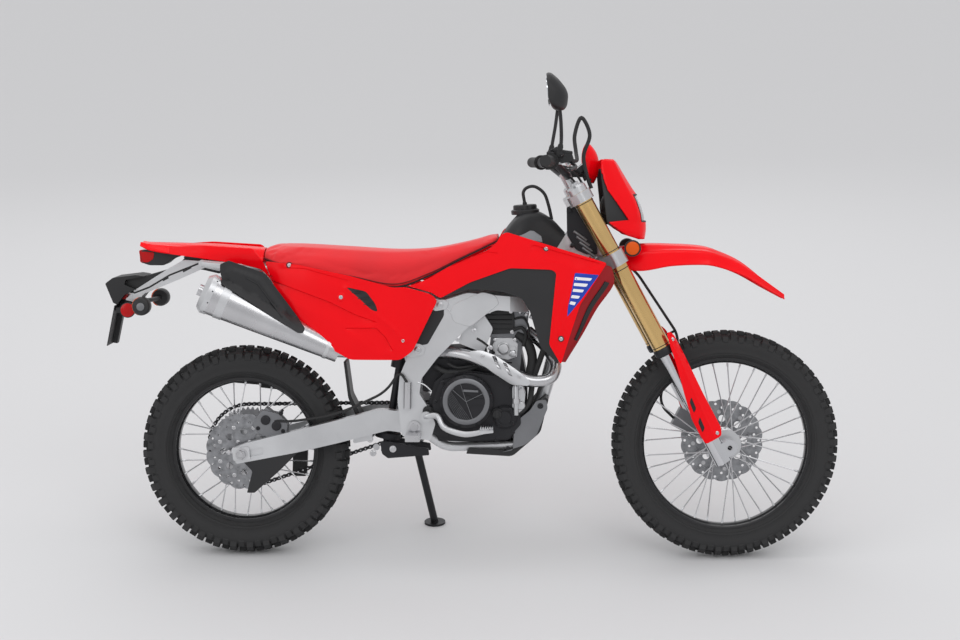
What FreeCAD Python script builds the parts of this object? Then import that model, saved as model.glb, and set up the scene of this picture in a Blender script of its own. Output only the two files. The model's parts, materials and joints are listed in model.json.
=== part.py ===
import FreeCAD, Part

import math
import os

# Dual sport motorcycle, parked on its side stand. Lengths are millimetres, angles are degrees.
# The bike is modelled upright: X points forward, Y to the rider's left, Z up, and the origin
# is on the ground under the rear axle. At the end every piece is leaned over as it parks.

V = FreeCAD.Vector
ACROSS = V(0, 1, 0)
UP = V(0, 0, 1)
AHEAD = V(1, 0, 0)

# Driving sizes of the chassis
WHEELBASE = 1500.0
SIDE_H = 1500.0
BODY_W = 300.0
RAKE = 28.5
CLAMP_OFFSET = 24.0
AXLE_LEAD = 36.0
STEER_TURN = 4.0
LEAN = 10.0
FIT = 0.3
OVERRUN = 20.0
BEND_SHARE = 0.45
SOFT_SHARE = 0.30
CRISP_SHARE = 0.12

# Wheels: outline radii and half widths of the tyres, rims and hubs
REAR_TYRE_R = 327.0
REAR_TYRE_W = 56.0
REAR_BEAD_R = 229.0
FRONT_TYRE_R = 354.0
FRONT_TYRE_W = 44.0
FRONT_BEAD_R = 268.0
REAR_PITCHES = 36
FRONT_PITCHES = 42
RIM_DEPTH = 15.0
RIM_WALL = 5.0
REAR_RIM_W = 33.0
FRONT_RIM_W = 26.0
SPOKE_R = 2.2
REAR_SPOKES = 32
FRONT_SPOKES = 36
SPOKE_LACE = 3.0
AXLE_R = 10.0
AXLE_BORE_R = 7.0
HUB_BORE_R = AXLE_R + FIT
HUB_BARREL_R = 27.0
REAR_FLANGE_R = 64.0
REAR_FLANGE_Y = 33.0
FRONT_FLANGE_R = 46.0
FRONT_FLANGE_Y = 30.0
FLANGE_T = 6.0
HUB_END_R = 18.0

# Brakes
REAR_DISC_R = 120.0
REAR_DISC_Y = 62.0
FRONT_DISC_R = 130.0
FRONT_DISC_Y = 60.0
DISC_T = 4.0
DISC_BAND = 32.0
DISC_BOLT_R = 46.0
DISC_WAVE = 5.0
REAR_DISC_WAVES = 16
FRONT_DISC_WAVES = 18
DISC_HOLE_R = 4.0
DISC_ROW_SHARES = (0.25, 0.66)
DISC_WINDOWS = 8
DISC_WINDOW_R = 11.0
PAD_GAP = 5.0
CALIPER_T = 12.0

# Final drive
CHAIN_Y = 69.0
CHAIN_PITCH_R = 131.0
DRIVE_PITCH_R = 33.0
CHAIN_H = 15.0
CHAIN_W = 15.0
LINK_PAIRS = 54
LINK_WAIST_SHARE = 0.66
SPROCKET_R = CHAIN_PITCH_R - CHAIN_H / 2 - 1.0
SPROCKET_T = 6.0
SPROCKET_BORE_R = 44.0
SPROCKET_TEETH = 48
TOOTH_H = 8.0
TOOTH_SHARES = ((0.0, 1.0), (0.32, 0.0), (0.50, 0.0), (0.82, 1.0))
SPROCKET_WINDOWS = 6
SPROCKET_WINDOW_R = 16.0
SPROCKET_WINDOW_RING = 80.0

# Fork and steering
FORK_Y = 107.0
FORK_TUBE_R = 28.5
FORK_TUBE_LOW_T = 356.0
FORK_TUBE_TOP_T = 925.0
STANCHION_R = 21.5
LUG_TOP_T = 64.0
LUG_LOW_T = -34.0
LUG_R = 27.0
TOP_CLAMP_T = 878.0
TOP_CLAMP_H = 30.0
LOW_CLAMP_T = 655.0
LOW_CLAMP_H = 44.0
STEM_R = 15.0
HEAD_R = 32.0
HEAD_LOW_T = LOW_CLAMP_T + LOW_CLAMP_H + 6.0
HEAD_TOP_T = TOP_CLAMP_T - 6.0
CLAMP_NECK_R = 26.0
CLAMP_RING = 13.0
BAR_R = 11.0
BAR_CLAMP_S = 18.0
BAR_CLAMP_T = 968.0
BAR_CLAMP_Y = 48.0
BAR_RISE_Y = 215.0
BAR_END_S = -34.0
BAR_END_T = 1048.0
BAR_END_Y = 408.0
GRIP_R = 17.0
GRIP_L = 120.0
MIRROR_Y = 290.0

# Lateral places of frame and bodywork
SPAR_IN = 92.0
SPAR_OUT = 122.0
SPAR_HEAD_IN = 8.0
SPAR_HEAD_OUT = 44.0
RAIL_Y = 78.0
RAIL_R = 14.0
DOWNTUBE_R = 22.0
SUBFRAME_R = 11.0
SUBFRAME_Y = 88.0
ARM_IN = 80.0
ARM_OUT = 112.0
ARM_PIVOT_IN = 61.0
BRIDGE_ROOM = 16.0
BRIDGE_DEPTH = 62.0
ADJUSTER_DEPTH = 6.0
ARM_PIVOT_OUT = SPAR_IN - FIT
PIVOT_TUBE_R = 27.0
PIVOT_BOLT_R = 9.0
CASE_RIGHT = 104.0
CASE_LEFT = 92.0
CASE_CHAIN_Y = 54.0
COVER_RIGHT = 148.0
COVER_LEFT = 124.0
CYLINDER_Y = 60.0
CLUTCH_R = 82.0
PUMP_R = 38.0
GENERATOR_R = 78.0
HEADER_R = 18.0
SKIN = 4.0

# Side stand
STAND_PIVOT_Y = 138.0
STAND_FOOT_Y = 258.0
STAND_R = 12.0
STAND_FOOT_R = 34.0
STAND_FOOT_T = 7.0
STAND_AXIS_TILT = 10.0
STAND_PIN_REACH = 24.0

# Tyre section, as shares of the height from bead to tread and of the half width: carcass and lug tips
CARCASS_SHARES = ((0.0, 0.59), (0.38, 0.90), (0.62, 0.93), (0.80, 0.66), (0.86, 0.34))
LUG_TIP_SHARES = ((0.80, 1.0), (0.96, 0.70), (1.0, 0.34))

# Side views, as shares of the wheelbase ahead of the rear axle and of the side height above the ground
PIVOT_SHARES = (0.359, 0.278)
STAND_PIVOT_SHARES = (0.345, 0.232)
STAND_BRACKET_SHARES = ((0.335, 0.275), (0.392, 0.270), (0.362, 0.216), (0.330, 0.216))
STAND_FOOT_X_SHARE = 0.385
SPAR_TOP_SHARES = ((0.333, 0.258), (0.324, 0.333), (0.329, 0.385), (0.349, 0.432), (0.407, 0.535),
                   (0.467, 0.555), (0.587, 0.545))
SPAR_LOW_SHARES = ((0.589, 0.514), (0.528, 0.520), (0.489, 0.505), (0.442, 0.457), (0.407, 0.422),
                   (0.374, 0.379), (0.369, 0.347), (0.388, 0.317), (0.402, 0.285), (0.392, 0.250))
SPAR_BEND_X_SHARE = 0.555
SPAR_HEAD_X_SHARE = 0.667
CROSS_TUBE_SHARES = (0.352, 0.420)
DOWNTUBE_LOW_SHARES = ((0.628, 0.352), (0.600, 0.272))
RAIL_SHARES = ((0.585, 0.238), (0.420, 0.232), (0.385, 0.262))
SUBFRAME_TOP_SHARES = ((0.424, 0.530), (0.180, 0.590), (-0.080, 0.612))
SUBFRAME_LOW_SHARES = ((0.372, 0.440), (0.150, 0.560))
ARM_SHARES = ((-0.022, 0.229), (0.009, 0.241), (0.285, 0.312), (0.365, 0.303), (0.382, 0.278),
              (0.365, 0.258), (0.303, 0.267), (0.120, 0.223), (-0.012, 0.197))
ARM_SPLAY_X_SHARES = (0.290, 0.200)
ADJUSTER_SHARES = ((0.016, 0.212), (0.016, 0.227), (0.044, 0.233), (0.044, 0.218))
ARM_AXLE_SHARE = 0.218
ARM_BRIDGE_SHARES = ((0.0, 0.238), (0.15, 0.284), (0.95, 0.290), (1.0, 0.246))
CASE_SHARES = ((0.392, 0.262), (0.388, 0.330), (0.400, 0.370), (0.430, 0.396), (0.490, 0.392),
               (0.566, 0.374), (0.585, 0.335), (0.582, 0.280), (0.552, 0.250), (0.470, 0.246),
               (0.405, 0.248))
CYLINDER_SHARES = ((0.505, 0.380), (0.572, 0.371), (0.582, 0.460), (0.515, 0.468))
HEAD_SHARES = ((0.498, 0.462), (0.586, 0.452), (0.592, 0.505), (0.572, 0.528), (0.512, 0.532),
               (0.492, 0.505))
CLUTCH_SHARES = (0.466, 0.333)
WATER_PUMP_SHARES = (0.545, 0.300)
GENERATOR_SHARES = (0.505, 0.318)
COVER_SHARES = ((0.398, 0.262), (0.396, 0.330), (0.412, 0.372), (0.470, 0.392), (0.540, 0.382),
                (0.572, 0.350), (0.578, 0.285), (0.552, 0.255), (0.470, 0.250))
COVER_STEP = 16.0
COVER_BEVEL = 9.0
RELIEF_DEPTH = 3.0
RELIEF_OUT_SHARE = 0.78
RELIEF_IN_SHARE = 0.24
RELIEF_SPOKES = 3
RELIEF_SPOKE_SHARE = 0.22
HEAD_OUT = CYLINDER_Y * 1.15
HEAD_COVER_SHARES = ((0.508, 0.525), (0.516, 0.541), (0.566, 0.538), (0.576, 0.520))
THROTTLE_SHARES = ((0.505, 0.492), (0.440, 0.518))
THROTTLE_R = 26.0
HEAD_STAY_SHARES = ((0.448, 0.450), (0.462, 0.492), (0.494, 0.520), (0.520, 0.480), (0.500, 0.430))
DRIVE_SPROCKET_SHARES = (0.403, 0.290)
CROWN_SHARES = ((0.0, 1.0), (0.56, 0.97), (0.90, 0.80), (1.0, 0.48), (0.92, 0.14), (0.50, 0.0), (0.0, 0.0))
SEAT_SHARES = ((0.048, 0.620, 0.646, 0.25), (0.075, 0.612, 0.6455, 0.40), (0.125, 0.603, 0.645, 0.425),
               (0.230, 0.582, 0.639, 0.42), (0.320, 0.563, 0.6345, 0.375), (0.390, 0.588, 0.637, 0.31),
               (0.450, 0.620, 0.648, 0.265), (0.500, 0.645, 0.661, 0.245), (0.530, 0.660, 0.672, 0.235))
TANK_SHARES = ((0.400, 0.562, 0.580, 0.20), (0.440, 0.562, 0.604, 0.30), (0.520, 0.562, 0.648, 0.38),
               (0.548, 0.562, 0.688, 0.37), (0.575, 0.562, 0.716, 0.32), (0.606, 0.565, 0.720, 0.22),
               (0.640, 0.585, 0.702, 0.155), (0.666, 0.606, 0.674, 0.13))
PANEL_SHARES = ((0.052, 0.618), (0.125, 0.612), (0.228, 0.592), (0.318, 0.567), (0.352, 0.570),
                (0.386, 0.583), (0.409, 0.543), (0.357, 0.437), (0.332, 0.419), (0.230, 0.420),
                (0.141, 0.467), (0.068, 0.573))
SHROUD_SHARES = ((0.536, 0.674), (0.548, 0.681), (0.616, 0.661), (0.751, 0.621), (0.729, 0.586),
                 (0.697, 0.535), (0.681, 0.485), (0.659, 0.413), (0.635, 0.454), (0.649, 0.600),
                 (0.640, 0.606), (0.556, 0.608), (0.475, 0.579), (0.411, 0.543), (0.388, 0.584),
                 (0.432, 0.610), (0.510, 0.644), (0.528, 0.659))
INNER_SHARES = ((0.414, 0.550), (0.475, 0.587), (0.556, 0.616), (0.650, 0.614), (0.660, 0.600),
                (0.646, 0.460), (0.655, 0.412), (0.617, 0.449), (0.596, 0.521), (0.579, 0.547),
                (0.535, 0.561), (0.473, 0.565))
FENDER_SHARES = ((-0.215, 0.655, 0.127, 0.007), (-0.190, 0.6545, 0.207, 0.015),
                 (-0.125, 0.6535, 0.25, 0.023), (-0.060, 0.6515, 0.287, 0.028),
                 (0.0, 0.6475, 0.307, 0.037), (0.045, 0.644, 0.327, 0.049))
FENDER_RIB_SHARES = (((-0.100, 0.600), (-0.100, 0.647), (-0.060, 0.646), (-0.060, 0.600)),
                     ((-0.195, 0.630), (-0.195, 0.6525), (-0.135, 0.652), (-0.135, 0.625)))
FENDER_RIB_Y = 32.0
TAIL_LIGHT_SHARES = ((-0.216, 0.637), (-0.192, 0.638), (-0.128, 0.628), (-0.122, 0.620), (-0.142, 0.601),
                     (-0.172, 0.600), (-0.193, 0.607))
PLATE_ARM_SHARES = ((-0.118, 0.628), (-0.044, 0.614), (-0.048, 0.588), (-0.087, 0.597), (-0.171, 0.576),
                    (-0.222, 0.556), (-0.246, 0.566), (-0.243, 0.576), (-0.203, 0.583), (-0.150, 0.598))
PLATE_SHARES = ((-0.262, 0.524), (-0.253, 0.524), (-0.268, 0.440), (-0.279, 0.440))
PLATE_HOOD_SHARES = ((-0.286, 0.568), (-0.270, 0.580), (-0.222, 0.586), (-0.203, 0.583), (-0.243, 0.576),
                     (-0.246, 0.566), (-0.222, 0.556), (-0.246, 0.545), (-0.262, 0.524), (-0.270, 0.528))
SKID_SHARES = ((0.465, 0.222), (0.470, 0.233), (0.556, 0.228), (0.590, 0.262), (0.610, 0.325),
               (0.628, 0.340), (0.634, 0.335), (0.618, 0.268), (0.560, 0.217))
SILENCER_REAR_SHARES = (-0.058, 0.553)
SILENCER_FRONT_SHARES = (0.205, 0.432)
SHIELD_SHARES = ((0.010, 0.611), (0.066, 0.588), (0.078, 0.573), (0.155, 0.470), (0.141, 0.458),
                 (0.020, 0.585))
HEADER_SHIELD_SHARES = ((0.477, 0.436), (0.504, 0.438), (0.543, 0.412), (0.636, 0.384), (0.634, 0.371),
                        (0.590, 0.372), (0.560, 0.384), (0.478, 0.424))
RADIATOR_SHARES = ((0.655, 0.597), (0.700, 0.582), (0.665, 0.455), (0.620, 0.470))
RADIATOR_GROOVES = 9
GROOVE_DEPTH = 6.0

# Smaller sizes of single pieces
WALL_SPAN_SHARES = (0.39, 0.70)
WALL_REACH = 200.0
PANEL_TUCK = (3.0, 16.0)
SHROUD_TUCK = (14.0, 18.0)
PAD_L = 62.0
PAD_H = 42.0
GUARD_T = 6.0
LEVER_R = 5.0
PEDAL_R = 7.0
PEG_Y = 142.0
PEG_L = 62.0
PEG_W = 44.0
PEG_T = 20.0
PEG_SHARES = (0.358, 0.262)
SHOCK_R = 34.0
SHOCK_TOP_SHARES = (0.337, 0.482)
SHOCK_LOW_SHARES = (0.293, 0.222)
LINK_SHARES = ((0.288, 0.214), (0.284, 0.238), (0.300, 0.240), (0.384, 0.226), (0.386, 0.212),
               (0.300, 0.205))
LINK_IN = 44.0
LINK_T = 12.0
SPRING_TURNS = 7
MASTER_R = 12.0
MASTER_SHARES = ((0.345, 0.317), (0.346, 0.372))
MUD_FLAP_Y = 45.0
MUD_FLAP_SHARES = ((-0.50, 0.406), (-0.37, 0.406), (-0.14, 0.335), (0.40, 0.291), (0.81, 0.291),
                   (0.81, 0.284), (0.20, 0.284), (-0.28, 0.330))
DISC_GUARD_SHARES = ((0.0, 0.205), (0.067, 0.216), (0.120, 0.226), (0.080, 0.185), (0.026, 0.137),
                     (0.010, 0.137), (0.022, 0.182))
BRAKE_HOSE_R = 4.0
REAR_HOSE_SHARES = ((0.345, 0.370), (0.330, 0.395), (0.300, 0.350), (0.200, 0.302), (0.100, 0.285),
                    (0.055, 0.285))
REAR_HOSE_SIDES = (134.0, 134.0, 122.0, 116.0, 100.0, 76.0)
VENT_HOSE_R = 5.0
VENT_HOSE_SHARES = ((0.584, 0.728), (0.578, 0.762), (0.600, 0.772), (0.624, 0.757), (0.634, 0.725),
                    (0.640, 0.695))
COOLANT_HOSE_R = 9.0
COOLANT_HOSE_SHARES = ((0.560, 0.300), (0.596, 0.322), (0.600, 0.370), (0.618, 0.420), (0.634, 0.470))
COOLANT_HOSE_SIDES = (116.0, 108.0, 88.0, 84.0, 84.0)
FRONT_HOSE_TABLE = ((40.0, 60.0, 662.0), (75.0, 70.0, 600.0), (99.0, 96.0, 352.0), (60.0, 58.0, 310.0),
                    (24.0, 58.0, 285.0), (-60.0, 58.0, 200.0), (-35.0, 72.0, 120.0), (-8.0, 73.0, 96.0))
HOSE_CLIP_T = 372.0

# Sizes of the exhaust, lamps, controls and fork pieces
HEADER_PORT_Y = 20.0
HEADER_SIDES = (45.0, 95.0, 135.0, 140.0, 140.0, 118.0, 66.0, 66.0, 104.0, 128.0)
HEADER_SHARES = ((0.590, 0.470), (0.628, 0.440), (0.652, 0.405), (0.640, 0.378), (0.600, 0.374),
                 (0.520, 0.408), (0.460, 0.430), (0.400, 0.428), (0.330, 0.428), (0.250, 0.430),
                 (0.200, 0.434))
SILENCER_REAR_Y = 160.0
SILENCER_FRONT_Y = 130.0
SILENCER_REAR_RADII = (48.0, 62.0)
SILENCER_FRONT_RADII = (30.0, 32.0)
OUTLET_SHARE = 0.08
CAP_SHARES = (0.584, 0.722)
CAP_R = 36.0
CAP_H = 14.0
PANEL_BOSS_SHARES = ((0.150, 0.592), (0.330, 0.5567))
PANEL_PLAN_SHARES = ((0.04, 0.35), (0.1, 0.45), (0.23, 0.56), (0.33, 0.54), (0.42, 0.49))
SHROUD_PLAN_SHARES = ((0.4, 0.5), (0.47, 0.53), (0.56, 0.56), (0.68, 0.65), (0.76, 0.68))
RADIATOR_HANGER_SHARES = ((0.660, 0.597), (0.690, 0.589), (0.685, 0.565), (0.655, 0.575))
SHROUD_BOSS_SHARES = ((0.672, 0.586), (0.652, 0.470))
SHROUD_BOSS_R = 9.0
RADIATOR_IN = 62.0
RADIATOR_OUT = 138.0
TAIL_LIGHT_Y = 42.0
PLATE_ARM_Y = 40.0
PLATE_HOOD_Y = 60.0
PLATE_Y = 85.0
SIGNAL_SHARES = (-0.197, 0.527)
SIGNAL_Y = 140.0
SIGNAL_STALK_R = 9.0
SIGNAL_R = 26.0
SIGNAL_L = 40.0
SKID_Y = 112.0
BRAKE_PEDAL_SHARES = ((0.383, 0.300), (0.384, 0.302), (0.407, 0.303), (0.423, 0.280), (0.464, 0.268),
                      (0.503, 0.275))
BRAKE_PEDAL_SIDES = (SPAR_OUT + FIT, 142.0, 145.0, 160.0, 168.0, 172.0)
SHIFT_LEVER_SHARES = ((0.455, 0.262), (0.470, 0.264), (0.505, 0.270), (0.530, 0.272))
SHIFT_LEVER_SIDES = (CASE_LEFT + FIT, 138.0, 150.0, 168.0)
CHAIN_GUARD_SHARES = ((-0.040, 0.352), (0.050, 0.360), (0.160, 0.345), (0.160, 0.330), (0.050, 0.345))
CHAIN_GUARD_LEG_SHARES = ((0.020, 0.352), (0.160, 0.338), (0.190, 0.290), (0.160, 0.275), (0.130, 0.328),
                          (0.020, 0.340))
CHAIN_GUIDE_SHARES = ((0.092, 0.228), (0.124, 0.236), (0.120, 0.152), (0.090, 0.152))
REAR_CALIPER_ANGLE = 52.0
FRONT_CALIPER_ANGLE = 152.0
FRONT_HUB_Y = 50.0
LUG_EYE_IN = 22.0
LUG_EYE_R = 24.0
GUARD_R = 40.0
GUARD_BACK = -4.0
GUARD_LOW_T = LUG_TOP_T + FIT
GUARD_HIGH_T = 345.0
FRONT_FENDER_SHARES = ((-0.387, 0.707, 0.207, 0.080), (-0.305, 0.719, 0.293, 0.097),
                       (-0.205, 0.719, 0.333, 0.080), (-0.093, 0.712, 0.343, 0.068),
                       (-0.041, 0.698, 0.327, 0.063), (0.048, 0.656, 0.283, 0.051),
                       (0.136, 0.585, 0.207, 0.030), (0.205, 0.528, 0.100, 0.010))
FENDER_FOOT_SHARES = ((-0.375, 0.700), (-0.310, 0.712), (-0.270, 0.712), (-0.280, 0.660), (-0.360, 0.635))
FENDER_FOOT_Y = 40.0
COWL_SHARES = ((-0.4493, 0.9994), (-0.4288, 1.0063), (-0.3981, 1.0028), (-0.3092, 0.8696),
               (-0.2887, 0.8166), (-0.2836, 0.7585), (-0.2887, 0.7295), (-0.3434, 0.7432),
               (-0.3861, 0.7637), (-0.4288, 0.803), (-0.4408, 0.8952))
COWL_PLAN_SHARES = ((-0.4613, 0.39), (-0.3759, 0.37), (-0.3161, 0.275), (-0.2802, 0.1))
COWL_FRONT_SHARES = ((0.2, 1.0148), (0.3, 0.9294), (0.4, 0.8269), (0.275, 0.7244))
COWL_HALF = 115.0
COWL_WALL = 4.0
HEADLIGHT_SHARES = (-0.3588, 0.8354)
HEADLIGHT_R = 70.0
HEADLIGHT_DEPTH = 67.0
HEADLIGHT_ARM_SHARES = ((-0.5194, 0.861), (-0.3929, 0.8747), (-0.3895, 0.8303), (-0.5091, 0.8132))
METER_SHARES = ((-0.4937, 1.0609), (-0.4698, 1.0507), (-0.4527, 0.9977), (-0.4562, 0.9516),
                (-0.4613, 0.9021), (-0.4784, 0.9055), (-0.5125, 0.9636))
METER_Y = 55.0
METER_ARM_L = 70.0
BAR_BEND_SHARE = 0.25
BAR_BEND_S = -4.0
BAR_BEND_T = 1030.0
PERCH_L = 26.0
PERCH_R = 17.0
PERCH_REACH = 30.0
MIRROR_STALK_SHARES = (-0.586, 1.1771)
MIRROR_KNEE_SHARES = (-0.5894, 1.1002)
MIRROR_SHARES = (-0.5979, 1.242)
MIRROR_W = 150.0
MIRROR_H = 100.0
MIRROR_DEPTH = 18.0
SPOKE_TIP_SHARE = 0.35
PITCH_STEPS = 6


def flat(share_pair, y=0.0):
    """Point of the side view, at a lateral place."""
    return V(share_pair[0] * WHEELBASE, y, share_pair[1] * SIDE_H)


def fork_flat(share_pair, y=0.0):
    """Point of the side view that follows the front axle and the fork's height."""
    return FRONT_AXLE + V(share_pair[0] * TOP_CLAMP_T, y, share_pair[1] * TOP_CLAMP_T)


def arm_flat(share_pair, y=0.0):
    """Point of the side view that follows the rear axle at one end and the swingarm's pivot at the other."""
    spot = flat(share_pair, y)
    rise = REAR_TYRE_R - ARM_AXLE_SHARE * SIDE_H
    return spot + UP * rise * (1 - share_pair[0] / PIVOT_SHARES[0])


def bridge_flat(share_pair):
    """Point of the swingarm's bridge, which stands clear of the tyre."""
    return V(REAR_TYRE_R + BRIDGE_ROOM + share_pair[0] * BRIDGE_DEPTH, 0, share_pair[1] * SIDE_H)


def flats(table, place=flat):
    return [place(pair) for pair in table]


def rounded_wire(points, share, closed=True):
    """Straight runs joined by tangent arcs that cut each corner by a share of its shorter run."""
    count = len(points)
    joints = []
    for i, here in enumerate(points):
        if not closed and i in (0, count - 1):
            joints.append((here, here, here))
            continue
        back = points[i - 1] - here
        on = points[(i + 1) % count] - here
        cut = share * min(back.Length, on.Length)
        back.normalize()
        on.normalize()
        half = back.getAngle(on) / 2
        if share == 0 or math.cos(half) < 0.004:
            joints.append((here, here, here))
            continue
        inward = back + on
        inward.normalize()
        middle = here + inward * (cut / math.cos(half) - cut * math.tan(half))
        joints.append((here + back * cut, middle, here + on * cut))
    edges = []
    for i, (start, middle, end) in enumerate(joints):
        if start.distanceToPoint(end) > 0:
            edges.append(Part.Arc(start, middle, end).toShape())
        if i < count - 1 or closed:
            following = joints[(i + 1) % count][0]
            edges.append(Part.LineSegment(end, following).toShape())
    return Part.Wire(edges)


def plate(points, y_low, y_high, share=CRISP_SHARE):
    """Side outline with rounded corners, carried across from one lateral place to another."""
    face = Part.Face(rounded_wire(points, share))
    face.translate(ACROSS * y_low)
    return face.extrude(ACROSS * (y_high - y_low))


def column(points, share=0.0):
    """Plan outline carried up through the whole height of the bike."""
    face = Part.Face(rounded_wire(points, share))
    return face.extrude(UP * WHEELBASE)


def mirrored(shape):
    return shape.mirror(V(), ACROSS)


def rod(start, end, radius):
    return Part.makeCylinder(radius, start.distanceToPoint(end), start, end - start)


def cross_rod(share_pair, radius, y_low, y_high):
    return rod(flat(share_pair, y_low), flat(share_pair, y_high), radius)


def pipe(points, radius, share=BEND_SHARE):
    """Round bar along straight runs and tangent arcs."""
    pieces = []
    for edge in rounded_wire(points, share, closed=False).Edges:
        start, end = edge.valueAt(edge.FirstParameter), edge.valueAt(edge.LastParameter)
        if isinstance(edge.Curve, Part.Line):
            pieces.append(rod(start, end, radius))
            continue
        centre, turn_axis = edge.Curve.Center, edge.Curve.Axis
        angle = math.degrees(edge.LastParameter - edge.FirstParameter)
        ring = Part.Face(Part.Wire(Part.makeCircle(radius, start, turn_axis.cross(start - centre))))
        pieces.append(ring.revolve(centre, turn_axis, angle))
    return pieces[0].fuse(pieces[1:]) if len(pieces) > 1 else pieces[0]


def joined(shapes):
    """One solid from pieces that are welded together."""
    whole = shapes[0].fuse(shapes[1:])
    return whole.removeSplitter()


def largest(shape):
    return max(shape.Solids, key=lambda solid: solid.Volume)


def seated(shape, carriers):
    """The piece cut to lie against what carries it."""
    return largest(shape.cut(carriers))


def spun(profile, centre):
    """Solid of revolution about the lateral axis, from points of radius and lateral place."""
    corners = [V(radius, y, 0) for radius, y in profile]
    face = Part.Face(Part.makePolygon(corners + corners[:1]))
    solid = face.revolve(V(), ACROSS, 360)
    solid.translate(centre)
    return solid


def tapered(start, start_radii, end, end_radii):
    """Oval body between two points; the radii are lateral and upright."""
    axis = end - start
    middle_radii = [(a + b) / 2 for a, b in zip(start_radii, end_radii)]
    rings = []
    for place, radii in ((0.0, start_radii), (0.5, middle_radii), (1.0, end_radii)):
        rings.append(oval(start + axis * place, axis, radii[0], radii[1]))
    return Part.makeLoft(rings, True)


def band_section(outer, inner):
    """Closed section between two arcs, each through three points."""
    curves = [Part.Arc(*outer), Part.LineSegment(outer[2], inner[2]), Part.Arc(*reversed(inner)),
              Part.LineSegment(inner[0], outer[0])]
    return Part.Wire([curve.toShape() for curve in curves])


def arched_shell(places, skin):
    """Fender: an arch of one wall through its stations, each given as x, top, half width and drop."""
    rings = []
    for x, top, half, drop in places:
        outer = [V(x, -half, top - drop), V(x, 0, top), V(x, half, top - drop)]
        inner = [V(x, -half + skin, top - drop), V(x, 0, top - skin), V(x, half - skin, top - drop)]
        rings.append(band_section(outer, inner))
    return Part.makeLoft(rings, True)


def crowned_body(places):
    """Rounded closed body through its stations, each given as x, bottom, top and half width."""
    rings = []
    for x, low, top, half in places:
        right = [V(x, -half * across, low + (top - low) * up) for across, up in CROWN_SHARES]
        left = [V(spot.x, -spot.y, spot.z) for spot in reversed(right[1:-1])]
        curve = Part.BSplineCurve()
        curve.interpolate(Points=right + left, PeriodicFlag=True)
        rings.append(Part.Wire(curve.toShape()))
    return Part.makeLoft(rings, True)


def oval(centre, axis, lateral, upright):
    side = axis.cross(UP)
    side.normalize()
    wide, tall = max(lateral, upright), min(lateral, upright)
    along = side if lateral >= upright else side.cross(axis)
    if wide == tall:
        return Part.Wire(Part.makeCircle(wide, centre, axis))
    along.normalize()
    across = axis.cross(along)
    across.normalize()
    curve = Part.Ellipse(centre + along * wide, centre + across * tall, centre)
    return Part.Wire(curve.toShape())


# Steering axis: its foot lies level with the front axle, square to the axis
SIN_RAKE = math.sin(math.radians(RAKE))
COS_RAKE = math.cos(math.radians(RAKE))
HEAD_UP = V(-SIN_RAKE, 0, COS_RAKE)
HEAD_AHEAD = V(COS_RAKE, 0, SIN_RAKE)
REAR_AXLE = V(0, 0, REAR_TYRE_R)
FRONT_AXLE = V(WHEELBASE, 0, FRONT_TYRE_R)
HEAD_FOOT = FRONT_AXLE - HEAD_AHEAD * (CLAMP_OFFSET + AXLE_LEAD)


def head_point(ahead, y, up):
    """Point by its places ahead of the steering axis, across, and up along it."""
    return HEAD_FOOT + HEAD_AHEAD * ahead + ACROSS * y + HEAD_UP * up


def on_head(shape):
    """Carry a piece drawn about the origin to the steering axis."""
    shape.Placement = FreeCAD.Placement(HEAD_FOOT, FreeCAD.Rotation(ACROSS, -RAKE))
    return shape


# Main frame, subframe and swingarm
def spar(side_table_top, side_table_low):
    head_end = [head_point(-HEAD_R / 2, 0, HEAD_TOP_T - HEAD_R),
                head_point(-HEAD_R / 2, 0, HEAD_LOW_T + HEAD_R / 2)]
    outline = flats(side_table_top) + head_end + flats(side_table_low)
    band = plate(outline, -SPAR_OUT, 0)
    tail_x = ARM_SHARES[0][0] * WHEELBASE
    bend_x = SPAR_BEND_X_SHARE * WHEELBASE
    head_x = FRONT_AXLE.x
    head_mid_x = SPAR_HEAD_X_SHARE * WHEELBASE
    plan = [V(tail_x, -SPAR_OUT, 0), V(bend_x, -SPAR_OUT, 0), V(head_mid_x, -SPAR_HEAD_OUT, 0),
            V(head_x, -SPAR_HEAD_OUT, 0), V(head_x, -SPAR_HEAD_IN, 0), V(head_mid_x, -SPAR_HEAD_IN, 0),
            V(bend_x, -SPAR_IN, 0), V(tail_x, -SPAR_IN, 0)]
    return band.common(column(plan))


def make_main_frame(place):
    right = spar(SPAR_TOP_SHARES, SPAR_LOW_SHARES)
    head = rod(head_point(0, 0, HEAD_LOW_T), head_point(0, 0, HEAD_TOP_T), HEAD_R)
    down_points = [head_point(-HEAD_R, 0, HEAD_LOW_T + HEAD_R * 2)] + flats(DOWNTUBE_LOW_SHARES)
    pieces = [right, mirrored(right), head, pipe(down_points, DOWNTUBE_R)]
    fork_point = flat(DOWNTUBE_LOW_SHARES[1])
    for side in (-1, 1):
        rail = [fork_point, flat(RAIL_SHARES[0], side * RAIL_Y), flat(RAIL_SHARES[1], side * RAIL_Y),
                flat(RAIL_SHARES[2], side * (SPAR_IN + RAIL_R))]
        pieces.append(pipe(rail, RAIL_R))
    pieces.append(cross_rod(CROSS_TUBE_SHARES, DOWNTUBE_R, -SPAR_IN, SPAR_IN))
    pieces.append(cross_rod(SHOCK_TOP_SHARES, STEM_R, -SPAR_IN, SPAR_IN))
    stay = plate(flats(HEAD_STAY_SHARES), HEAD_OUT + FIT, SPAR_IN + SKIN)
    pieces += [make_stand_mount(place), stay, mirrored(stay)]
    frame = joined(pieces)
    stem_hole = rod(head_point(0, 0, LOW_CLAMP_T), head_point(0, 0, TOP_CLAMP_T), STEM_R + FIT)
    bolt_hole = cross_rod(PIVOT_SHARES, PIVOT_BOLT_R, -SPAR_OUT, SPAR_OUT)
    return largest(frame.cut([stem_hole, bolt_hole]))


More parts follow.
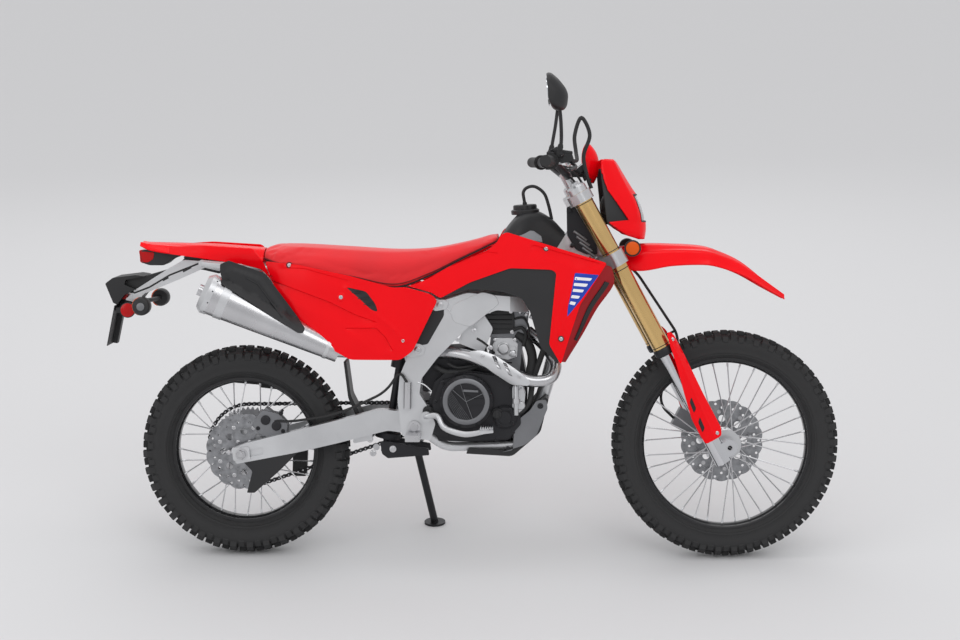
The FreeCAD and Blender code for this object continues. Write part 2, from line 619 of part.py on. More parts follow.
def make_subframe(frame):
    pieces = []
    for side in (-1, 1):
        y = side * SUBFRAME_Y
        top = [flat(SUBFRAME_TOP_SHARES[0], side * (SPAR_IN + SPAR_OUT) / 2)]
        top += [flat(spot, y) for spot in SUBFRAME_TOP_SHARES[1:]]
        low = [flat(SUBFRAME_LOW_SHARES[0], side * (SPAR_IN + SPAR_OUT) / 2)]
        low += [flat(SUBFRAME_LOW_SHARES[1], y), flat(SUBFRAME_TOP_SHARES[2], y)]
        pieces += [pipe(top, SUBFRAME_R), pipe(low, SUBFRAME_R)]
    for spot in SUBFRAME_TOP_SHARES[1:]:
        pieces.append(cross_rod(spot, SUBFRAME_R, -SUBFRAME_Y, SUBFRAME_Y))
    reach = PANEL_PLAN_SHARES[2][1] * BODY_W
    for spot in PANEL_BOSS_SHARES:
        boss = cross_rod(spot, SUBFRAME_R * 0.8, SUBFRAME_Y, reach)
        boss = boss.cut(outside_of(PANEL_PLAN_SHARES, PANEL_TUCK))
        pieces += [boss, mirrored(boss)]
    return seated(joined(pieces), [frame])


def make_swingarm():
    band = plate(flats(ARM_SHARES, arm_flat), 0, SPAR_OUT)
    front_x, rear_x = [share * WHEELBASE for share in ARM_SPLAY_X_SHARES]
    nose_x = STAND_FOOT_X_SHARE * WHEELBASE + OVERRUN
    tail_x = -OVERRUN * 3
    plan = [V(nose_x, ARM_PIVOT_IN, 0), V(front_x, ARM_PIVOT_IN, 0), V(rear_x, ARM_IN, 0),
            V(tail_x, ARM_IN, 0), V(tail_x, ARM_OUT, 0), V(rear_x, ARM_OUT, 0),
            V(front_x, ARM_PIVOT_OUT, 0), V(nose_x, ARM_PIVOT_OUT, 0)]
    left = band.common(column(plan))
    bridge = plate(flats(ARM_BRIDGE_SHARES, bridge_flat), -ARM_IN, ARM_IN)
    tube = cross_rod(PIVOT_SHARES, PIVOT_TUBE_R, -ARM_PIVOT_OUT, ARM_PIVOT_OUT)
    right = mirrored(left)
    left = left.cut(chain_room())
    arm = joined([left, right, bridge, tube])
    holes = [rod(REAR_AXLE - ACROSS * SPAR_OUT, REAR_AXLE + ACROSS * SPAR_OUT, AXLE_R),
             cross_rod(PIVOT_SHARES, PIVOT_BOLT_R, -SPAR_OUT, SPAR_OUT)]
    for side in (-1, 1):
        slot = plate(flats(ADJUSTER_SHARES, arm_flat), side * (ARM_OUT - ADJUSTER_DEPTH), side * SPAR_OUT)
        holes.append(slot)
    return largest(arm.cut(holes))


def make_pivot_bolt():
    shank = cross_rod(PIVOT_SHARES, PIVOT_BOLT_R, -SPAR_OUT, SPAR_OUT)
    heads = [cross_rod(PIVOT_SHARES, PIVOT_BOLT_R * 1.6, side * SPAR_OUT, side * (SPAR_OUT + GUARD_T))
             for side in (-1, 1)]
    return joined([shank] + heads)


def make_rear_suspension(frame, arm):
    top = flat(SHOCK_TOP_SHARES)
    low = flat(SHOCK_LOW_SHARES)
    axis = low - top
    body = rod(top + axis * 0.06, top + axis * 0.35, SHOCK_R * 0.8)
    shaft = rod(top + axis * 0.3, low, SHOCK_R * 0.35)
    pieces = [body, shaft]
    for turn in range(SPRING_TURNS):
        place = 0.16 + 0.72 * turn / (SPRING_TURNS - 1)
        coil = Part.makeTorus(SHOCK_R, GUARD_T, top + axis * place, axis)
        pieces.append(coil)
    pieces.append(rod(top + axis * 0.12, top + axis * 0.16, SHOCK_R + GUARD_T))
    pieces.append(rod(top + axis * 0.88, top + axis * 0.92, SHOCK_R + GUARD_T))
    links = [plate(flats(LINK_SHARES), LINK_IN, LINK_IN + LINK_T),
             plate(flats(LINK_SHARES), -LINK_IN - LINK_T, -LINK_IN)]
    eye = rod(low - ACROSS * LINK_IN, low + ACROSS * LINK_IN, LINK_T)
    whole = pieces[0].fuse(pieces[1:] + links + [eye])
    return largest(whole.cut([frame, arm]))


# Engine and exhaust
def make_engine_cases():
    body = plate(flats(CASE_SHARES), -CASE_RIGHT, CASE_LEFT)
    chain_x = DRIVE_SPROCKET_SHARES[0] * WHEELBASE + DRIVE_PITCH_R * 2
    pocket = Part.makeBox(chain_x, SPAR_OUT, WHEELBASE, V(0, CASE_CHAIN_Y, 0))
    return largest(body.cut(pocket))


def round_cover(share_pair, radius, foot_y, face_y):
    """Round cover with a bevelled rim."""
    edge_y = face_y + math.copysign(COVER_BEVEL, foot_y - face_y)
    profile = [(0, foot_y), (radius, foot_y), (radius, edge_y), (radius - COVER_BEVEL, face_y), (0, face_y)]
    return spun(profile, flat(share_pair))


def clutch_relief():
    """Shallow ring sunk into the clutch cover, broken by spokes."""
    low = RELIEF_DEPTH - COVER_RIGHT
    out = -COVER_RIGHT - RELIEF_DEPTH
    ring = cross_rod(CLUTCH_SHARES, CLUTCH_R * RELIEF_OUT_SHARE, out, low)
    tools = [cross_rod(CLUTCH_SHARES, CLUTCH_R * RELIEF_IN_SHARE, out, low)]
    for i in range(RELIEF_SPOKES):
        width = CLUTCH_R * RELIEF_SPOKE_SHARE
        spoke = Part.makeBox(CLUTCH_R, RELIEF_DEPTH * 2, width, V(0, out, -width / 2))
        spoke.rotate(V(), ACROSS, 360 * i / RELIEF_SPOKES)
        spoke.translate(flat(CLUTCH_SHARES))
        tools.append(spoke)
    return ring.cut(tools)


def make_engine_covers(frame):
    """Right cover with its clutch and pump covers, and the generator cover on the left."""
    base = plate(flats(COVER_SHARES), -CASE_RIGHT - COVER_STEP, -CASE_RIGHT)
    clutch = round_cover(CLUTCH_SHARES, CLUTCH_R, -CASE_RIGHT, -COVER_RIGHT)
    pump = round_cover(WATER_PUMP_SHARES, PUMP_R, -CASE_RIGHT, -COVER_RIGHT + COVER_STEP)
    cap = cross_rod(WATER_PUMP_SHARES, PUMP_R / 2, -COVER_RIGHT + COVER_BEVEL, -CASE_RIGHT)
    right = joined([base, clutch, pump, cap]).cut([clutch_relief(), frame])
    generator = round_cover(GENERATOR_SHARES, GENERATOR_R, CASE_LEFT, COVER_LEFT)
    plug = cross_rod(GENERATOR_SHARES, PUMP_R / 2, CASE_LEFT, COVER_LEFT + RELIEF_DEPTH)
    return Part.makeCompound([largest(right), joined([generator, plug])])


def make_engine_top(cases):
    """Cylinder, head and its cover, with the throttle body behind."""
    cylinder = plate(flats(CYLINDER_SHARES), -CYLINDER_Y, CYLINDER_Y)
    head = plate(flats(HEAD_SHARES), -HEAD_OUT, HEAD_OUT)
    cover = plate(flats(HEAD_COVER_SHARES), -CYLINDER_Y, CYLINDER_Y)
    start, end = flats(THROTTLE_SHARES)
    throttle = [rod(start, end, THROTTLE_R), rod(start + (end - start) / 2, end, THROTTLE_R + GUARD_T)]
    return joined([cylinder, head, cover] + throttle).cut(cases)


def header_route():
    route = [flat(HEADER_SHARES[0], -HEADER_PORT_Y)]
    return route + [flat(spot, -y) for spot, y in zip(HEADER_SHARES[1:], HEADER_SIDES)]


def make_exhaust_pipe(blockers):
    """Header from the port, down and back past the engine to the silencer."""
    return seated(pipe(header_route(), HEADER_R), blockers)


def silencer_can(extra):
    """Oval canister that narrows towards the header, larger all round by extra."""
    rear = flat(SILENCER_REAR_SHARES, -SILENCER_REAR_Y)
    front = flat(SILENCER_FRONT_SHARES, -SILENCER_FRONT_Y)
    rear_radii = [radius + extra for radius in SILENCER_REAR_RADII]
    front_radii = [radius + extra for radius in SILENCER_FRONT_RADII]
    return tapered(rear, rear_radii, front, front_radii)


def make_silencer():
    rear = flat(SILENCER_REAR_SHARES, -SILENCER_REAR_Y)
    axis = flat(SILENCER_FRONT_SHARES, -SILENCER_FRONT_Y) - rear
    can = silencer_can(0.0)
    tip, root = rear - axis * OUTLET_SHARE, rear + axis * OUTLET_SHARE
    return joined([can, rod(tip, root, HEADER_R)]).cut(rod(tip, root, HEADER_R - SKIN))


def make_exhaust_shields():
    """Skins that stand just off the silencer and the header on the outer side."""
    can_side = SILENCER_REAR_Y + SILENCER_REAR_RADII[0]
    can_room = plate(flats(SHIELD_SHARES), -can_side - OVERRUN, -SILENCER_FRONT_Y)
    big = silencer_can(SKIN + FIT).common(can_room).cut(silencer_can(FIT))
    pipe_room = plate(flats(HEADER_SHIELD_SHARES), -can_side, -HEADER_SIDES[2])
    low = pipe(header_route(), HEADER_R + SKIN * 2).common(pipe_room)
    low = low.cut(pipe(header_route(), HEADER_R + FIT))
    return Part.makeCompound([largest(big), largest(low)])


# Bodywork
def moulding(side_points, plan, share=CRISP_SHARE):
    """Solid with one outline from the side and another from above."""
    reach = max(abs(corner.y) for corner in plan)
    return plate(side_points, -reach, reach, share).common(column(plan, share))


def plan_both(table, start=0.0, span=WHEELBASE):
    """Closed plan outline from shares given on one side."""
    half = [V(start + x * span, y * BODY_W, 0) for x, y in table]
    return half + [V(spot.x, -spot.y, 0) for spot in reversed(half)]


def stations(table, start=V(), span=WHEELBASE, height=SIDE_H):
    """Stations of a lofted body, from shares; the third is a half width, the fourth an upright size."""
    return [(start.x + x * span, start.z + top * height, half * BODY_W, drop * height)
            for x, top, half, drop in table]


def body_stations(table):
    return [(x * WHEELBASE, low * SIDE_H, top * SIDE_H, half * BODY_W) for x, low, top, half in table]


def make_seat(carriers):
    return seated(crowned_body(body_stations(SEAT_SHARES)), carriers)


def make_fuel_tank(carriers):
    tank = crowned_body(body_stations(TANK_SHARES))
    neck = flat(CAP_SHARES)
    cap = rod(neck - UP * CAP_H * 2, neck + UP * CAP_H, CAP_R)
    return seated(joined([tank, cap]), carriers)


def bowed_wall(plan_shares, tuck, near, far):
    """Wall that follows a line seen from above and bows outward between its upper and lower edges.

    The line is its outer face; near and far are its two faces, measured out from that line.
    """
    low, high = WALL_SPAN_SHARES[0] * SIDE_H, WALL_SPAN_SHARES[1] * SIDE_H
    rings = []
    for x, y in plan_shares:
        faces = []
        for off in (far, near):
            place = y * BODY_W + off
            faces.append([V(x * WHEELBASE, place - tuck[0], low), V(x * WHEELBASE, place, (low + high) / 2),
                          V(x * WHEELBASE, place - tuck[1], high)])
        rings.append(band_section(*faces))
    return Part.makeLoft(rings, True)


def curved_panel(side_shares, plan_shares, tuck, inset=0.0):
    """Left panel: a bowed skin, cut to its outline seen from the side."""
    reach = max(y for x, y in plan_shares) * BODY_W
    wall = bowed_wall(plan_shares, tuck, -SKIN - inset, -inset)
    return plate(flats(side_shares), 0, reach + SKIN).common(wall)


def outside_of(plan_shares, tuck):
    """Everything from the inner face of a left panel outward."""
    return bowed_wall(plan_shares, tuck, -SKIN - FIT, WALL_REACH)


def both_sides(left, carriers):
    return Part.makeCompound([largest(side.cut(carriers)) for side in (left, mirrored(left))])


def make_side_panels(carriers):
    return both_sides(curved_panel(PANEL_SHARES, PANEL_PLAN_SHARES, PANEL_TUCK), carriers)


def make_shrouds(carriers):
    return both_sides(curved_panel(SHROUD_SHARES, SHROUD_PLAN_SHARES, SHROUD_TUCK), carriers)


def make_inner_covers(carriers):
    return both_sides(curved_panel(INNER_SHARES, SHROUD_PLAN_SHARES, SHROUD_TUCK, SKIN + FIT), carriers)


def radiator_grooves():
    """Rows of slots between the fins of the core's front face."""
    top, low = flats(RADIATOR_SHARES[1:3])
    down = (low - top) / (RADIATOR_GROOVES * 2 + 1)
    ahead = AHEAD * GROOVE_DEPTH
    grooves = []
    for i in range(RADIATOR_GROOVES):
        start = top + down * (2 * i + 1)
        corners = [start + ahead, start + down + ahead, start + down - ahead, start - ahead]
        grooves.append(plate(corners, RADIATOR_IN + SKIN, RADIATOR_OUT - SKIN, 0.0))
    return grooves


def make_radiators(carriers):
    """Cores beside the frame, with the bosses to which the shrouds are bolted."""
    core = plate(flats(RADIATOR_SHARES), RADIATOR_IN, RADIATOR_OUT).cut(radiator_grooves())
    reach = SHROUD_PLAN_SHARES[-1][1] * BODY_W
    bosses = [cross_rod(spot, SHROUD_BOSS_R, RADIATOR_IN, reach) for spot in SHROUD_BOSS_SHARES]
    hanger = plate(flats(RADIATOR_HANGER_SHARES), 0, RADIATOR_IN + SKIN)
    core = joined([core, hanger] + bosses).cut(outside_of(SHROUD_PLAN_SHARES, SHROUD_TUCK))
    return both_sides(core, carriers)


def make_rear_fender(carriers):
    """Arched tail with the ribs that rest on the subframe and carry the lamp."""
    shell = arched_shell(stations(FENDER_SHARES), SKIN)
    ribs = [plate(flats(outline), -FENDER_RIB_Y, FENDER_RIB_Y) for outline in FENDER_RIB_SHARES]
    return seated(joined([shell] + ribs), carriers)


def make_tail_light(carriers):
    lamp = plate(flats(TAIL_LIGHT_SHARES), -TAIL_LIGHT_Y, TAIL_LIGHT_Y)
    return seated(lamp, carriers)


def make_plate_bracket(carriers):
    arm = plate(flats(PLATE_ARM_SHARES), -PLATE_ARM_Y, PLATE_ARM_Y)
    hood = plate(flats(PLATE_HOOD_SHARES), -PLATE_HOOD_Y, PLATE_HOOD_Y)
    back = plate(flats(PLATE_SHARES), -PLATE_Y, PLATE_Y)
    lamps = []
    for side in (-1, 1):
        stalk_start = flat(SIGNAL_SHARES, side * PLATE_ARM_Y / 2)
        stalk_end = flat(SIGNAL_SHARES, side * SIGNAL_Y)
        lamps.append(rod(stalk_start, stalk_end, SIGNAL_STALK_R))
        lamps.append(rod(stalk_end, stalk_end + ACROSS * side * SIGNAL_L, SIGNAL_R))
    return seated(joined([arm, hood, back] + lamps), carriers)


def make_skid_plate(carriers):
    return seated(plate(flats(SKID_SHARES), -SKID_Y, SKID_Y), carriers)


# Foot controls, chain and rear brake caliper
def make_foot_controls(frame, cases):
    pieces = []
    for side in (-1, 1):
        root = flat(PEG_SHARES, side * (SPAR_OUT - GUARD_T))
        tip = flat(PEG_SHARES, side * (PEG_Y + PEG_L))
        low, high = sorted((side * PEG_Y, side * (PEG_Y + PEG_L)))
        centre = flat(PEG_SHARES)
        tread = Part.makeBox(PEG_W, high - low, PEG_T, V(centre.x - PEG_W / 2, low, centre.z - PEG_T / 2))
        pieces.append(largest(joined([tread, rod(root, tip, PEDAL_R)]).cut(frame)))
    brake = pipe([flat(spot, -y) for spot, y in zip(BRAKE_PEDAL_SHARES, BRAKE_PEDAL_SIDES)], PEDAL_R)
    shift = pipe([flat(spot, y) for spot, y in zip(SHIFT_LEVER_SHARES, SHIFT_LEVER_SIDES)], PEDAL_R)
    low, high = flats(MASTER_SHARES)
    across = ACROSS * (SPAR_OUT + MASTER_R)
    master = rod(low - across, high - across, MASTER_R + FIT)
    pieces += [seated(brake, [frame]), seated(shift, [cases]), seated(master, [frame])]
    return Part.makeCompound(pieces)


def chain_loop(extra):
    """Closed band round both sprockets, as a flat outline widened by extra on each side."""
    drive = flat(DRIVE_SPROCKET_SHARES)
    gap = drive - REAR_AXLE
    big = CHAIN_PITCH_R + extra
    small = DRIVE_PITCH_R + extra
    slope = math.degrees(math.atan2(gap.z, gap.x))
    lean = math.degrees(math.acos((big - small) / gap.Length))

    def spot(centre, radius, angle):
        turn = math.radians(angle)
        return centre + AHEAD * radius * math.cos(turn) + UP * radius * math.sin(turn)

    upper, lower = slope + lean, slope - lean
    edges = [Part.LineSegment(spot(REAR_AXLE, big, upper), spot(drive, small, upper)).toShape(),
             Part.Arc(spot(drive, small, upper), spot(drive, small, slope),
                      spot(drive, small, lower)).toShape(),
             Part.LineSegment(spot(drive, small, lower), spot(REAR_AXLE, big, lower)).toShape(),
             Part.Arc(spot(REAR_AXLE, big, lower), spot(REAR_AXLE, big, slope + 180),
                      spot(REAR_AXLE, big, upper)).toShape()]
    return Part.Face(Part.Wire(edges))


def chain_room():
    """Space that the chain needs where it passes the swingarm."""
    room = chain_loop(CHAIN_H / 2 + PAD_GAP)
    room.translate(ACROSS * (CHAIN_Y - CHAIN_W / 2 - PAD_GAP))
    return room.extrude(ACROSS * (ARM_IN - FIT - CHAIN_Y + CHAIN_W / 2 + PAD_GAP))


def make_chain():
    """Closed loop of links: the side plates are tallest at each pin and waisted between them."""
    path = chain_loop(0.0).OuterWire.discretize(Number=LINK_PAIRS * 2 + 1)[:-1]
    outer, inner = [], []
    for i, spot in enumerate(path):
        along = path[(i + 1) % len(path)] - path[i - 1]
        along.normalize()
        out = along.cross(ACROSS)
        rise = CHAIN_H / 2 * (1.0 if i % 2 else LINK_WAIST_SHARE)
        outer.append(spot + out * rise)
        inner.append(spot - out * rise)
    faces = [Part.Face(Part.makePolygon(corners + corners[:1])) for corners in (outer, inner)]
    faces.sort(key=lambda face: face.Area)
    band = faces[1].cut(faces[0])
    band.translate(ACROSS * (CHAIN_Y - CHAIN_W / 2))
    return largest(band.extrude(ACROSS * CHAIN_W))


def make_drive_sprocket():
    radius = DRIVE_PITCH_R - CHAIN_H / 2 - FIT
    wheel = cross_rod(DRIVE_SPROCKET_SHARES, radius, CHAIN_Y - SPROCKET_T / 2, CHAIN_Y + SPROCKET_T / 2)
    shaft = cross_rod(DRIVE_SPROCKET_SHARES, radius / 2, CASE_CHAIN_Y, CHAIN_Y + SPROCKET_T)
    return joined([wheel, shaft])


def make_chain_guard(chain, arm):
    """Plastic pieces on the swingarm: chain guard and guide, mud flap, and the guard below the disc."""
    top = plate(flats(CHAIN_GUARD_SHARES, arm_flat), CHAIN_Y - CHAIN_W / 2, ARM_IN + SKIN)
    skirt = plate(flats(CHAIN_GUARD_LEG_SHARES, arm_flat), ARM_IN, ARM_IN + SKIN)
    guide = plate(flats(CHAIN_GUIDE_SHARES, arm_flat), CHAIN_Y - CHAIN_W / 2, ARM_IN + SKIN)
    flap = plate(flats(MUD_FLAP_SHARES, bridge_flat), -MUD_FLAP_Y, MUD_FLAP_Y)
    disc_guard = plate(flats(DISC_GUARD_SHARES, arm_flat), -ARM_OUT, -ARM_OUT + SKIN)
    pieces = [joined([top, skirt]), guide, flap, disc_guard]
    return Part.makeCompound([largest(piece.cut([chain, arm])) for piece in pieces])


def caliper(axle, disc_r, disc_y, place_angle, side, cheek_out):
    """Two cheeks and a bridge round the disc's rim; side points outward."""
    middle = disc_r - DISC_BAND / 2
    inner_face = disc_y * side - side * (DISC_T / 2 + PAD_GAP)
    outer_face = disc_y * side + side * (DISC_T / 2 + PAD_GAP)
    low, high = sorted((inner_face - side * CALIPER_T, outer_face + side * cheek_out))
    body = Part.makeBox(PAD_L, high - low, PAD_H + DISC_BAND, V(-PAD_L / 2, low, middle - PAD_H / 2))
    slot_low, slot_high = sorted((inner_face, outer_face))
    slot = Part.makeBox(PAD_L * 2, slot_high - slot_low, disc_r + PAD_GAP, V(-PAD_L, slot_low, 0))
    piece = largest(body.cut(slot))
    piece.rotate(V(), ACROSS, 90 - place_angle)
    piece.translate(axle)
    return piece


def make_rear_caliper(carriers):
    piece = caliper(REAR_AXLE, REAR_DISC_R, REAR_DISC_Y, REAR_CALIPER_ANGLE, -1,
                    ARM_IN - REAR_DISC_Y - DISC_T / 2 - PAD_GAP)
    return seated(piece, carriers)


def make_axle(centre, reach, collars):
    """Hollow axle with its end nuts and the collars that centre the hub."""
    shapes = [rod(centre - ACROSS * reach, centre + ACROSS * reach, AXLE_R)]
    for start, end in collars:
        shapes.append(rod(centre + ACROSS * start, centre + ACROSS * end, HUB_END_R))
    bore = rod(centre - ACROSS * (reach + OVERRUN), centre + ACROSS * (reach + OVERRUN), AXLE_BORE_R)
    return joined(shapes).cut(bore)


def spread(shares, sides):
    """Route through points of the side view, each with its own lateral place on the right."""
    return [flat(spot, -y) for spot, y in zip(shares, sides)]


def make_hoses(carriers):
    """Tank vent, coolant hose and rear brake hose, each held at both ends."""
    vent = pipe(flats(VENT_HOSE_SHARES), VENT_HOSE_R)
    coolant = pipe(spread(COOLANT_HOSE_SHARES, COOLANT_HOSE_SIDES), COOLANT_HOSE_R)
    brake = pipe(spread(REAR_HOSE_SHARES, REAR_HOSE_SIDES), BRAKE_HOSE_R)
    return Part.makeCompound([largest(hose.cut(carriers)) for hose in (vent, coolant, brake)])


# Steering group
def clamp(level, height, nose):
    """Yoke that holds both fork tubes and the stem, seen from above in the steering frame."""
    ring = FORK_TUBE_R + CLAMP_RING
    corners = [V(-CLAMP_NECK_R, 0, 0), V(CLAMP_OFFSET - ring, FORK_Y * 0.6, 0),
               V(CLAMP_OFFSET - ring, FORK_Y, 0), V(CLAMP_OFFSET, FORK_Y + ring, 0),
               V(CLAMP_OFFSET + ring, FORK_Y, 0), V(CLAMP_OFFSET + nose, FORK_Y * 0.5, 0),
               V(CLAMP_OFFSET + nose, 0, 0)]
    outline = corners + [V(spot.x, -spot.y, 0) for spot in reversed(corners[1:-1])]
    body = Part.Face(rounded_wire(outline, SOFT_SHARE)).extrude(UP * height)
    body.translate(UP * level)
    holes = [Part.makeCylinder(FORK_TUBE_R + FIT, height, V(CLAMP_OFFSET, side * FORK_Y, level))
             for side in (-1, 1)]
    return body.cut(holes)


def make_triple_clamps():
    low = clamp(LOW_CLAMP_T, LOW_CLAMP_H, CLAMP_RING)
    top = clamp(TOP_CLAMP_T, TOP_CLAMP_H, CLAMP_RING)
    stem = Part.makeCylinder(STEM_R, TOP_CLAMP_T + TOP_CLAMP_H - LOW_CLAMP_T, V(0, 0, LOW_CLAMP_T))
    risers = []
    for side in (-1, 1):
        foot = V(BAR_CLAMP_S, side * BAR_CLAMP_Y, TOP_CLAMP_T + TOP_CLAMP_H)
        risers.append(Part.makeCylinder(STEM_R, BAR_CLAMP_T - foot.z + BAR_R, foot))
    bar_hole = Part.makeCylinder(BAR_R + FIT, FORK_Y * 2, V(BAR_CLAMP_S, -FORK_Y, BAR_CLAMP_T), ACROSS)
    return on_head(largest(joined([low, top, stem] + risers).cut(bar_hole)))


def make_fork_tubes():
    length = FORK_TUBE_TOP_T - FORK_TUBE_LOW_T
    tubes = []
    for side in (-1, 1):
        foot = V(CLAMP_OFFSET, side * FORK_Y, FORK_TUBE_LOW_T)
        tube = Part.makeCylinder(FORK_TUBE_R, length, foot)
        bore = Part.makeCylinder(STANCHION_R, length / 2, foot)
        tubes.append(tube.cut(bore))
    return on_head(Part.makeCompound(tubes))


def make_fork_legs():
    """Sliding legs with the lug castings that hold the axle ahead of them."""
    legs = []
    for side in (-1, 1):
        y = side * FORK_Y
        leg = Part.makeCylinder(STANCHION_R, FORK_TUBE_LOW_T + FORK_TUBE_R * 2 - LUG_TOP_T,
                                V(CLAMP_OFFSET, y, LUG_TOP_T))
        bottle = Part.makeCylinder(LUG_R, LUG_TOP_T - LUG_LOW_T, V(CLAMP_OFFSET, y, LUG_LOW_T))
        eye_start = V(CLAMP_OFFSET + AXLE_LEAD, y - side * LUG_EYE_IN, 0)
        eye = Part.makeCylinder(LUG_EYE_R, LUG_EYE_IN * 2, eye_start, ACROSS * side)
        web = Part.makeBox(AXLE_LEAD, LUG_EYE_IN * 2, LUG_EYE_R * 2,
                           V(CLAMP_OFFSET, y - LUG_EYE_IN, -LUG_EYE_R))
        hole_start = eye_start - ACROSS * side * LUG_EYE_IN
        hole = Part.makeCylinder(AXLE_R, LUG_EYE_IN * 4, hole_start, ACROSS * side)
        legs.append(largest(joined([leg, bottle, eye, web]).cut(hole)))
    return on_head(Part.makeCompound(legs))


def make_fork_guards(carriers):
    """Plastic guards ahead of the legs, each a curved wall round its stanchion."""
    guards = []
    for side in (-1, 1):
        centre = V(CLAMP_OFFSET, side * FORK_Y, GUARD_LOW_T)
        shell = Part.makeCylinder(GUARD_R, GUARD_HIGH_T - GUARD_LOW_T, centre)
        core = Part.makeCylinder(GUARD_R - SKIN, GUARD_HIGH_T - GUARD_LOW_T, centre + UP * SKIN)
        leg_room = Part.makeCylinder(STANCHION_R + FIT, GUARD_HIGH_T, centre)
        room = Part.makeBox(GUARD_R * 2, GUARD_R * 2, GUARD_HIGH_T,
                            V(CLAMP_OFFSET - GUARD_R * 2 - GUARD_BACK, side * FORK_Y - GUARD_R, 0))
        guards.append(on_head(shell.cut([core, leg_room, room])))
    return Part.makeCompound([largest(guard.cut(carriers)) for guard in guards])


def make_front_fender(carriers):
    """Arched fender with the foot by which it is bolted under the lower clamp."""
    shell = arched_shell(stations(FRONT_FENDER_SHARES, FRONT_AXLE, TOP_CLAMP_T, TOP_CLAMP_T), SKIN)
    foot = plate(flats(FENDER_FOOT_SHARES, fork_flat), -FENDER_FOOT_Y, FENDER_FOOT_Y)
    return seated(joined([shell, foot]), carriers)


def make_headlight_cowl(carriers):
    outer = moulding(flats(COWL_SHARES, fork_flat), plan_both(COWL_PLAN_SHARES, FRONT_AXLE.x, TOP_CLAMP_T))
    front = [V(0, y * BODY_W, fork_flat((0, z)).z) for y, z in COWL_FRONT_SHARES]
    front += [V(0, -spot.y, spot.z) for spot in reversed(front)]
    prism = Part.Face(rounded_wire(front, CRISP_SHARE)).extrude(AHEAD * WHEELBASE * 2)
    body = outer.common(prism)
    hollow = body.copy()
    hollow.translate(V(-COWL_WALL * 2, 0, 0))
    inner = hollow.common(Part.makeBox(WHEELBASE * 2, (COWL_HALF - COWL_WALL) * 2, WHEELBASE,
                                       V(0, -COWL_HALF + COWL_WALL, 0)))
    return seated(largest(body.cut(inner)), carriers)


def make_headlight(carriers):
    """Round lamp body that faces ahead, on two arms from the fork tubes that also carry the cowl."""
    centre = fork_flat(HEADLIGHT_SHARES)
    lamp = rod(centre - AHEAD * HEADLIGHT_DEPTH, centre, HEADLIGHT_R)
    arm = plate(flats(HEADLIGHT_ARM_SHARES, fork_flat), HEADLIGHT_R * 0.6, COWL_HALF - COWL_WALL - FIT)
    return seated(joined([lamp, arm, mirrored(arm)]), carriers)


def make_meter(carriers):
    body = plate(flats(METER_SHARES, fork_flat), -METER_Y, METER_Y)
    foot = Part.makeBox(METER_ARM_L, METER_Y, TOP_CLAMP_H / 2,
                        V(CLAMP_OFFSET, -METER_Y / 2, TOP_CLAMP_T + TOP_CLAMP_H / 4))
    return seated(joined([body, on_head(foot)]), carriers)


def bar_route():
    return [head_point(BAR_END_S, -BAR_END_Y, BAR_END_T), head_point(BAR_BEND_S, -BAR_RISE_Y, BAR_BEND_T),
            head_point(BAR_CLAMP_S, -BAR_CLAMP_Y * 2, BAR_CLAMP_T),
            head_point(BAR_CLAMP_S, BAR_CLAMP_Y * 2, BAR_CLAMP_T),
            head_point(BAR_BEND_S, BAR_RISE_Y, BAR_BEND_T), head_point(BAR_END_S, BAR_END_Y, BAR_END_T)]


def make_handlebar(extra=0.0):
    return pipe(bar_route(), BAR_R + extra, BAR_BEND_SHARE)


def bar_spot(y_from_end, side):
    """Point on the straight end of the bar and the bar's outward direction there."""
    end = head_point(BAR_END_S, side * BAR_END_Y, BAR_END_T)
    bend = head_point(BAR_BEND_S, side * BAR_RISE_Y, BAR_BEND_T)
    out = end - bend
    out.normalize()
    return end - out * y_from_end, out


def make_grips(bar):
    grips = []
    for side in (-1, 1):
        start, out = bar_spot(GRIP_L, side)
        end = start + out * (GRIP_L + GUARD_T)
        flange = rod(start - out * GUARD_T, start, GRIP_R * 1.4)
        grips.append(joined([rod(start, end, GRIP_R), flange]).cut(bar))
    return Part.makeCompound(grips)


def make_hand_controls(bar):
    """Perches with the brake reservoir, switch housings and the two levers."""
    pieces = []
    for side in (-1, 1):
        start, out = bar_spot(GRIP_L + GUARD_T * 2 + PERCH_L * 2, side)
        middle, out = bar_spot(GRIP_L + GUARD_T * 3, side)
        block = rod(start, middle, PERCH_R)
        pivot = start + out * PERCH_L / 2 + HEAD_AHEAD * PERCH_REACH
        arm = rod(start + out * PERCH_L / 2, pivot, LEVER_R * 2)
        tip, out = bar_spot(GRIP_L / 3, side)
        lever_end = tip + HEAD_AHEAD * (PERCH_REACH + GRIP_R)
        lever = pipe([pivot, pivot + out * PERCH_L + HEAD_AHEAD * LEVER_R, lever_end], LEVER_R)
        shapes = [block, arm, lever]
        if side < 0:
            tank_foot = pivot - HEAD_AHEAD * PERCH_REACH / 2
            shapes.append(rod(tank_foot, tank_foot + HEAD_UP * PERCH_R * 2, PERCH_R))
        pieces.append(joined(shapes).cut(bar))
    return Part.makeCompound([largest(piece) for piece in pieces])


def make_mirrors(carriers):
    mirrors = []
    for side in (-1, 1):
        foot, out = bar_spot(GRIP_L + GUARD_T * 2 + PERCH_L, side)
        top = fork_flat(MIRROR_STALK_SHARES, side * MIRROR_Y)
        head_centre = fork_flat(MIRROR_SHARES, side * MIRROR_Y)
        stalk = pipe([foot + HEAD_UP * BAR_R, fork_flat(MIRROR_KNEE_SHARES, side * MIRROR_Y * 0.9), top,
                      head_centre], LEVER_R)
        shell = tapered(head_centre - AHEAD * MIRROR_DEPTH, (MIRROR_W / 2, MIRROR_H / 2 * 0.7),
                        head_centre + AHEAD * MIRROR_DEPTH, (MIRROR_W / 2, MIRROR_H / 2))
        mirrors.append(seated(joined([stalk, shell]), carriers))
    return Part.makeCompound(mirrors)


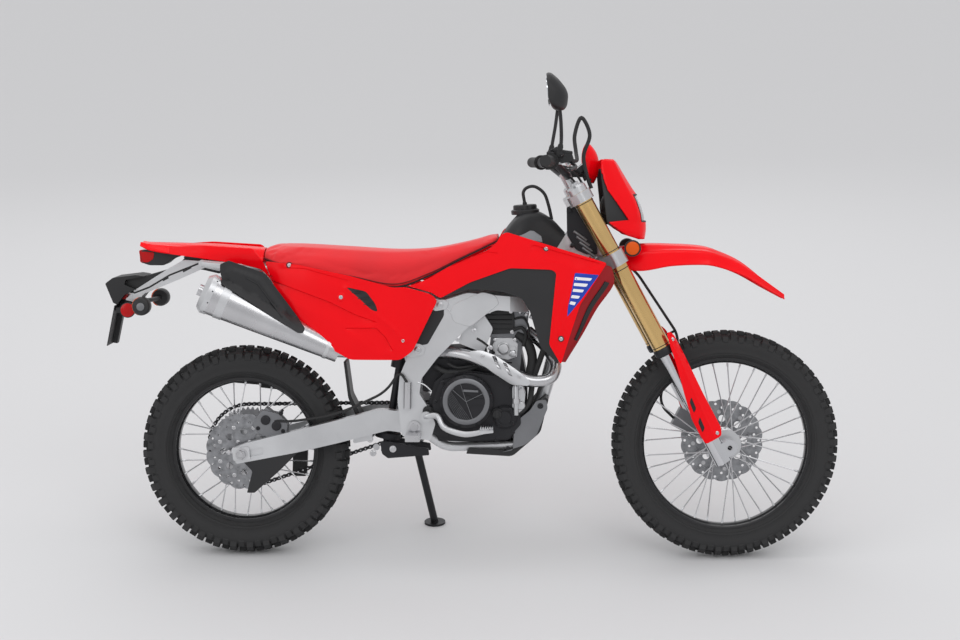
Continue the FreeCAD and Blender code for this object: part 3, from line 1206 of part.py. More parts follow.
def make_front_brake_hose(carriers):
    """Hose from the lower clamp over the left fork guard to the caliper, with the clip that holds it."""
    route = [head_point(*spot) for spot in FRONT_HOSE_TABLE]
    bend = FRONT_HOSE_TABLE[2]
    clip_end = head_point(CLAMP_OFFSET, FORK_Y, HOSE_CLIP_T)
    clip = rod(head_point(bend[0], bend[1], HOSE_CLIP_T), clip_end, BRAKE_HOSE_R)
    return seated(joined([pipe(route, BRAKE_HOSE_R + FIT), clip]), carriers)


# Wheels
def make_tyre(centre, radius, half, bead, pitches):
    """Knobby tyre in flat facets: centre lugs and shoulder lugs by turns, out to the lugs' tips."""
    sectors = pitches * 2
    step = 2 * math.pi / sectors

    def place(share_pair, sector):
        angle = sector * step - math.pi / 2
        up, across = share_pair
        reach = bead + up * (radius - bead)
        if up == 0:
            reach /= math.cos(step / 2)
        return centre + V(reach * math.cos(angle), across * half, reach * math.sin(angle))

    left = list(CARCASS_SHARES)
    section = left + [(up, -across) for up, across in reversed(left)]
    raised = {}
    for (up, across), (tip_up, tip_across) in zip(CARCASS_SHARES[2:], LUG_TIP_SHARES):
        raised[(up, across)] = (tip_up, tip_across)
        raised[(up, -across)] = (tip_up, -tip_across)
    strips = list(zip(section, section[1:] + section[:1]))
    centre_strip = len(left) - 1
    shoulder_strips = (2, len(section) - 4)
    faces = []

    def quad(*spots):
        faces.append(Part.Face(Part.makePolygon(list(spots) + [spots[0]])))

    for sector in range(sectors):
        for index, (low, high) in enumerate(strips):
            base = [place(low, sector), place(high, sector), place(high, sector + 1), place(low, sector + 1)]
            lug = index == centre_strip if sector % 2 else index in shoulder_strips
            if not lug:
                quad(*base)
                continue
            tips = [place(raised[low], sector), place(raised[high], sector), place(raised[high], sector + 1),
                    place(raised[low], sector + 1)]
            quad(*tips)
            for i in range(4):
                quad(base[i], base[(i + 1) % 4], tips[(i + 1) % 4], tips[i])
    solid = Part.Solid(Part.Shell(faces))
    if solid.Volume < 0:
        solid.reverse()
    return solid


def make_rim(centre, bead, rim_half):
    low = bead - RIM_DEPTH
    profile = [(bead, -rim_half), (bead, rim_half), (bead - RIM_WALL, rim_half), (low, rim_half * 0.4),
               (low, -rim_half * 0.4), (bead - RIM_WALL, -rim_half)]
    return spun(profile, centre)


def hub_profile(flange_r, flange_y, disc_y, sprocket_y):
    """Barrel with spoke flanges, widened to carry the disc on one side and the sprocket on the other."""
    return [(HUB_BORE_R, -disc_y), (DISC_BOLT_R, -disc_y), (DISC_BOLT_R, -disc_y + FLANGE_T),
            (HUB_BARREL_R, -disc_y + FLANGE_T * 2), (HUB_BARREL_R, -flange_y - FLANGE_T),
            (flange_r, -flange_y), (flange_r, -flange_y + FLANGE_T),
            (HUB_BARREL_R, -flange_y + FLANGE_T * 2),
            (HUB_BARREL_R, flange_y - FLANGE_T * 2), (flange_r, flange_y - FLANGE_T), (flange_r, flange_y),
            (HUB_BARREL_R, flange_y + FLANGE_T), (DISC_BOLT_R, sprocket_y), (HUB_BORE_R, sprocket_y)]


def make_spokes(centre, count, flange_r, flange_y, rim_r):
    """Crossed wire spokes from the two flanges to the rim."""
    spokes = []
    step = 360.0 / count
    for i in range(count):
        side = 1 if i % 2 else -1
        lace = SPOKE_LACE * step * (1 if i % 4 < 2 else -1)
        low = math.radians(i * step + lace)
        high = math.radians(i * step)
        foot_y = side * (flange_y - FLANGE_T / 2)
        foot = centre + V(math.cos(low), 0, math.sin(low)) * flange_r + ACROSS * foot_y
        tip = centre + V(math.cos(high), 0, math.sin(high)) * rim_r + ACROSS * foot_y * SPOKE_TIP_SHARE
        spokes.append(rod(foot, tip, SPOKE_R))
    return spokes


def pierced(outline, holes, y_low, thick):
    """Flat ring about the lateral axis, with holes given as ring radius, angle and hole radius."""
    wires = [outline]
    for ring, angle, radius in holes:
        spot = V(ring * math.cos(angle), 0, ring * math.sin(angle))
        wires.append(Part.Wire(Part.makeCircle(radius, spot, ACROSS)))
    face = Part.Face(wires, "Part::FaceMakerBullseye")
    face.translate(ACROSS * y_low)
    return face.extrude(ACROSS * thick)


def make_disc(centre, radius, y, waves):
    """Brake disc: a waved and drilled band on its carrier, bolted to the hub's boss."""
    step = 2 * math.pi / waves

    def edge_spot(r, turn):
        return V(r * math.cos(turn * step), 0, r * math.sin(turn * step))

    arcs = [Part.Arc(edge_spot(radius - DISC_WAVE, i), edge_spot(radius, i + 0.5),
                     edge_spot(radius - DISC_WAVE, i + 1)).toShape() for i in range(waves)]
    holes = [(0.0, 0.0, HUB_END_R + PAD_GAP)]
    for row, share in enumerate(DISC_ROW_SHARES):
        for i in range(waves):
            holes.append((radius - DISC_WAVE - share * DISC_BAND, (i + row * 0.5) * step, DISC_HOLE_R))
    window_ring = (radius - DISC_WAVE - DISC_BAND + DISC_BOLT_R) / 2
    for i in range(DISC_WINDOWS):
        holes.append((window_ring, 2 * math.pi * i / DISC_WINDOWS, DISC_WINDOW_R))
    disc = pierced(Part.Wire(arcs), holes, y - DISC_T / 2, DISC_T)
    disc.translate(centre)
    return disc


def make_sprocket():
    """Toothed ring with its windows, bolted to the hub's left boss."""
    corners = []
    for tooth in range(SPROCKET_TEETH):
        for place, low in TOOTH_SHARES:
            angle = 2 * math.pi * (tooth + place) / SPROCKET_TEETH
            radius = SPROCKET_R - low * TOOTH_H
            corners.append(V(radius * math.cos(angle), 0, radius * math.sin(angle)))
    holes = [(0.0, 0.0, SPROCKET_BORE_R)]
    for i in range(SPROCKET_WINDOWS):
        holes.append((SPROCKET_WINDOW_RING, 2 * math.pi * i / SPROCKET_WINDOWS, SPROCKET_WINDOW_R))
    ring = pierced(Part.makePolygon(corners + corners[:1]), holes, CHAIN_Y - SPROCKET_T / 2, SPROCKET_T)
    ring.translate(REAR_AXLE)
    return ring


def make_wheel(end, tyre, centre, bead, rim_half, spokes, profile, flange_r, flange_y):
    rim = make_rim(centre, bead, rim_half)
    hub = spun(profile, centre)
    wires = make_spokes(centre, spokes, flange_r - FLANGE_T, flange_y, bead - RIM_DEPTH)
    cut_wires = [largest(wire.cut([hub, rim])) for wire in wires]
    return {end + "_tyre": tyre, end + "_rim": rim, end + "_hub": hub,
            end + "_spokes": Part.makeCompound(cut_wires)}


# Placement: the whole bike leans about the line on which it rolls, and pitches until both tyres touch
def reach_down(axis, profile):
    """Lowest place of a wheel below its axle, for a wheel axis that leans."""
    level = math.sqrt(1 - axis.z ** 2)
    return max(radius * level + half * abs(axis.z) for radius, half in profile)


def tyre_edge(radius, half, bead):
    return [(bead + up * (radius - bead), across * half) for up, across in LUG_TIP_SHARES]


REAR_EDGE = tyre_edge(REAR_TYRE_R, REAR_TYRE_W, REAR_BEAD_R)
FRONT_EDGE = tyre_edge(FRONT_TYRE_R, FRONT_TYRE_W, FRONT_BEAD_R)


def lean_turn(pitch):
    return FreeCAD.Rotation(AHEAD, -LEAN).multiply(FreeCAD.Rotation(ACROSS, pitch))


def steered():
    """Turn of the steering group about its own axis, still in the upright frame."""
    turn = FreeCAD.Rotation(HEAD_UP, STEER_TURN)
    return FreeCAD.Placement(HEAD_FOOT - turn.multVec(HEAD_FOOT), turn)


def parked():
    """Placement that leans the bike and sets both tyres on the floor."""
    front_axle = steered().multVec(FRONT_AXLE)
    front_across = steered().Rotation.multVec(ACROSS)
    pitch = 0.0
    for step in range(PITCH_STEPS):
        turn = lean_turn(pitch)
        rear_low = turn.multVec(REAR_AXLE).z - reach_down(turn.multVec(ACROSS), REAR_EDGE)
        front_low = turn.multVec(front_axle).z - reach_down(turn.multVec(front_across), FRONT_EDGE)
        pitch += math.degrees(math.atan2(front_low - rear_low, WHEELBASE))
    return FreeCAD.Placement(UP * -rear_low, lean_turn(pitch))


def make_side_stand(place):
    """Leg from its pivot to a foot that lies flat on the floor, drawn as parked."""
    pivot = place.multVec(flat(STAND_PIVOT_SHARES, STAND_PIVOT_Y))
    above = place.multVec(V(STAND_FOOT_X_SHARE * WHEELBASE, STAND_FOOT_Y, 0))
    foot = V(above.x, above.y, 0)
    sole = Part.makeCylinder(STAND_FOOT_R, STAND_FOOT_T, foot)
    leg = rod(foot + UP * STAND_FOOT_T / 2, pivot, STAND_R)
    eye = rod(pivot - stand_axis(place) * STAND_R, pivot + stand_axis(place) * STAND_R, STAND_R * 1.6)
    return joined([leg, sole, eye]).cut(stand_pin(place, FIT))


def stand_axis(place):
    tilt = math.radians(STAND_AXIS_TILT)
    return place.Rotation.multVec(V(0, math.cos(tilt), math.sin(tilt)))


def stand_pin(place, extra):
    pivot = place.multVec(flat(STAND_PIVOT_SHARES, STAND_PIVOT_Y))
    reach = stand_axis(place) * STAND_PIN_REACH
    return rod(pivot - reach, pivot + reach, PIVOT_BOLT_R * 0.8 + extra)


def make_stand_mount(place):
    """Lug on the frame's lower rail with the pin on which the stand swings."""
    pivot = flat(STAND_PIVOT_SHARES, STAND_PIVOT_Y)
    back = place.inverse()
    pin = stand_pin(place, 0.0)
    pin.Placement = back.multiply(pin.Placement)
    root = pivot - ACROSS * (STAND_PIVOT_Y - SPAR_OUT + OVERRUN)
    lug = rod(root, pivot - ACROSS * STAND_R * 1.6, STAND_R * 1.4)
    bracket = plate(flats(STAND_BRACKET_SHARES), SPAR_IN, pivot.y - STAND_R * 1.6)
    return joined([pin, lug, bracket])


def tell(name, value):
    print(name, " ".join(str(round(number, 6)) for number in value))


def main():
    os.makedirs("parts", exist_ok=True)
    place = parked()
    turned = place.multiply(steered())
    frame = make_main_frame(place)
    arm = make_swingarm()
    subframe = make_subframe(frame)
    cases = make_engine_cases()
    covers = make_engine_covers(frame)
    top_end = make_engine_top(cases)
    cases = seated(cases, [frame, arm])
    sprocket = make_drive_sprocket()
    suspension = make_rear_suspension(frame, arm)
    header = make_exhaust_pipe([frame, cases, covers, top_end, suspension, arm])
    silencer = make_silencer()
    silencer = seated(silencer, [header, subframe, frame])
    shields = make_exhaust_shields()
    radiators = make_radiators([frame, header])
    tank = make_fuel_tank([frame, subframe, radiators])
    rear_fender = make_rear_fender([subframe, frame])
    seat = make_seat([tank, subframe, frame, rear_fender])
    solid_inner = [frame, subframe, tank, seat, rear_fender, radiators]
    side_panels = make_side_panels(solid_inner + [silencer, shields])
    shrouds = make_shrouds(solid_inner + [side_panels])
    inner_covers = make_inner_covers(solid_inner + [side_panels, shrouds, header])
    tail_light = make_tail_light([rear_fender, subframe])
    plate_bracket = make_plate_bracket([rear_fender, tail_light, subframe])
    skid = make_skid_plate([frame, cases])
    foot_controls = make_foot_controls(frame, cases)
    chain = make_chain()
    chain_guard = make_chain_guard(chain, arm)
    rear_caliper = make_rear_caliper([arm])
    rear_axle = make_axle(REAR_AXLE, SPAR_OUT, [(-ARM_IN, -REAR_DISC_Y - DISC_T / 2 - FIT),
                                                (CHAIN_Y + SPROCKET_T / 2 + FIT, ARM_IN)])
    bolt = make_pivot_bolt()
    hoses = make_hoses([tank, covers, cases, radiators, foot_controls, rear_caliper, arm])

    root = {"main_frame": frame, "subframe": subframe, "swingarm": arm, "pivot_bolt": bolt,
            "rear_suspension": suspension, "engine_cases": cases, "engine_covers": covers,
            "engine_top": top_end, "drive_sprocket": sprocket, "exhaust_pipe": header, "silencer": silencer,
            "exhaust_shields": shields, "radiators": radiators, "fuel_tank": tank, "seat": seat,
            "side_panels": side_panels, "shrouds": shrouds, "inner_covers": inner_covers,
            "rear_fender": rear_fender, "tail_light": tail_light, "plate_bracket": plate_bracket,
            "skid_plate": skid, "foot_controls": foot_controls, "chain": chain, "chain_guard": chain_guard,
            "rear_caliper": rear_caliper, "rear_axle": rear_axle, "hoses": hoses}

    clamps = make_triple_clamps()
    tubes = make_fork_tubes()
    legs = make_fork_legs()
    guards = make_fork_guards([legs])
    bar = make_handlebar()
    bar_room = make_handlebar(FIT)
    grips = make_grips(bar_room)
    hand_controls = make_hand_controls(bar_room)
    cowl = make_headlight_cowl([clamps, tubes, bar])
    headlight = make_headlight([clamps, tubes, cowl])
    meter = make_meter([clamps, bar, cowl])
    fender = make_front_fender([tubes, clamps])
    front_caliper = caliper(FRONT_AXLE, FRONT_DISC_R, FRONT_DISC_Y, FRONT_CALIPER_ANGLE, 1, CALIPER_T)
    front_caliper = seated(front_caliper, [legs, guards])
    mirrors = make_mirrors([bar, hand_controls])
    hose = make_front_brake_hose([clamps, tubes, legs, guards, front_caliper, fender])
    front_reach = FORK_Y + LUG_EYE_IN
    front_axle = make_axle(FRONT_AXLE, front_reach, [(-FORK_Y + LUG_EYE_IN, -FRONT_HUB_Y - FIT),
                                                     (FRONT_DISC_Y + DISC_T / 2 + FIT, FORK_Y - LUG_EYE_IN)])
    steering = {"triple_clamps": clamps, "fork_tubes": tubes, "fork_legs": legs, "fork_guards": guards,
                "handlebar": bar, "grips": grips, "hand_controls": hand_controls, "headlight_cowl": cowl,
                "headlight": headlight, "meter": meter, "front_fender": fender,
                "front_caliper": front_caliper, "mirrors": mirrors, "front_axle": front_axle,
                "front_brake_hose": hose}

    rear_tyre = make_tyre(REAR_AXLE, REAR_TYRE_R, REAR_TYRE_W, REAR_BEAD_R, REAR_PITCHES)
    rear_profile = hub_profile(REAR_FLANGE_R, REAR_FLANGE_Y, REAR_DISC_Y - DISC_T / 2,
                               CHAIN_Y - SPROCKET_T / 2)
    rear_wheel = make_wheel("rear", rear_tyre, REAR_AXLE, REAR_BEAD_R, REAR_RIM_W, REAR_SPOKES, rear_profile,
                            REAR_FLANGE_R, REAR_FLANGE_Y)
    rear_wheel["rear_disc"] = make_disc(REAR_AXLE, REAR_DISC_R, -REAR_DISC_Y, REAR_DISC_WAVES)
    rear_wheel["sprocket"] = make_sprocket()
    front_tyre = make_tyre(FRONT_AXLE, FRONT_TYRE_R, FRONT_TYRE_W, FRONT_BEAD_R, FRONT_PITCHES)
    front_profile = hub_profile(FRONT_FLANGE_R, FRONT_FLANGE_Y, FRONT_HUB_Y, FRONT_DISC_Y - DISC_T / 2)
    front_wheel = make_wheel("front", front_tyre, FRONT_AXLE, FRONT_BEAD_R, FRONT_RIM_W, FRONT_SPOKES,
                             front_profile, FRONT_FLANGE_R, FRONT_FLANGE_Y)
    front_wheel["front_disc"] = make_disc(FRONT_AXLE, FRONT_DISC_R, FRONT_DISC_Y, FRONT_DISC_WAVES)

    placed = {}
    for pieces, spot in ((root, place), (steering, turned), (rear_wheel, place), (front_wheel, turned)):
        for name, shape in pieces.items():
            moved = shape.copy()
            moved.Placement = spot.multiply(moved.Placement)
            placed[name] = moved
    placed["side_stand"] = make_side_stand(place)

    whole = Part.makeCompound(list(placed.values())).optimalBoundingBox(False, False)
    shift = V(-(whole.XMin + whole.XMax) / 2, -(whole.YMin + whole.YMax) / 2, -whole.ZMin)
    for name, shape in placed.items():
        shape.Placement = FreeCAD.Placement(shift, FreeCAD.Rotation()).multiply(shape.Placement)
        shape.exportStep("parts/" + name + ".step")
        print("node", name, len(shape.Solids), "solids", shape.isValid())

    tell("size", (whole.XLength, whole.YLength, whole.ZLength))
    tell("rear_axle_at", place.multVec(REAR_AXLE) + shift)
    tell("rear_axle_way", place.Rotation.multVec(ACROSS))
    tell("front_axle_at", turned.multVec(FRONT_AXLE) + shift)
    tell("front_axle_way", turned.Rotation.multVec(ACROSS))
    tell("steering_at", place.multVec(HEAD_FOOT) + shift)
    tell("steering_way", place.Rotation.multVec(HEAD_UP))
    tell("stand_at", place.multVec(flat(STAND_PIVOT_SHARES, STAND_PIVOT_Y)) + shift)
    tell("stand_way", stand_axis(place))


if __name__ == "__main__":
    main()
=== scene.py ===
import json
import math

import bmesh
import bpy
from bpy.props import FloatProperty, FloatVectorProperty, PointerProperty
from mathutils import Matrix, Vector
from mathutils.geometry import delaunay_2d_cdt

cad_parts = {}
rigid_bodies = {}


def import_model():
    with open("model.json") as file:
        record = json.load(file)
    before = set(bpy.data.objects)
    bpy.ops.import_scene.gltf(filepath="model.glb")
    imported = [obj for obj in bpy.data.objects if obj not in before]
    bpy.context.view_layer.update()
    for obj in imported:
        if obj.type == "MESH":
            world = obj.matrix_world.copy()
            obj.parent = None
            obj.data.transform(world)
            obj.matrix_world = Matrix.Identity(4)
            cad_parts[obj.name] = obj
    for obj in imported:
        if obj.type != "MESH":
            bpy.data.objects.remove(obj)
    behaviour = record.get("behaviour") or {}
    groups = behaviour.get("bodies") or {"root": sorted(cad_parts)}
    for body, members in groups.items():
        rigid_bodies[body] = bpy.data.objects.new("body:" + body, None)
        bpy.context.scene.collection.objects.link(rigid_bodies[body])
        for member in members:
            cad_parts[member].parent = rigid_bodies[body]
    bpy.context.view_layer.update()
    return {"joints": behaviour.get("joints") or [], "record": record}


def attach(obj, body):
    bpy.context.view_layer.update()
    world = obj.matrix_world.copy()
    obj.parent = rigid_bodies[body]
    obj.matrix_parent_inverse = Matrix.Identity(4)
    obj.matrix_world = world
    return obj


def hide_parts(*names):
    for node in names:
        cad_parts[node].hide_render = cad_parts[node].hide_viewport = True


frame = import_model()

bl_info = {
    "name": "Dual Sport Motorcycle",
    "version": (1, 0, 0),
    "blender": (4, 5, 0),
    "location": "View3D > Sidebar > Motorcycle",
    "description": "Finishes and detailed pieces of a dual sport motorcycle parked on its side stand",
    "category": "Object",
}

# Frames that carry millimetres of the upright motorcycle to the place where it is parked:
# X ahead, Y to the rider's left, Z up, from the ground under the rear axle
JOINTS = {joint["name"]: joint for joint in frame["joints"]}
REAR_TYRE_R = 327.0
RAKE = math.radians(28.5)
TO_METRES = Matrix.Scale(0.001, 4)


def joint_place(name):
    """Where a joint turns, in metres."""
    return Vector(JOINTS[name]["pos_m"])


def joint_way(name):
    """Direction of a joint's axis."""
    return Vector(JOINTS[name]["axis"]).normalized()


def columns(first, second, third):
    """Matrix whose columns are three directions."""
    return Matrix((first, second, third)).transposed()


ACROSS = joint_way("rear_wheel_spin")
HEAD_UP = joint_way("steering_turn")
LEVEL = columns((math.cos(RAKE), 0, math.sin(RAKE)), (0, 1, 0), (-math.sin(RAKE), 0, math.cos(RAKE)))
HEAD = columns(ACROSS.cross(HEAD_UP), ACROSS, HEAD_UP)
UPRIGHT = HEAD @ LEVEL.transposed()
GROUND = joint_place("rear_wheel_spin") - UPRIGHT @ Vector((0, 0, REAR_TYRE_R / 1000))
CHASSIS = Matrix.Translation(GROUND) @ UPRIGHT.to_4x4() @ TO_METRES
HEAD_STRAIGHT = Matrix.Translation(joint_place("steering_turn")) @ HEAD.to_4x4() @ TO_METRES
FRONT_ACROSS = joint_way("front_wheel_spin")
FORK_TURN = columns(FRONT_ACROSS.cross(HEAD_UP), FRONT_ACROSS, HEAD_UP).to_4x4()
FORK = Matrix.Translation(joint_place("steering_turn")) @ FORK_TURN @ TO_METRES
STEERING = FORK @ HEAD_STRAIGHT.inverted() @ CHASSIS
REAR_HUB = Matrix.Translation(joint_place("rear_wheel_spin")) @ UPRIGHT.to_4x4() @ TO_METRES
FRONT_HUB = Matrix.Translation(joint_place("front_wheel_spin")) @ FORK_TURN @ TO_METRES
# Body that a piece rides on, and the frame that its points are given in. The fork's frame runs along its
# legs, and the pieces on the bar are given where they stand when the motorcycle is parked
PLACES = {"chassis": ("chassis", CHASSIS), "steering": ("steering", STEERING), "fork": ("steering", FORK),
          "bar": ("steering", CHASSIS), "rear_wheel": ("rear_wheel", REAR_HUB),
          "front_wheel": ("front_wheel", FRONT_HUB)}


def tone(red, green, blue):
    """Linear colour from the usual 0 to 255 levels."""
    levels = [value / 255 for value in (red, green, blue)]
    return tuple(level / 12.92 if level <= 0.04045 else ((level + 0.055) / 1.055) ** 2.4 for level in levels)


def colour_prop(name, description, levels):
    """Colour setting from 0 to 255 levels."""
    return FloatVectorProperty(name=name, description=description, default=tone(*levels), subtype="COLOR",
                               min=0.0, max=1.0)


def length_prop(name, description, default):
    """Length setting in metres."""
    return FloatProperty(name=name, description=description, default=default, unit="LENGTH")


class StageSettings(bpy.types.PropertyGroup):
    floor: colour_prop("Floor", "Colour of the floor and of the background", (207, 207, 209))
    floor_size: length_prop("Floor size", "Side of the floor", 60.0)
    daylight: FloatProperty(name="Daylight", description="Strength of the even light", default=0.95, min=0.0)
    camera_x: length_prop("Camera ahead", "Camera ahead of the rear axle", 0.9994)
    camera_y: length_prop("Camera aside", "Camera out from the middle", -6.5)
    camera_z: length_prop("Camera height", "Camera above the ground line", 1.4046)
    camera_turn: FloatProperty(name="Camera turn", description="Turn of the camera to the rear",
                               default=math.radians(2.324), unit="ROTATION")
    camera_tilt: FloatProperty(name="Camera tilt", description="Tilt of the camera down",
                               default=math.radians(5.861), unit="ROTATION")
    lens: FloatProperty(name="Lens", description="Focal length in millimetres", default=78.55, min=10.0)


class FinishSettings(bpy.types.PropertyGroup):
    red: colour_prop("Red", "Gloss red of the bodywork", (236, 4, 18))
    seat: colour_prop("Seat", "Matte red of the seat cover", (218, 38, 44))
    black: colour_prop("Black", "Moulded black plastic", (30, 30, 32))
    silver: colour_prop("Silver", "Frame and swingarm", (209, 210, 212))
    gold: colour_prop("Gold", "Fork tubes", (222, 186, 124))
    rubber: colour_prop("Rubber", "Tyres, grips and hoses", (38, 38, 39))


# Finishes
COAT_ROUGHNESS = 0.06
GLOSS_SPREAD = 0.15
RELIEF_STRENGTH = 0.6
LINES_RELIEF = 0.0002


def set_inputs(node, inputs):
    """Give a node's inputs their values."""
    for name, value in inputs.items():
        node.inputs[name].default_value = value


def add_node(tree, kind, inputs=(), **settings):
    """Node with its settings and the values of its inputs."""
    node = tree.nodes.new(kind)
    for name, value in settings.items():
        setattr(node, name, value)
    set_inputs(node, dict(inputs))
    return node


def wire(tree, *links):
    """Join nodes; each link gives a node, its output, the next node and its input."""
    for start, leaving, end, entering in links:
        tree.links.new(start.outputs[leaving], end.inputs[entering])


def new_group(name, sockets):
    """Empty node group with its named inputs and outputs."""
    group = bpy.data.node_groups.new(name, "ShaderNodeTree")
    for title, way, kind, default in sockets:
        socket = group.interface.new_socket(name=title, in_out=way, socket_type=kind)
        if default is not None:
            socket.default_value = default
    entry = group.nodes.new("NodeGroupInput")
    leave = group.nodes.new("NodeGroupOutput")
    return group, entry, leave


def tone_group():
    """Slow change of a colour and of its gloss over the surface."""
    group, entry, leave = new_group("Surface Tone", (
        ("Colour", "INPUT", "NodeSocketColor", None), ("Scale", "INPUT", "NodeSocketFloat", 6.0),
        ("Spread", "INPUT", "NodeSocketFloat", 0.1), ("Gloss", "INPUT", "NodeSocketFloat", 0.4),
        ("Gloss Spread", "INPUT", "NodeSocketFloat", 0.08), ("Colour", "OUTPUT", "NodeSocketColor", None),
        ("Roughness", "OUTPUT", "NodeSocketFloat", None)))
    place = add_node(group, "ShaderNodeTexCoord")
    cloud = add_node(group, "ShaderNodeTexNoise", {"Detail": 4.0})
    level = add_node(group, "ShaderNodeMapRange", {"From Min": 0.3, "From Max": 0.7, "To Min": -1.0})
    half = add_node(group, "ShaderNodeMath", operation="MULTIPLY")
    shift = add_node(group, "ShaderNodeMath", {1: 1.0}, operation="ADD")
    shade = add_node(group, "ShaderNodeHueSaturation")
    gloss = add_node(group, "ShaderNodeMath", operation="MULTIPLY_ADD")
    wire(group, (place, "Object", cloud, "Vector"), (entry, "Scale", cloud, "Scale"),
         (cloud, 0, level, "Value"), (level, 0, half, 0), (entry, "Spread", half, 1), (half, 0, shift, 0),
         (shift, 0, shade, "Value"), (entry, "Colour", shade, "Color"), (level, 0, gloss, 0),
         (entry, "Gloss Spread", gloss, 1), (entry, "Gloss", gloss, 2), (shade, 0, leave, "Colour"),
         (gloss, 0, leave, "Roughness"))
    return group


def grain_group():
    """Height of a fine moulded or cast grain."""
    group, entry, leave = new_group("Fine Grain", (
        ("Scale", "INPUT", "NodeSocketFloat", 800.0), ("Pebble", "INPUT", "NodeSocketFloat", 0.5),
        ("Height", "OUTPUT", "NodeSocketFloat", None)))
    place = add_node(group, "ShaderNodeTexCoord")
    cloud = add_node(group, "ShaderNodeTexNoise", {"Detail": 3.0, "Roughness": 0.6})
    cells = add_node(group, "ShaderNodeTexVoronoi", feature="SMOOTH_F1")
    mix = add_node(group, "ShaderNodeMix", data_type="FLOAT")
    for texture in (cloud, cells):
        wire(group, (place, "Object", texture, "Vector"), (entry, "Scale", texture, "Scale"))
    wire(group, (entry, "Pebble", mix, "Factor"), (cloud, 0, mix, "A"), (cells, "Distance", mix, "B"),
         (mix, "Result", leave, "Height"))
    return group


def brushed_group():
    """Height of fine lines drawn along X, as a brush or a lathe leaves them."""
    group, entry, leave = new_group("Brushed Lines", (
        ("Stretch", "INPUT", "NodeSocketVector", None), ("Height", "OUTPUT", "NodeSocketFloat", None)))
    place = add_node(group, "ShaderNodeTexCoord")
    stretch = add_node(group, "ShaderNodeVectorMath", operation="MULTIPLY")
    lines = add_node(group, "ShaderNodeTexNoise", {"Scale": 1.0, "Detail": 5.0, "Roughness": 0.7})
    wire(group, (place, "Object", stretch, 0), (entry, "Stretch", stretch, 1), (stretch, 0, lines, "Vector"),
         (lines, 0, leave, "Height"))
    return group


GROUP_MAKERS = {"tone": tone_group, "grain": grain_group, "brushed": brushed_group}
GROUPS = {}
MATERIALS = {}


def group_node(tree, name, inputs):
    """Node of a shared group, which is made at its first use."""
    if name not in GROUPS:
        GROUPS[name] = GROUP_MAKERS[name]()
    return add_node(tree, "ShaderNodeGroup", inputs, node_tree=GROUPS[name])


def finish(name, colour, gloss, metal=0.0, spread=0.08, patches=7.0, grain=0.0, grain_scale=900.0, pebble=0.4,
           lines=None, coat=0.0, sheen=0.0, specular=0.5):
    """Principled finish whose colour, gloss and relief change over the surface."""
    material = bpy.data.materials.new(name)
    material.use_nodes = True
    tree = material.node_tree
    shader = tree.nodes["Principled BSDF"]
    set_inputs(shader, {"Metallic": metal, "Coat Weight": coat, "Coat Roughness": COAT_ROUGHNESS,
                        "Sheen Weight": sheen, "Specular IOR Level": specular})
    surface = group_node(tree, "tone", {"Colour": (*colour, 1.0), "Scale": patches, "Spread": spread,
                                        "Gloss": gloss, "Gloss Spread": gloss * GLOSS_SPREAD})
    wire(tree, (surface, "Colour", shader, "Base Color"), (surface, "Roughness", shader, "Roughness"))
    if grain or lines:
        if lines:
            relief = group_node(tree, "brushed", {"Stretch": lines})
        else:
            relief = group_node(tree, "grain", {"Scale": grain_scale, "Pebble": pebble})
        bump = add_node(tree, "ShaderNodeBump", {"Strength": RELIEF_STRENGTH,
                                                 "Distance": grain or LINES_RELIEF})
        wire(tree, (relief, "Height", bump, "Height"), (bump, "Normal", shader, "Normal"))
    material.diffuse_color = (*colour, 1.0)
    MATERIALS[name] = material
    return material


def lens_finish(name, colour, gloss, clear):
    """Tinted or clear lamp lens."""
    lens = finish(name, colour, gloss, spread=0.05, patches=20.0, coat=0.12, specular=0.25)
    set_inputs(lens.node_tree.nodes["Principled BSDF"], {"Transmission Weight": clear})


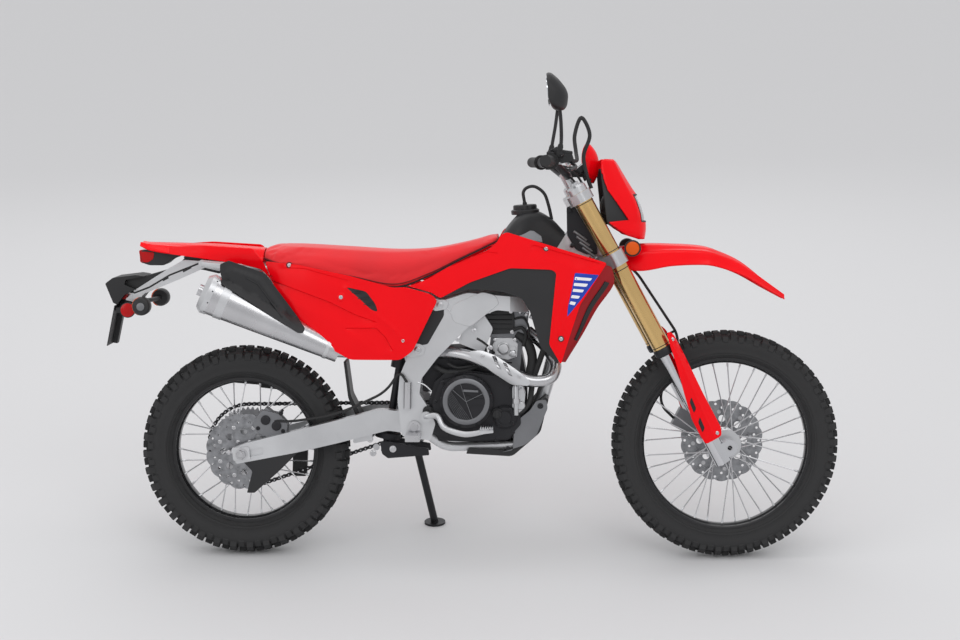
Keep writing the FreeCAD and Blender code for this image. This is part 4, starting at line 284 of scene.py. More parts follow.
def build_materials(tint):
    """Every finish of the motorcycle, by the name that the pieces use."""
    finish("red_gloss", tint.red, 0.22, spread=0.03, coat=0.08, specular=0.12, grain=0.00003, grain_scale=260)
    finish("red_seat", tint.seat, 0.62, spread=0.06, grain=0.0004, grain_scale=620, pebble=0.8, sheen=0.2,
           specular=0.2)
    finish("black_plastic", tint.black, 0.5, spread=0.15, grain=0.0002, grain_scale=900)
    finish("grip_rubber", tint.rubber, 0.7, spread=0.15, grain=0.0002, grain_scale=700)
    finish("tyre_rubber", tint.rubber, 0.72, spread=0.25, patches=30.0, grain=0.0005, grain_scale=420,
           pebble=0.2)
    finish("rim_black", tone(24, 24, 26), 0.28, metal=0.3, coat=0.3, grain=0.00005, grain_scale=500)
    finish("frame_silver", tint.silver, 0.36, metal=0.75, spread=0.05, grain=0.00012, grain_scale=800)
    finish("cast_alloy", tint.silver, 0.33, metal=0.85, spread=0.08, grain=0.0002, grain_scale=420)
    finish("grey_cast", tone(128, 129, 132), 0.42, metal=0.8, spread=0.15, grain=0.0005, grain_scale=380)
    finish("dark_alloy", tone(44, 44, 47), 0.42, metal=0.55, spread=0.18, grain=0.0003, grain_scale=500)
    finish("steel", tone(204, 204, 206), 0.28, metal=1.0, spread=0.08, lines=(40.0, 900.0, 900.0))
    finish("disc_steel", tone(150, 151, 154), 0.3, metal=1.0, spread=0.25, patches=60.0,
           lines=(300.0, 40.0, 300.0))
    finish("chrome", tone(216, 217, 220), 0.1, metal=1.0, spread=0.03, lines=(900.0, 900.0, 30.0))
    finish("gold_tube", tint.gold, 0.2, metal=0.95, spread=0.05, coat=0.3)
    # Darker red for the shroud's return; the darkness is painted shade on a face turned down and forward
    finish("red_painted_shade", tone(150, 14, 22), 0.5, spread=0.08, specular=0.3, grain=0.0001)
    finish("decal_blue", tone(24, 60, 170), 0.3, spread=0.03, coat=0.2, specular=0.3, patches=12.0)
    finish("decal_white", tone(232, 232, 234), 0.32, spread=0.02, specular=0.3, patches=12.0)
    finish("mirror_glass", tone(225, 228, 232), 0.03, metal=1.0, spread=0.02)
    finish("seam_thread", tone(120, 16, 22), 0.7, spread=0.1, grain=0.0002, grain_scale=1500)
    lens_finish("lamp_clear", tone(225, 228, 230), 0.06, 0.6)
    lens_finish("lamp_red", tone(176, 4, 8), 0.14, 0.0)
    lens_finish("lamp_amber", tone(214, 84, 0), 0.2, 0.0)


def link(item):
    """Put an object into the scene."""
    bpy.context.scene.collection.objects.link(item)


OWN_FINISH = {"front_disc": "disc_steel", "rear_disc": "disc_steel"}


def dress_solids():
    """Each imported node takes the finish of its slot."""
    for part in frame["record"]["subparts"]:
        node = bpy.data.objects[part["node"]]
        material = MATERIALS[OWN_FINISH.get(part["node"], part["material_slot"])]
        if not node.material_slots:
            node.data.materials.append(material)
        for place in node.material_slots:
            place.material = material


class MOTO_OT_finishes(bpy.types.Operator):
    """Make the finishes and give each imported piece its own"""

    bl_idname = "moto.finishes"
    bl_label = "Finishes"

    def execute(self, context):
        build_materials(context.scene.moto_finish)
        dress_solids()
        return {"FINISHED"}


# Shapes, drafted in millimetres
SIDES = ((-1, "right"), (1, "left"))


class Draft:
    """Points and faces gathered in millimetres before they become one piece."""

    def __init__(self):
        self.points = []
        self.faces = []

    def add(self, points, faces):
        """Take in points, and faces that count from the first of them."""
        start = len(self.points)
        self.points += [Vector(point) for point in points]
        self.faces += [[start + index for index in face] for face in faces]

    def loft(self, rings, closed=False):
        """Skin over rings that have equally many points, with its ends shut."""
        count = len(rings[0])
        faces = []
        for span in range(len(rings) if closed else len(rings) - 1):
            here, there = span * count, (span + 1) % len(rings) * count
            for i in range(count):
                j = (i + 1) % count
                faces.append([here + i, here + j, there + j, there + i])
        if not closed:
            faces.append(list(range(count))[::-1])
            faces.append([(len(rings) - 1) * count + i for i in range(count)])
        self.add([point for ring in rings for point in ring], faces)

    def prism(self, outline, depth):
        """Flat outline carried straight along a depth."""
        outline = [Vector(point) for point in outline]
        self.loft([outline, [point + Vector(depth) for point in outline]])

    def plate(self, outline, y_low, y_high):
        """Side outline of x and z, carried across."""
        self.prism([(x, y_low, z) for x, z in outline], (0, y_high - y_low, 0))

    def side_plate(self, outline, radius, side, near, far):
        """Side outline with rounded corners, carried across one side between two distances out."""
        self.plate(round_corners(outline, radius), *sorted((side * near, side * far)))

    def block(self, low, high):
        """Square block between two corners."""
        (x0, y0, z0), (x1, y1, z1) = low, high
        self.prism([(x0, y0, z0), (x1, y0, z0), (x1, y1, z0), (x0, y1, z0)], (0, 0, z1 - z0))

    def tube(self, path, radius, sides, closed=False):
        """Round bar along a path, with one radius or one for each point."""
        path = [Vector(point) for point in path]
        radii = radius if hasattr(radius, "__len__") else [radius] * len(path)
        rings = []
        side = None
        for i, spot in enumerate(path):
            back = path[i - 1] if i or closed else spot
            on = path[(i + 1) % len(path)] if i < len(path) - 1 or closed else spot
            way = (on - back).normalized()
            side = way.orthogonal() if side is None else side - way * side.dot(way)
            side.normalize()
            rings.append(ring_about(spot, way, side, radii[i], sides))
        self.loft(rings, closed)

    def bend(self, points, steps, radius, sides):
        """Round bar along a smooth curve through a few points, with several steps on each run."""
        self.tube(smooth_path(points, steps), radius, sides)

    def lathe(self, profile, centre, axis, sides, closed=False):
        """Turned body; the profile gives radius and place along the axis."""
        axis = Vector(axis).normalized()
        side = axis.orthogonal().normalized()
        rings = [ring_about(Vector(centre) + axis * along, axis, side, max(radius, 0.02), sides)
                 for radius, along in profile]
        self.loft(rings, closed)

    def bolt(self, centre, way, radius, height):
        """Flanged bolt head with a socket, standing on a face."""
        r, h = radius, height
        self.lathe([(r * 1.35, 0), (r * 1.35, h * 0.22), (r, h * 0.34), (r, h * 0.9), (r * 0.86, h),
                    (r * 0.5, h), (r * 0.48, h * 0.5)], centre, way, 12)


def drafts(count):
    """Several empty drafts."""
    return [Draft() for _ in range(count)]


def ring_about(spot, way, side, radius, sides):
    """Points of a circle round a spot, square to a direction."""
    up = way.cross(side)
    turns = [2 * math.pi * i / sides for i in range(sides)]
    return [spot + (side * math.cos(turn) + up * math.sin(turn)) * radius for turn in turns]


def on_circle(radius, turn, y=0.0):
    """Point of a circle round the Y axis."""
    return Vector((math.cos(turn) * radius, y, math.sin(turn) * radius))


def smooth_path(points, steps, closed=False):
    """Curve through the points, with several steps on each run."""
    points = [Vector(point) for point in points]
    count = len(points)
    path = []
    for i in range(count if closed else count - 1):
        p0 = points[i - 1] if i or closed else points[i]
        p1, p2 = points[i], points[(i + 1) % count]
        p3 = points[(i + 2) % count] if i + 2 < count or closed else p2
        for step in range(steps):
            t = step / steps
            path.append(0.5 * ((2 * p1) + (p2 - p0) * t + (2 * p0 - 5 * p1 + 4 * p2 - p3) * t ** 2
                               + (3 * p1 - p0 - 3 * p2 + p3) * t ** 3))
    if not closed:
        path.append(points[-1])
    return path


def table_at(table, x):
    """Smooth value of a table of x and values."""
    if x <= table[0][0]:
        return table[0][1]
    for i in range(len(table) - 1):
        (x1, v1), (x2, v2) = table[i], table[i + 1]
        if x <= x2:
            x0, v0 = table[max(i - 1, 0)]
            x3, v3 = table[min(i + 2, len(table) - 1)]
            t = (x - x1) / (x2 - x1)
            out = (v2 - v0) / (x2 - x0) * (x2 - x1)
            into = (v3 - v1) / (x3 - x1) * (x2 - x1)
            return ((2 * t ** 3 - 3 * t ** 2 + 1) * v1 + (t ** 3 - 2 * t ** 2 + t) * out
                    + (3 * t ** 2 - 2 * t ** 3) * v2 + (t ** 3 - t ** 2) * into)
    return table[-1][1]


def row_at(rows, x):
    """Smooth values of the other columns of a table's rows, where the first column has a value."""
    return [table_at([(row[0], row[k]) for row in rows], x) for k in range(1, len(rows[0]))]


def piece(name, draft, place, material, bevel=0.0, steps=2, angle=38.0, stands_for=()):
    """Scene object from a draft, in its place and on its body, with softened edges."""
    body, matrix = PLACES[place]
    shape = bmesh.new()
    verts = [shape.verts.new(matrix @ point) for point in draft.points]
    for face in draft.faces:
        shape.faces.new([verts[index] for index in face])
    bmesh.ops.recalc_face_normals(shape, faces=shape.faces)
    mesh = bpy.data.meshes.new(name)
    shape.to_mesh(mesh)
    shape.free()
    mesh.materials.append(MATERIALS[material])
    mesh.polygons.foreach_set("use_smooth", [True] * len(mesh.polygons))
    mesh.set_sharp_from_angle(angle=math.radians(angle))
    item = bpy.data.objects.new(name, mesh)
    link(item)
    if bevel:
        soften = item.modifiers.new("Soft edges", "BEVEL")
        soften.width = bevel / 1000
        soften.segments = steps
        soften.limit_method = "ANGLE"
        soften.angle_limit = math.radians(angle)
        soften.harden_normals = True
    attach(item, body)
    if stands_for:
        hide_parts(*stands_for)
    return item


# Wheels
class WheelSettings(bpy.types.PropertyGroup):
    knob_gap: FloatProperty(name="Knob gap",
                            description="Share of a tread pitch that stays open between knobs", default=0.15,
                            min=0.05, max=0.6)
    nipple: length_prop("Nipple radius", "Radius of the spoke nipples", 0.0032)


CARCASS = ((0.0, 0.59), (0.05, 0.67), (0.11, 0.755), (0.125, 0.785), (0.14, 0.765), (0.19, 0.81),
           (0.205, 0.835), (0.22, 0.815), (0.38, 0.90), (0.50, 0.935), (0.62, 0.93), (0.70, 0.87),
           (0.77, 0.74), (0.82, 0.58), (0.85, 0.38), (0.86, 0.18))
MIDDLE_KNOB = ((0.84, 0.34), (1.0, 0.34), (0.84, 0.04), (1.0, 0.05))
INNER_KNOB = ((0.80, 0.66), (0.965, 0.68), (0.84, 0.37), (0.99, 0.39))
SHOULDER_KNOB = ((0.62, 0.93), (0.80, 1.0), (0.78, 0.70), (0.945, 0.73))
SIDE_KNOB = ((0.56, 0.93), (0.62, 0.99), (0.74, 0.80), (0.81, 0.86))
KNOB_TIP = 0.9
BEAD_GAP = 0.5
# Body, outer radius, half width, radius of the bead, and tread pitches
TREADS = {"rear_tyre": ("rear_wheel", 327.0, 56.0, 229.0, 36),
          "front_tyre": ("front_wheel", 354.0, 44.0, 268.0, 42)}


def knob(draft, spot, corners, angle, half_turn):
    """One tread knob; its corners are base and tip of the outer edge, then of the inner edge."""
    points = []
    for base, tip in (corners[:2], corners[2:]):
        points += [spot(base, angle - half_turn), spot(base, angle + half_turn)]
        points += [spot(tip, angle - half_turn * KNOB_TIP), spot(tip, angle + half_turn * KNOB_TIP)]
    draft.add(points, [(0, 1, 3, 2), (4, 6, 7, 5), (0, 2, 6, 4), (1, 5, 7, 3), (2, 3, 7, 6), (0, 4, 5, 1)])


def build_tyre(name, wheel):
    """Carcass with fine rings beside the rim, and the knobs of the tread in their rows."""
    body, radius, half, bead, pitches = TREADS[name]
    tall = radius - bead - BEAD_GAP

    def spot(pair, angle):
        return on_circle(bead + pair[0] * tall, angle, pair[1] * half)

    carcass, knobs = drafts(2)
    side = [(bead + up * tall, across * half) for up, across in CARCASS]
    carcass.lathe(side + [(reach, -across) for reach, across in reversed(side)], (0, 0, 0), (0, 1, 0),
                  pitches * 4, closed=True)
    piece(name + "_carcass", carcass, body, "tyre_rubber", angle=60.0, stands_for=(name,))
    step = math.pi / pitches
    half_turn = step / 2 * (1 - wheel.knob_gap)
    for sector in range(pitches * 2):
        angle = (sector + 0.5) * step - math.pi / 2
        rows = (MIDDLE_KNOB, SIDE_KNOB) if sector % 2 else (INNER_KNOB, SHOULDER_KNOB)
        for corners in rows:
            for hand in (-1, 1):
                knob(knobs, spot, [(up, across * hand) for up, across in corners], angle, half_turn)
    piece(name + "_knobs", knobs, body, "tyre_rubber", bevel=1.6, steps=1, stands_for=(name,))


# Body, radius of the bead and half width
RIMS = {"rear_rim": ("rear_wheel", 229.0, 33.0), "front_rim": ("front_wheel", 268.0, 26.0)}


def build_rim(name):
    """Anodised rim: side walls with a step, and the deeper well between them."""
    body, bead, half = RIMS[name]
    edge = [(bead + 2.0, half + 0.5), (bead + 2.0, half - 2.5), (bead - 5.0, half - 4.5),
            (bead - 6.5, half * 0.55), (bead - 13.0, half * 0.36)]
    well = [(bead - 16.0, half * 0.30), (bead - 15.0, half * 0.52), (bead - 10.0, half * 0.70),
            (bead - 8.5, half - 2.0), (bead - 3.0, half)]
    ring = Draft()
    outer = edge + [(r, -y) for r, y in reversed(edge)]
    inner = [(r, -y) for r, y in reversed(well)] + well
    ring.lathe(outer + inner, (0, 0, 0), (0, 1, 0), 120, closed=True)
    piece(name + "_extrusion", ring, body, "rim_black", angle=30.0, stands_for=(name,))


# Body, number of spokes, radius and half width at the hub, and radius at the rim
SPOKES = {"rear": ("rear_wheel", 32, 58.0, 33.0, 214.0), "front": ("front_wheel", 36, 40.0, 30.0, 253.0)}
SPOKE_R = 2.0
CROSSED = 3.0


def spoke_ends(count, flange_r, flange_y, rim_r):
    """Foot and tip of every spoke, crossed three deep."""
    step = 2 * math.pi / count
    for i in range(count):
        side = 1 if i % 2 else -1
        low = i * step + CROSSED * step * (1 if i % 4 < 2 else -1)
        foot_y = side * (flange_y - 3.0)
        yield on_circle(flange_r, low, foot_y), on_circle(rim_r, i * step, foot_y * 0.35), side


def build_spokes(end, wheel):
    """Thin spokes with their bent heads at the hub and nipples at the rim."""
    body, count, flange_r, flange_y, rim_r = SPOKES[end]
    wires, nipples = drafts(2)
    radius = wheel.nipple * 1000
    for foot, tip, side in spoke_ends(count, flange_r, flange_y, rim_r):
        way = (tip - foot).normalized()
        head = foot + Vector((0, side * 4.5, 0))
        wires.tube([head, foot + way * 2.5, tip], SPOKE_R, 8)
        wires.lathe([(3.0, 0), (3.0, 1.5), (1.5, 2.5)], head, (0, side, 0), 8)
        nipples.tube([tip - way * 13, tip - way * 11.5, tip + way], [2.4, radius, radius], 8)
    piece(end + "_wires", wires, body, "steel", stands_for=(end + "_spokes",))
    piece(end + "_nipples", nipples, body, "cast_alloy")


def build_disc_trim(name, body, y, side, radius, bolt_ring):
    """Rivets between the disc's carrier and band, and the bolts that hold it on the hub."""
    rivets = Draft()
    for i in range(8):
        centre = on_circle(radius, 2 * math.pi * (i + 0.5) / 8, y)
        rivets.lathe([(6.5, -3.2), (6.5, 3.2), (4.0, 4.0), (3.2, 2.6)], centre, (0, side, 0), 14)
    for i in range(6):
        rivets.bolt(on_circle(bolt_ring, 2 * math.pi * i / 6, y + side * 2.0), (0, side, 0), 4.0, 3.6)
    piece(name, rivets, body, "steel")


LINKS = 108
CHAIN_Y = 69.0
CHAIN_BIG_R = 131.0
CHAIN_SMALL_R = 33.0
DRIVE_SPOT = Vector((604.5, 0, 435.0))
LINK_RISE = 6.6
LINK_WAIST = 0.62
LINK_PLATE = 1.6


def chain_path(count):
    """Evenly spaced pins round both sprockets."""
    rear = Vector((0, 0, REAR_TYRE_R))
    gap = DRIVE_SPOT - rear
    slope = math.atan2(gap.z, gap.x)
    lean = math.acos((CHAIN_BIG_R - CHAIN_SMALL_R) / gap.length)
    run = math.sqrt(gap.length ** 2 - (CHAIN_BIG_R - CHAIN_SMALL_R) ** 2)
    big_arc = (2 * math.pi - 2 * lean) * CHAIN_BIG_R
    small_arc = 2 * lean * CHAIN_SMALL_R

    def on_rear(angle):
        return rear + Vector((math.cos(angle), 0, math.sin(angle))) * CHAIN_BIG_R

    def on_drive(angle):
        return DRIVE_SPOT + Vector((math.cos(angle), 0, math.sin(angle))) * CHAIN_SMALL_R

    whole = 2 * run + big_arc + small_arc
    for i in range(count):
        place = whole * i / count
        if place < run:
            yield on_rear(slope + lean).lerp(on_drive(slope + lean), place / run)
        elif place < run + small_arc:
            yield on_drive(slope + lean - (place - run) / CHAIN_SMALL_R)
        elif place < 2 * run + small_arc:
            yield on_drive(slope - lean).lerp(on_rear(slope - lean), (place - run - small_arc) / run)
        else:
            yield on_rear(slope - lean - (place - 2 * run - small_arc) / CHAIN_BIG_R)


def link_plate(draft, start, end, y):
    """Figure-of-eight side plate between two pins."""
    along = (end - start).normalized()
    out = along.cross(Vector((0, 1, 0)))
    outline = []
    for centre, way in ((start, -1), (end, 1)):
        for turn in (-70, -25, 25, 70):
            angle = math.radians(turn)
            outline.append(centre + along * way * LINK_RISE * math.cos(angle)
                           + out * way * LINK_RISE * math.sin(angle))
        outline.append((start + end) / 2 + out * way * LINK_RISE * LINK_WAIST)
    draft.prism([point + Vector((0, y - LINK_PLATE / 2, 0)) for point in outline], (0, LINK_PLATE, 0))


def build_chain():
    """Links of the drive chain: plates by turns outside and inside, on rollers."""
    pins = list(chain_path(LINKS))
    plates, rollers = drafts(2)
    for i, start in enumerate(pins):
        reach = 5.6 if i % 2 else 3.8
        for side in (-1, 1):
            link_plate(plates, start, pins[(i + 1) % LINKS], CHAIN_Y + side * reach)
        for radius, half in ((4.6, 3.6), (2.4, 7.2)):
            rollers.lathe([(radius, -half), (radius, half)], start + Vector((0, CHAIN_Y, 0)), (0, 1, 0), 8)
    piece("chain_plates", plates, "chassis", "dark_alloy", stands_for=("chain",))
    piece("chain_rollers", rollers, "chassis", "steel", stands_for=("chain",))


class MOTO_OT_tyres(bpy.types.Operator):
    """Make the knobby tyres of both wheels"""

    bl_idname = "moto.tyres"
    bl_label = "Tyres"

    def execute(self, context):
        for name in TREADS:
            build_tyre(name, context.scene.moto_wheel)
        return {"FINISHED"}


class MOTO_OT_wheels(bpy.types.Operator):
    """Make the rims, the spokes with their nipples and the trim of the discs"""

    bl_idname = "moto.wheels"
    bl_label = "Rims and spokes"

    def execute(self, context):
        for name in RIMS:
            build_rim(name)
        for end in SPOKES:
            build_spokes(end, context.scene.moto_wheel)
        build_disc_trim("rear_disc_trim", "rear_wheel", -62.0, -1, 81.0, 36.0)
        build_disc_trim("front_disc_trim", "front_wheel", 60.0, 1, 91.0, 36.0)
        return {"FINISHED"}


class MOTO_OT_chain(bpy.types.Operator):
    """Make the links of the drive chain"""

    bl_idname = "moto.chain"
    bl_label = "Chain"

    def execute(self, context):
        build_chain()
        return {"FINISHED"}


# Thin bodywork
def round_corners(outline, radius, steps=4):
    """Closed outline whose corners are rounded."""
    points = [Vector(point) for point in outline]
    result = []
    for i, corner in enumerate(points):
        back, on = points[i - 1] - corner, points[(i + 1) % len(points)] - corner
        reach = min(radius, back.length * 0.45, on.length * 0.45)
        start, end = corner + back.normalized() * reach, corner + on.normalized() * reach
        for step in range(steps + 1):
            t = step / steps
            result.append((1 - t) ** 2 * start + 2 * t * (1 - t) * corner + t ** 2 * end)
    return result


def divided(points, step, closed=True):
    """Points along an outline, none further apart than the step."""
    result = []
    count = len(points)
    for i in range(count if closed else count - 1):
        here, there = Vector(points[i]), Vector(points[(i + 1) % count])
        parts = max(1, math.ceil((there - here).length / step))
        result += [here.lerp(there, k / parts) for k in range(parts)]
    if not closed:
        result.append(Vector(points[-1]))
    return result


def inside(point, outline):
    """Whether a point lies within an outline."""
    x, z = point
    within = False
    for i, (x1, z1) in enumerate(outline):
        x0, z0 = outline[i - 1]
        if (z0 > z) != (z1 > z) and x < (x1 - x0) * (z - z0) / (z1 - z0) + x0:
            within = not within
    return within


def edge_gap(point, outline, closed=True):
    """Distance from a point to the nearest run of an outline."""
    best = 1e9
    spot = Vector(point)
    for i in range(0 if closed else 1, len(outline)):
        start, end = Vector(outline[i - 1]), Vector(outline[i])
        run = end - start
        share = min(max((spot - start).dot(run) / max(run.length_squared, 1e-9), 0.0), 1.0)
        best = min(best, (start + run * share - spot).length)
    return best


def ease(value):
    """Soft step from 0 to 1."""
    value = min(max(value, 0.0), 1.0)
    return value * value * (3 - 2 * value)


def facet(point, outline, height, soft):
    """Height of a raised or sunken field with a soft edge."""
    if not inside(point, outline):
        return 0.0
    return height * ease(edge_gap(point, outline) / soft)


def ridge(point, line, height, wide):
    """Height of a ridge or of a groove along a line."""
    return height * (1 - ease(edge_gap(point, line, closed=False) / wide))


def beside(line, gap):
    """Copy of a line that runs along its left."""
    points = [Vector(point) for point in line]
    copy = []
    for i, point in enumerate(points):
        way = (points[min(i + 1, len(points) - 1)] - points[max(i - 1, 0)]).normalized()
        copy.append(point + Vector((-way.y, way.x)) * gap)
    return copy


def creases(edges, folds, wide=10.0):
    """Lines that a sheet needs along its steps and its folds."""
    lines = []
    for edge in edges:
        lines += [beside(edge, 0.3), beside(edge, -1.9)]
    for fold in folds:
        lines += [fold, beside(fold, wide), beside(fold, -wide)]
    return lines


ROW_STEP = 0.866
RIM_GAP = 1.2


def skin(draft, outline, y_at, thick, step, lines=(), holes=()):
    """Curved sheet whose outer face stands at y_at over an outline of x and z; it thickens inwards."""
    rim = divided(outline, step)
    loops = [rim] + [divided(hole, step) for hole in holes]
    points, edges = [], []
    for loop in loops:
        start = len(points)
        points += loop
        edges += [(start + i, start + (i + 1) % len(loop)) for i in range(len(loop))]
    for line in lines:
        before = False
        for spot in divided(line, step, closed=False):
            within = inside(spot, rim) and all(edge_gap(spot, loop) > RIM_GAP for loop in loops)
            if within:
                points.append(spot)
                if before:
                    edges.append((len(points) - 2, len(points) - 1))
            before = within
    xs, zs = [p.x for p in rim], [p.y for p in rim]
    columns_x = int((max(xs) - min(xs)) / step) + 1
    rows_z = int((max(zs) - min(zs)) / (step * ROW_STEP)) + 1
    for row in range(rows_z):
        for column in range(columns_x + 1):
            spot = (min(xs) + (column + 0.5 * (row % 2)) * step, min(zs) + row * step * ROW_STEP)
            if inside(spot, rim) and all(edge_gap(spot, loop) > step * 0.55 for loop in loops) and all(
                    edge_gap(spot, line, closed=False) > step * 0.45 for line in lines):
                points.append(Vector(spot))
    flat, _, faces, *_ = delaunay_2d_cdt(points, edges, [], 1, 1e-4)
    faces = [face for face in faces if all(
        not inside(sum((flat[i] for i in face), Vector((0, 0))) / len(face), hole) for hole in holes)]
    used = sorted({index for face in faces for index in face})
    spots = {index: place for place, index in enumerate(used)}
    outer = [Vector((flat[i].x, y_at(flat[i].x, flat[i].y), flat[i].y)) for i in used]
    sign = 1 if outer[0].y > 0 else -1
    count = len(used)
    inner = [point - Vector((0, sign * thick, 0)) for point in outer]
    sheets = [[spots[i] for i in face] for face in faces]
    seen = dict.fromkeys((here, face[(i + 1) % len(face)]) for face in sheets for i, here in enumerate(face))
    walls = [[there, here, here + count, there + count] for here, there in seen if (there, here) not in seen]
    draft.add(outer + inner, sheets + [[i + count for i in face[::-1]] for face in sheets] + walls)


MIDDLE_Z, MIDDLE_REACH = 817.5, 232.5


def span_y(plan, tuck, side):
    """Side surface of the bodywork: wide in plan, and tucked in above and below the middle."""
    def y_at(x, z):
        share = (z - MIDDLE_Z) / MIDDLE_REACH
        return side * (table_at(plan, x) - tuck[share > 0] * share ** 2)
    return y_at


# Bodywork; its outlines are side views, ahead and up
class BodySettings(bpy.types.PropertyGroup):
    crease: length_prop("Crease", "Depth of the creases in the side bodywork", 0.0035)
    sheet: length_prop("Sheet", "Thickness of the moulded sheets", 0.004)
    grid: length_prop("Grid", "Spacing of the points over a moulded sheet", 0.008)


PANEL = ((78, 927), (187, 918), (342, 888), (477, 851), (514, 853), (592, 831), (612, 812), (536, 656),
         (498, 629), (345, 630), (212, 701), (102, 860))
PANEL_PLAN = ((60, 105), (150, 135), (345, 168), (495, 162), (630, 147))
PANEL_TUCK = (3, 16)
PANEL_CREASE = ((78, 903), (105, 868), (193, 838), (285, 806), (361, 770), (430, 745), (470, 722), (500, 640))
PANEL_FIELD = ((78, 899), (105, 868), (193, 838), (285, 806), (361, 770), (430, 745), (400, 730), (318, 738),
               (210, 782), (110, 846))
PANEL_LOW = ((330, 728), (426, 728), (454, 700), (478, 655), (436, 652), (376, 688))
PANEL_LOW_EDGE = ((330, 728), (426, 728), (456, 700), (480, 652))
PANEL_HIGH = ((120, 910), (205, 908), (345, 872), (352, 848), (320, 846), (230, 872))
PANEL_HIGH_EDGE = ((110, 914), (205, 909), (350, 872))
PANEL_FOLD = ((334, 853), (376, 816), (428, 765), (474, 728), (512, 690))
VENT = ((334, 853), (395, 840), (424, 801), (431, 777), (412, 783), (376, 817))
POD = (318, 822)
PANEL_BOLTS = ((157, 917), POD, (507, 689))
PANEL_FACETS = ((PANEL_FIELD, PANEL_CREASE, 2.0), (PANEL_LOW, PANEL_LOW_EDGE, 1.7),
                (PANEL_HIGH, PANEL_HIGH_EDGE, 0.8))
SHROUD = ((804, 1011), (822, 1021), (924, 991), (1127, 931), (1094, 879), (1046, 803), (1022, 728),
          (989, 620), (953, 681), (974, 900), (960, 909), (834, 912), (712, 868), (620, 818), (595, 835),
          (518, 857), (534, 858), (582, 877), (648, 916), (765, 966), (792, 988))
SHROUD_PLAN = ((500, 160), (600, 151), (705, 159), (840, 168), (1020, 195), (1140, 204))
SHROUD_TUCK = (14, 18)
SHROUD_BAND = ((548, 862), (640, 912), (760, 962), (800, 958), (786, 930), (700, 886), (620, 846))
SHROUD_EDGE = ((560, 868), (652, 916), (762, 962), (800, 955))
SHROUD_WING = ((900, 985), (1110, 929), (1088, 893), (1046, 850), (1036, 912), (980, 930), (880, 950))
SHROUD_RIM = ((880, 984), (1000, 954), (1116, 922))
SHROUD_FOLD = ((1000, 640), (985, 720), (1000, 800), (1035, 880), (1100, 915))
SHROUD_BOLTS = ((943, 973), (989, 700))
SHROUD_FACETS = ((SHROUD_BAND, SHROUD_EDGE, 0.8), (SHROUD_WING, SHROUD_RIM, 1.5))
BLUE = ((1030, 901), (1103, 895), (1055, 828), (1007, 767), (1010, 801), (1021, 849))
BARS = (
    ((1031, 889), (1082, 885), (1076, 877), (1029, 880)),
    ((1028, 871), (1070, 868), (1064, 859), (1026, 862)),
    ((1025, 853), (1058, 850), (1053, 842), (1023, 844)),
    ((1021, 834), (1046, 831), (1041, 823), (1018, 825)),
    ((1017, 815), (1034, 812), (1029, 803), (1014, 806)),
)


def wedge(point, field, edge, depth):
    """Facet that sinks below its upper edge and comes back to the surface at its other sides."""
    if not inside(point, field):
        return 0.0
    far = edge_gap(point, edge, closed=False)
    near = edge_gap(point, field)
    rest = min(edge_gap(point, (field[i - 1], field[i]), closed=False) for i in range(len(field))
               if edge_gap(((field[i - 1][0] + field[i][0]) / 2, (field[i - 1][1] + field[i][1]) / 2), edge,
                           closed=False) > 7)
    return -depth * rest / max(rest + far, 1e-3) if near > 0.01 else 0.0


def creased(base, side, crease, facets, fold, height, wide):
    """Side surface with a fold and with facets, each with its field, upper edge and share of the crease."""
    def y_at(x, z):
        lift = sum(wedge((x, z), field, edge, crease * share) for field, edge, share in facets)
        return base(x, z) + side * (lift + ridge((x, z), fold, crease * height, wide))
    return y_at


def off_face(y_at, side, lift):
    """Surface that stands a little off another one."""
    return lambda x, z: y_at(x, z) + side * lift


def build_panel(side, word, body):
    """Side panel with its facets, vent, round boss and bolts."""
    base = span_y(PANEL_PLAN, PANEL_TUCK, side)
    y_at = creased(base, side, body.crease * 1000, PANEL_FACETS, PANEL_FOLD, 0.8, 10.0)
    panel, grille, fixings, seat = drafts(4)
    lines = creases((PANEL_FIELD[:6], PANEL_LOW[:4], PANEL_HIGH[:4]), (PANEL_FOLD,))
    skin(panel, round_corners(PANEL, 12), y_at, body.sheet * 1000, body.grid * 1000, lines,
         (round_corners(VENT, 9),))
    x, z = POD
    panel.lathe([(14, -7.0), (13.5, 0.6), (12, 1.6), (6, 1.6), (5.5, 0)], (x, base(x, z), z), (0, side, 0),
                32)
    piece("side_panel_" + word, panel, "chassis", "red_gloss", bevel=1.1, stands_for=("side_panels",))
    skin(grille, round_corners(VENT, 8), off_face(y_at, side, -2.4), 1.4, 8.0)
    for x, z in ((352, 836), (370, 818), (388, 800)):
        start = Vector((x, y_at(x, z) - side * 1.4, z))
        grille.tube([start, start + Vector((34, 0, 2)) * 0.9], 2.0, 8)
    piece("panel_vent_" + word, grille, "chassis", "black_plastic", stands_for=("side_panels",))
    for x, z in PANEL_BOLTS:
        lift = 1.4 if (x, z) == POD else -0.6
        fixings.bolt((x, base(x, z) + side * lift, z), (0, side, 0), 4.6, 3.6)
    piece("panel_bolts_" + word, fixings, "chassis", "steel")
    x, z = PANEL_BOLTS[0]
    seat.lathe([(9.5, -1.5), (9.5, 0.9), (7.5, 0.9), (7.0, -0.5)], (x, y_at(x, z), z), (0, side, 0), 24,
               closed=True)
    piece("panel_bolt_seats_" + word, seat, "chassis", "dark_alloy")


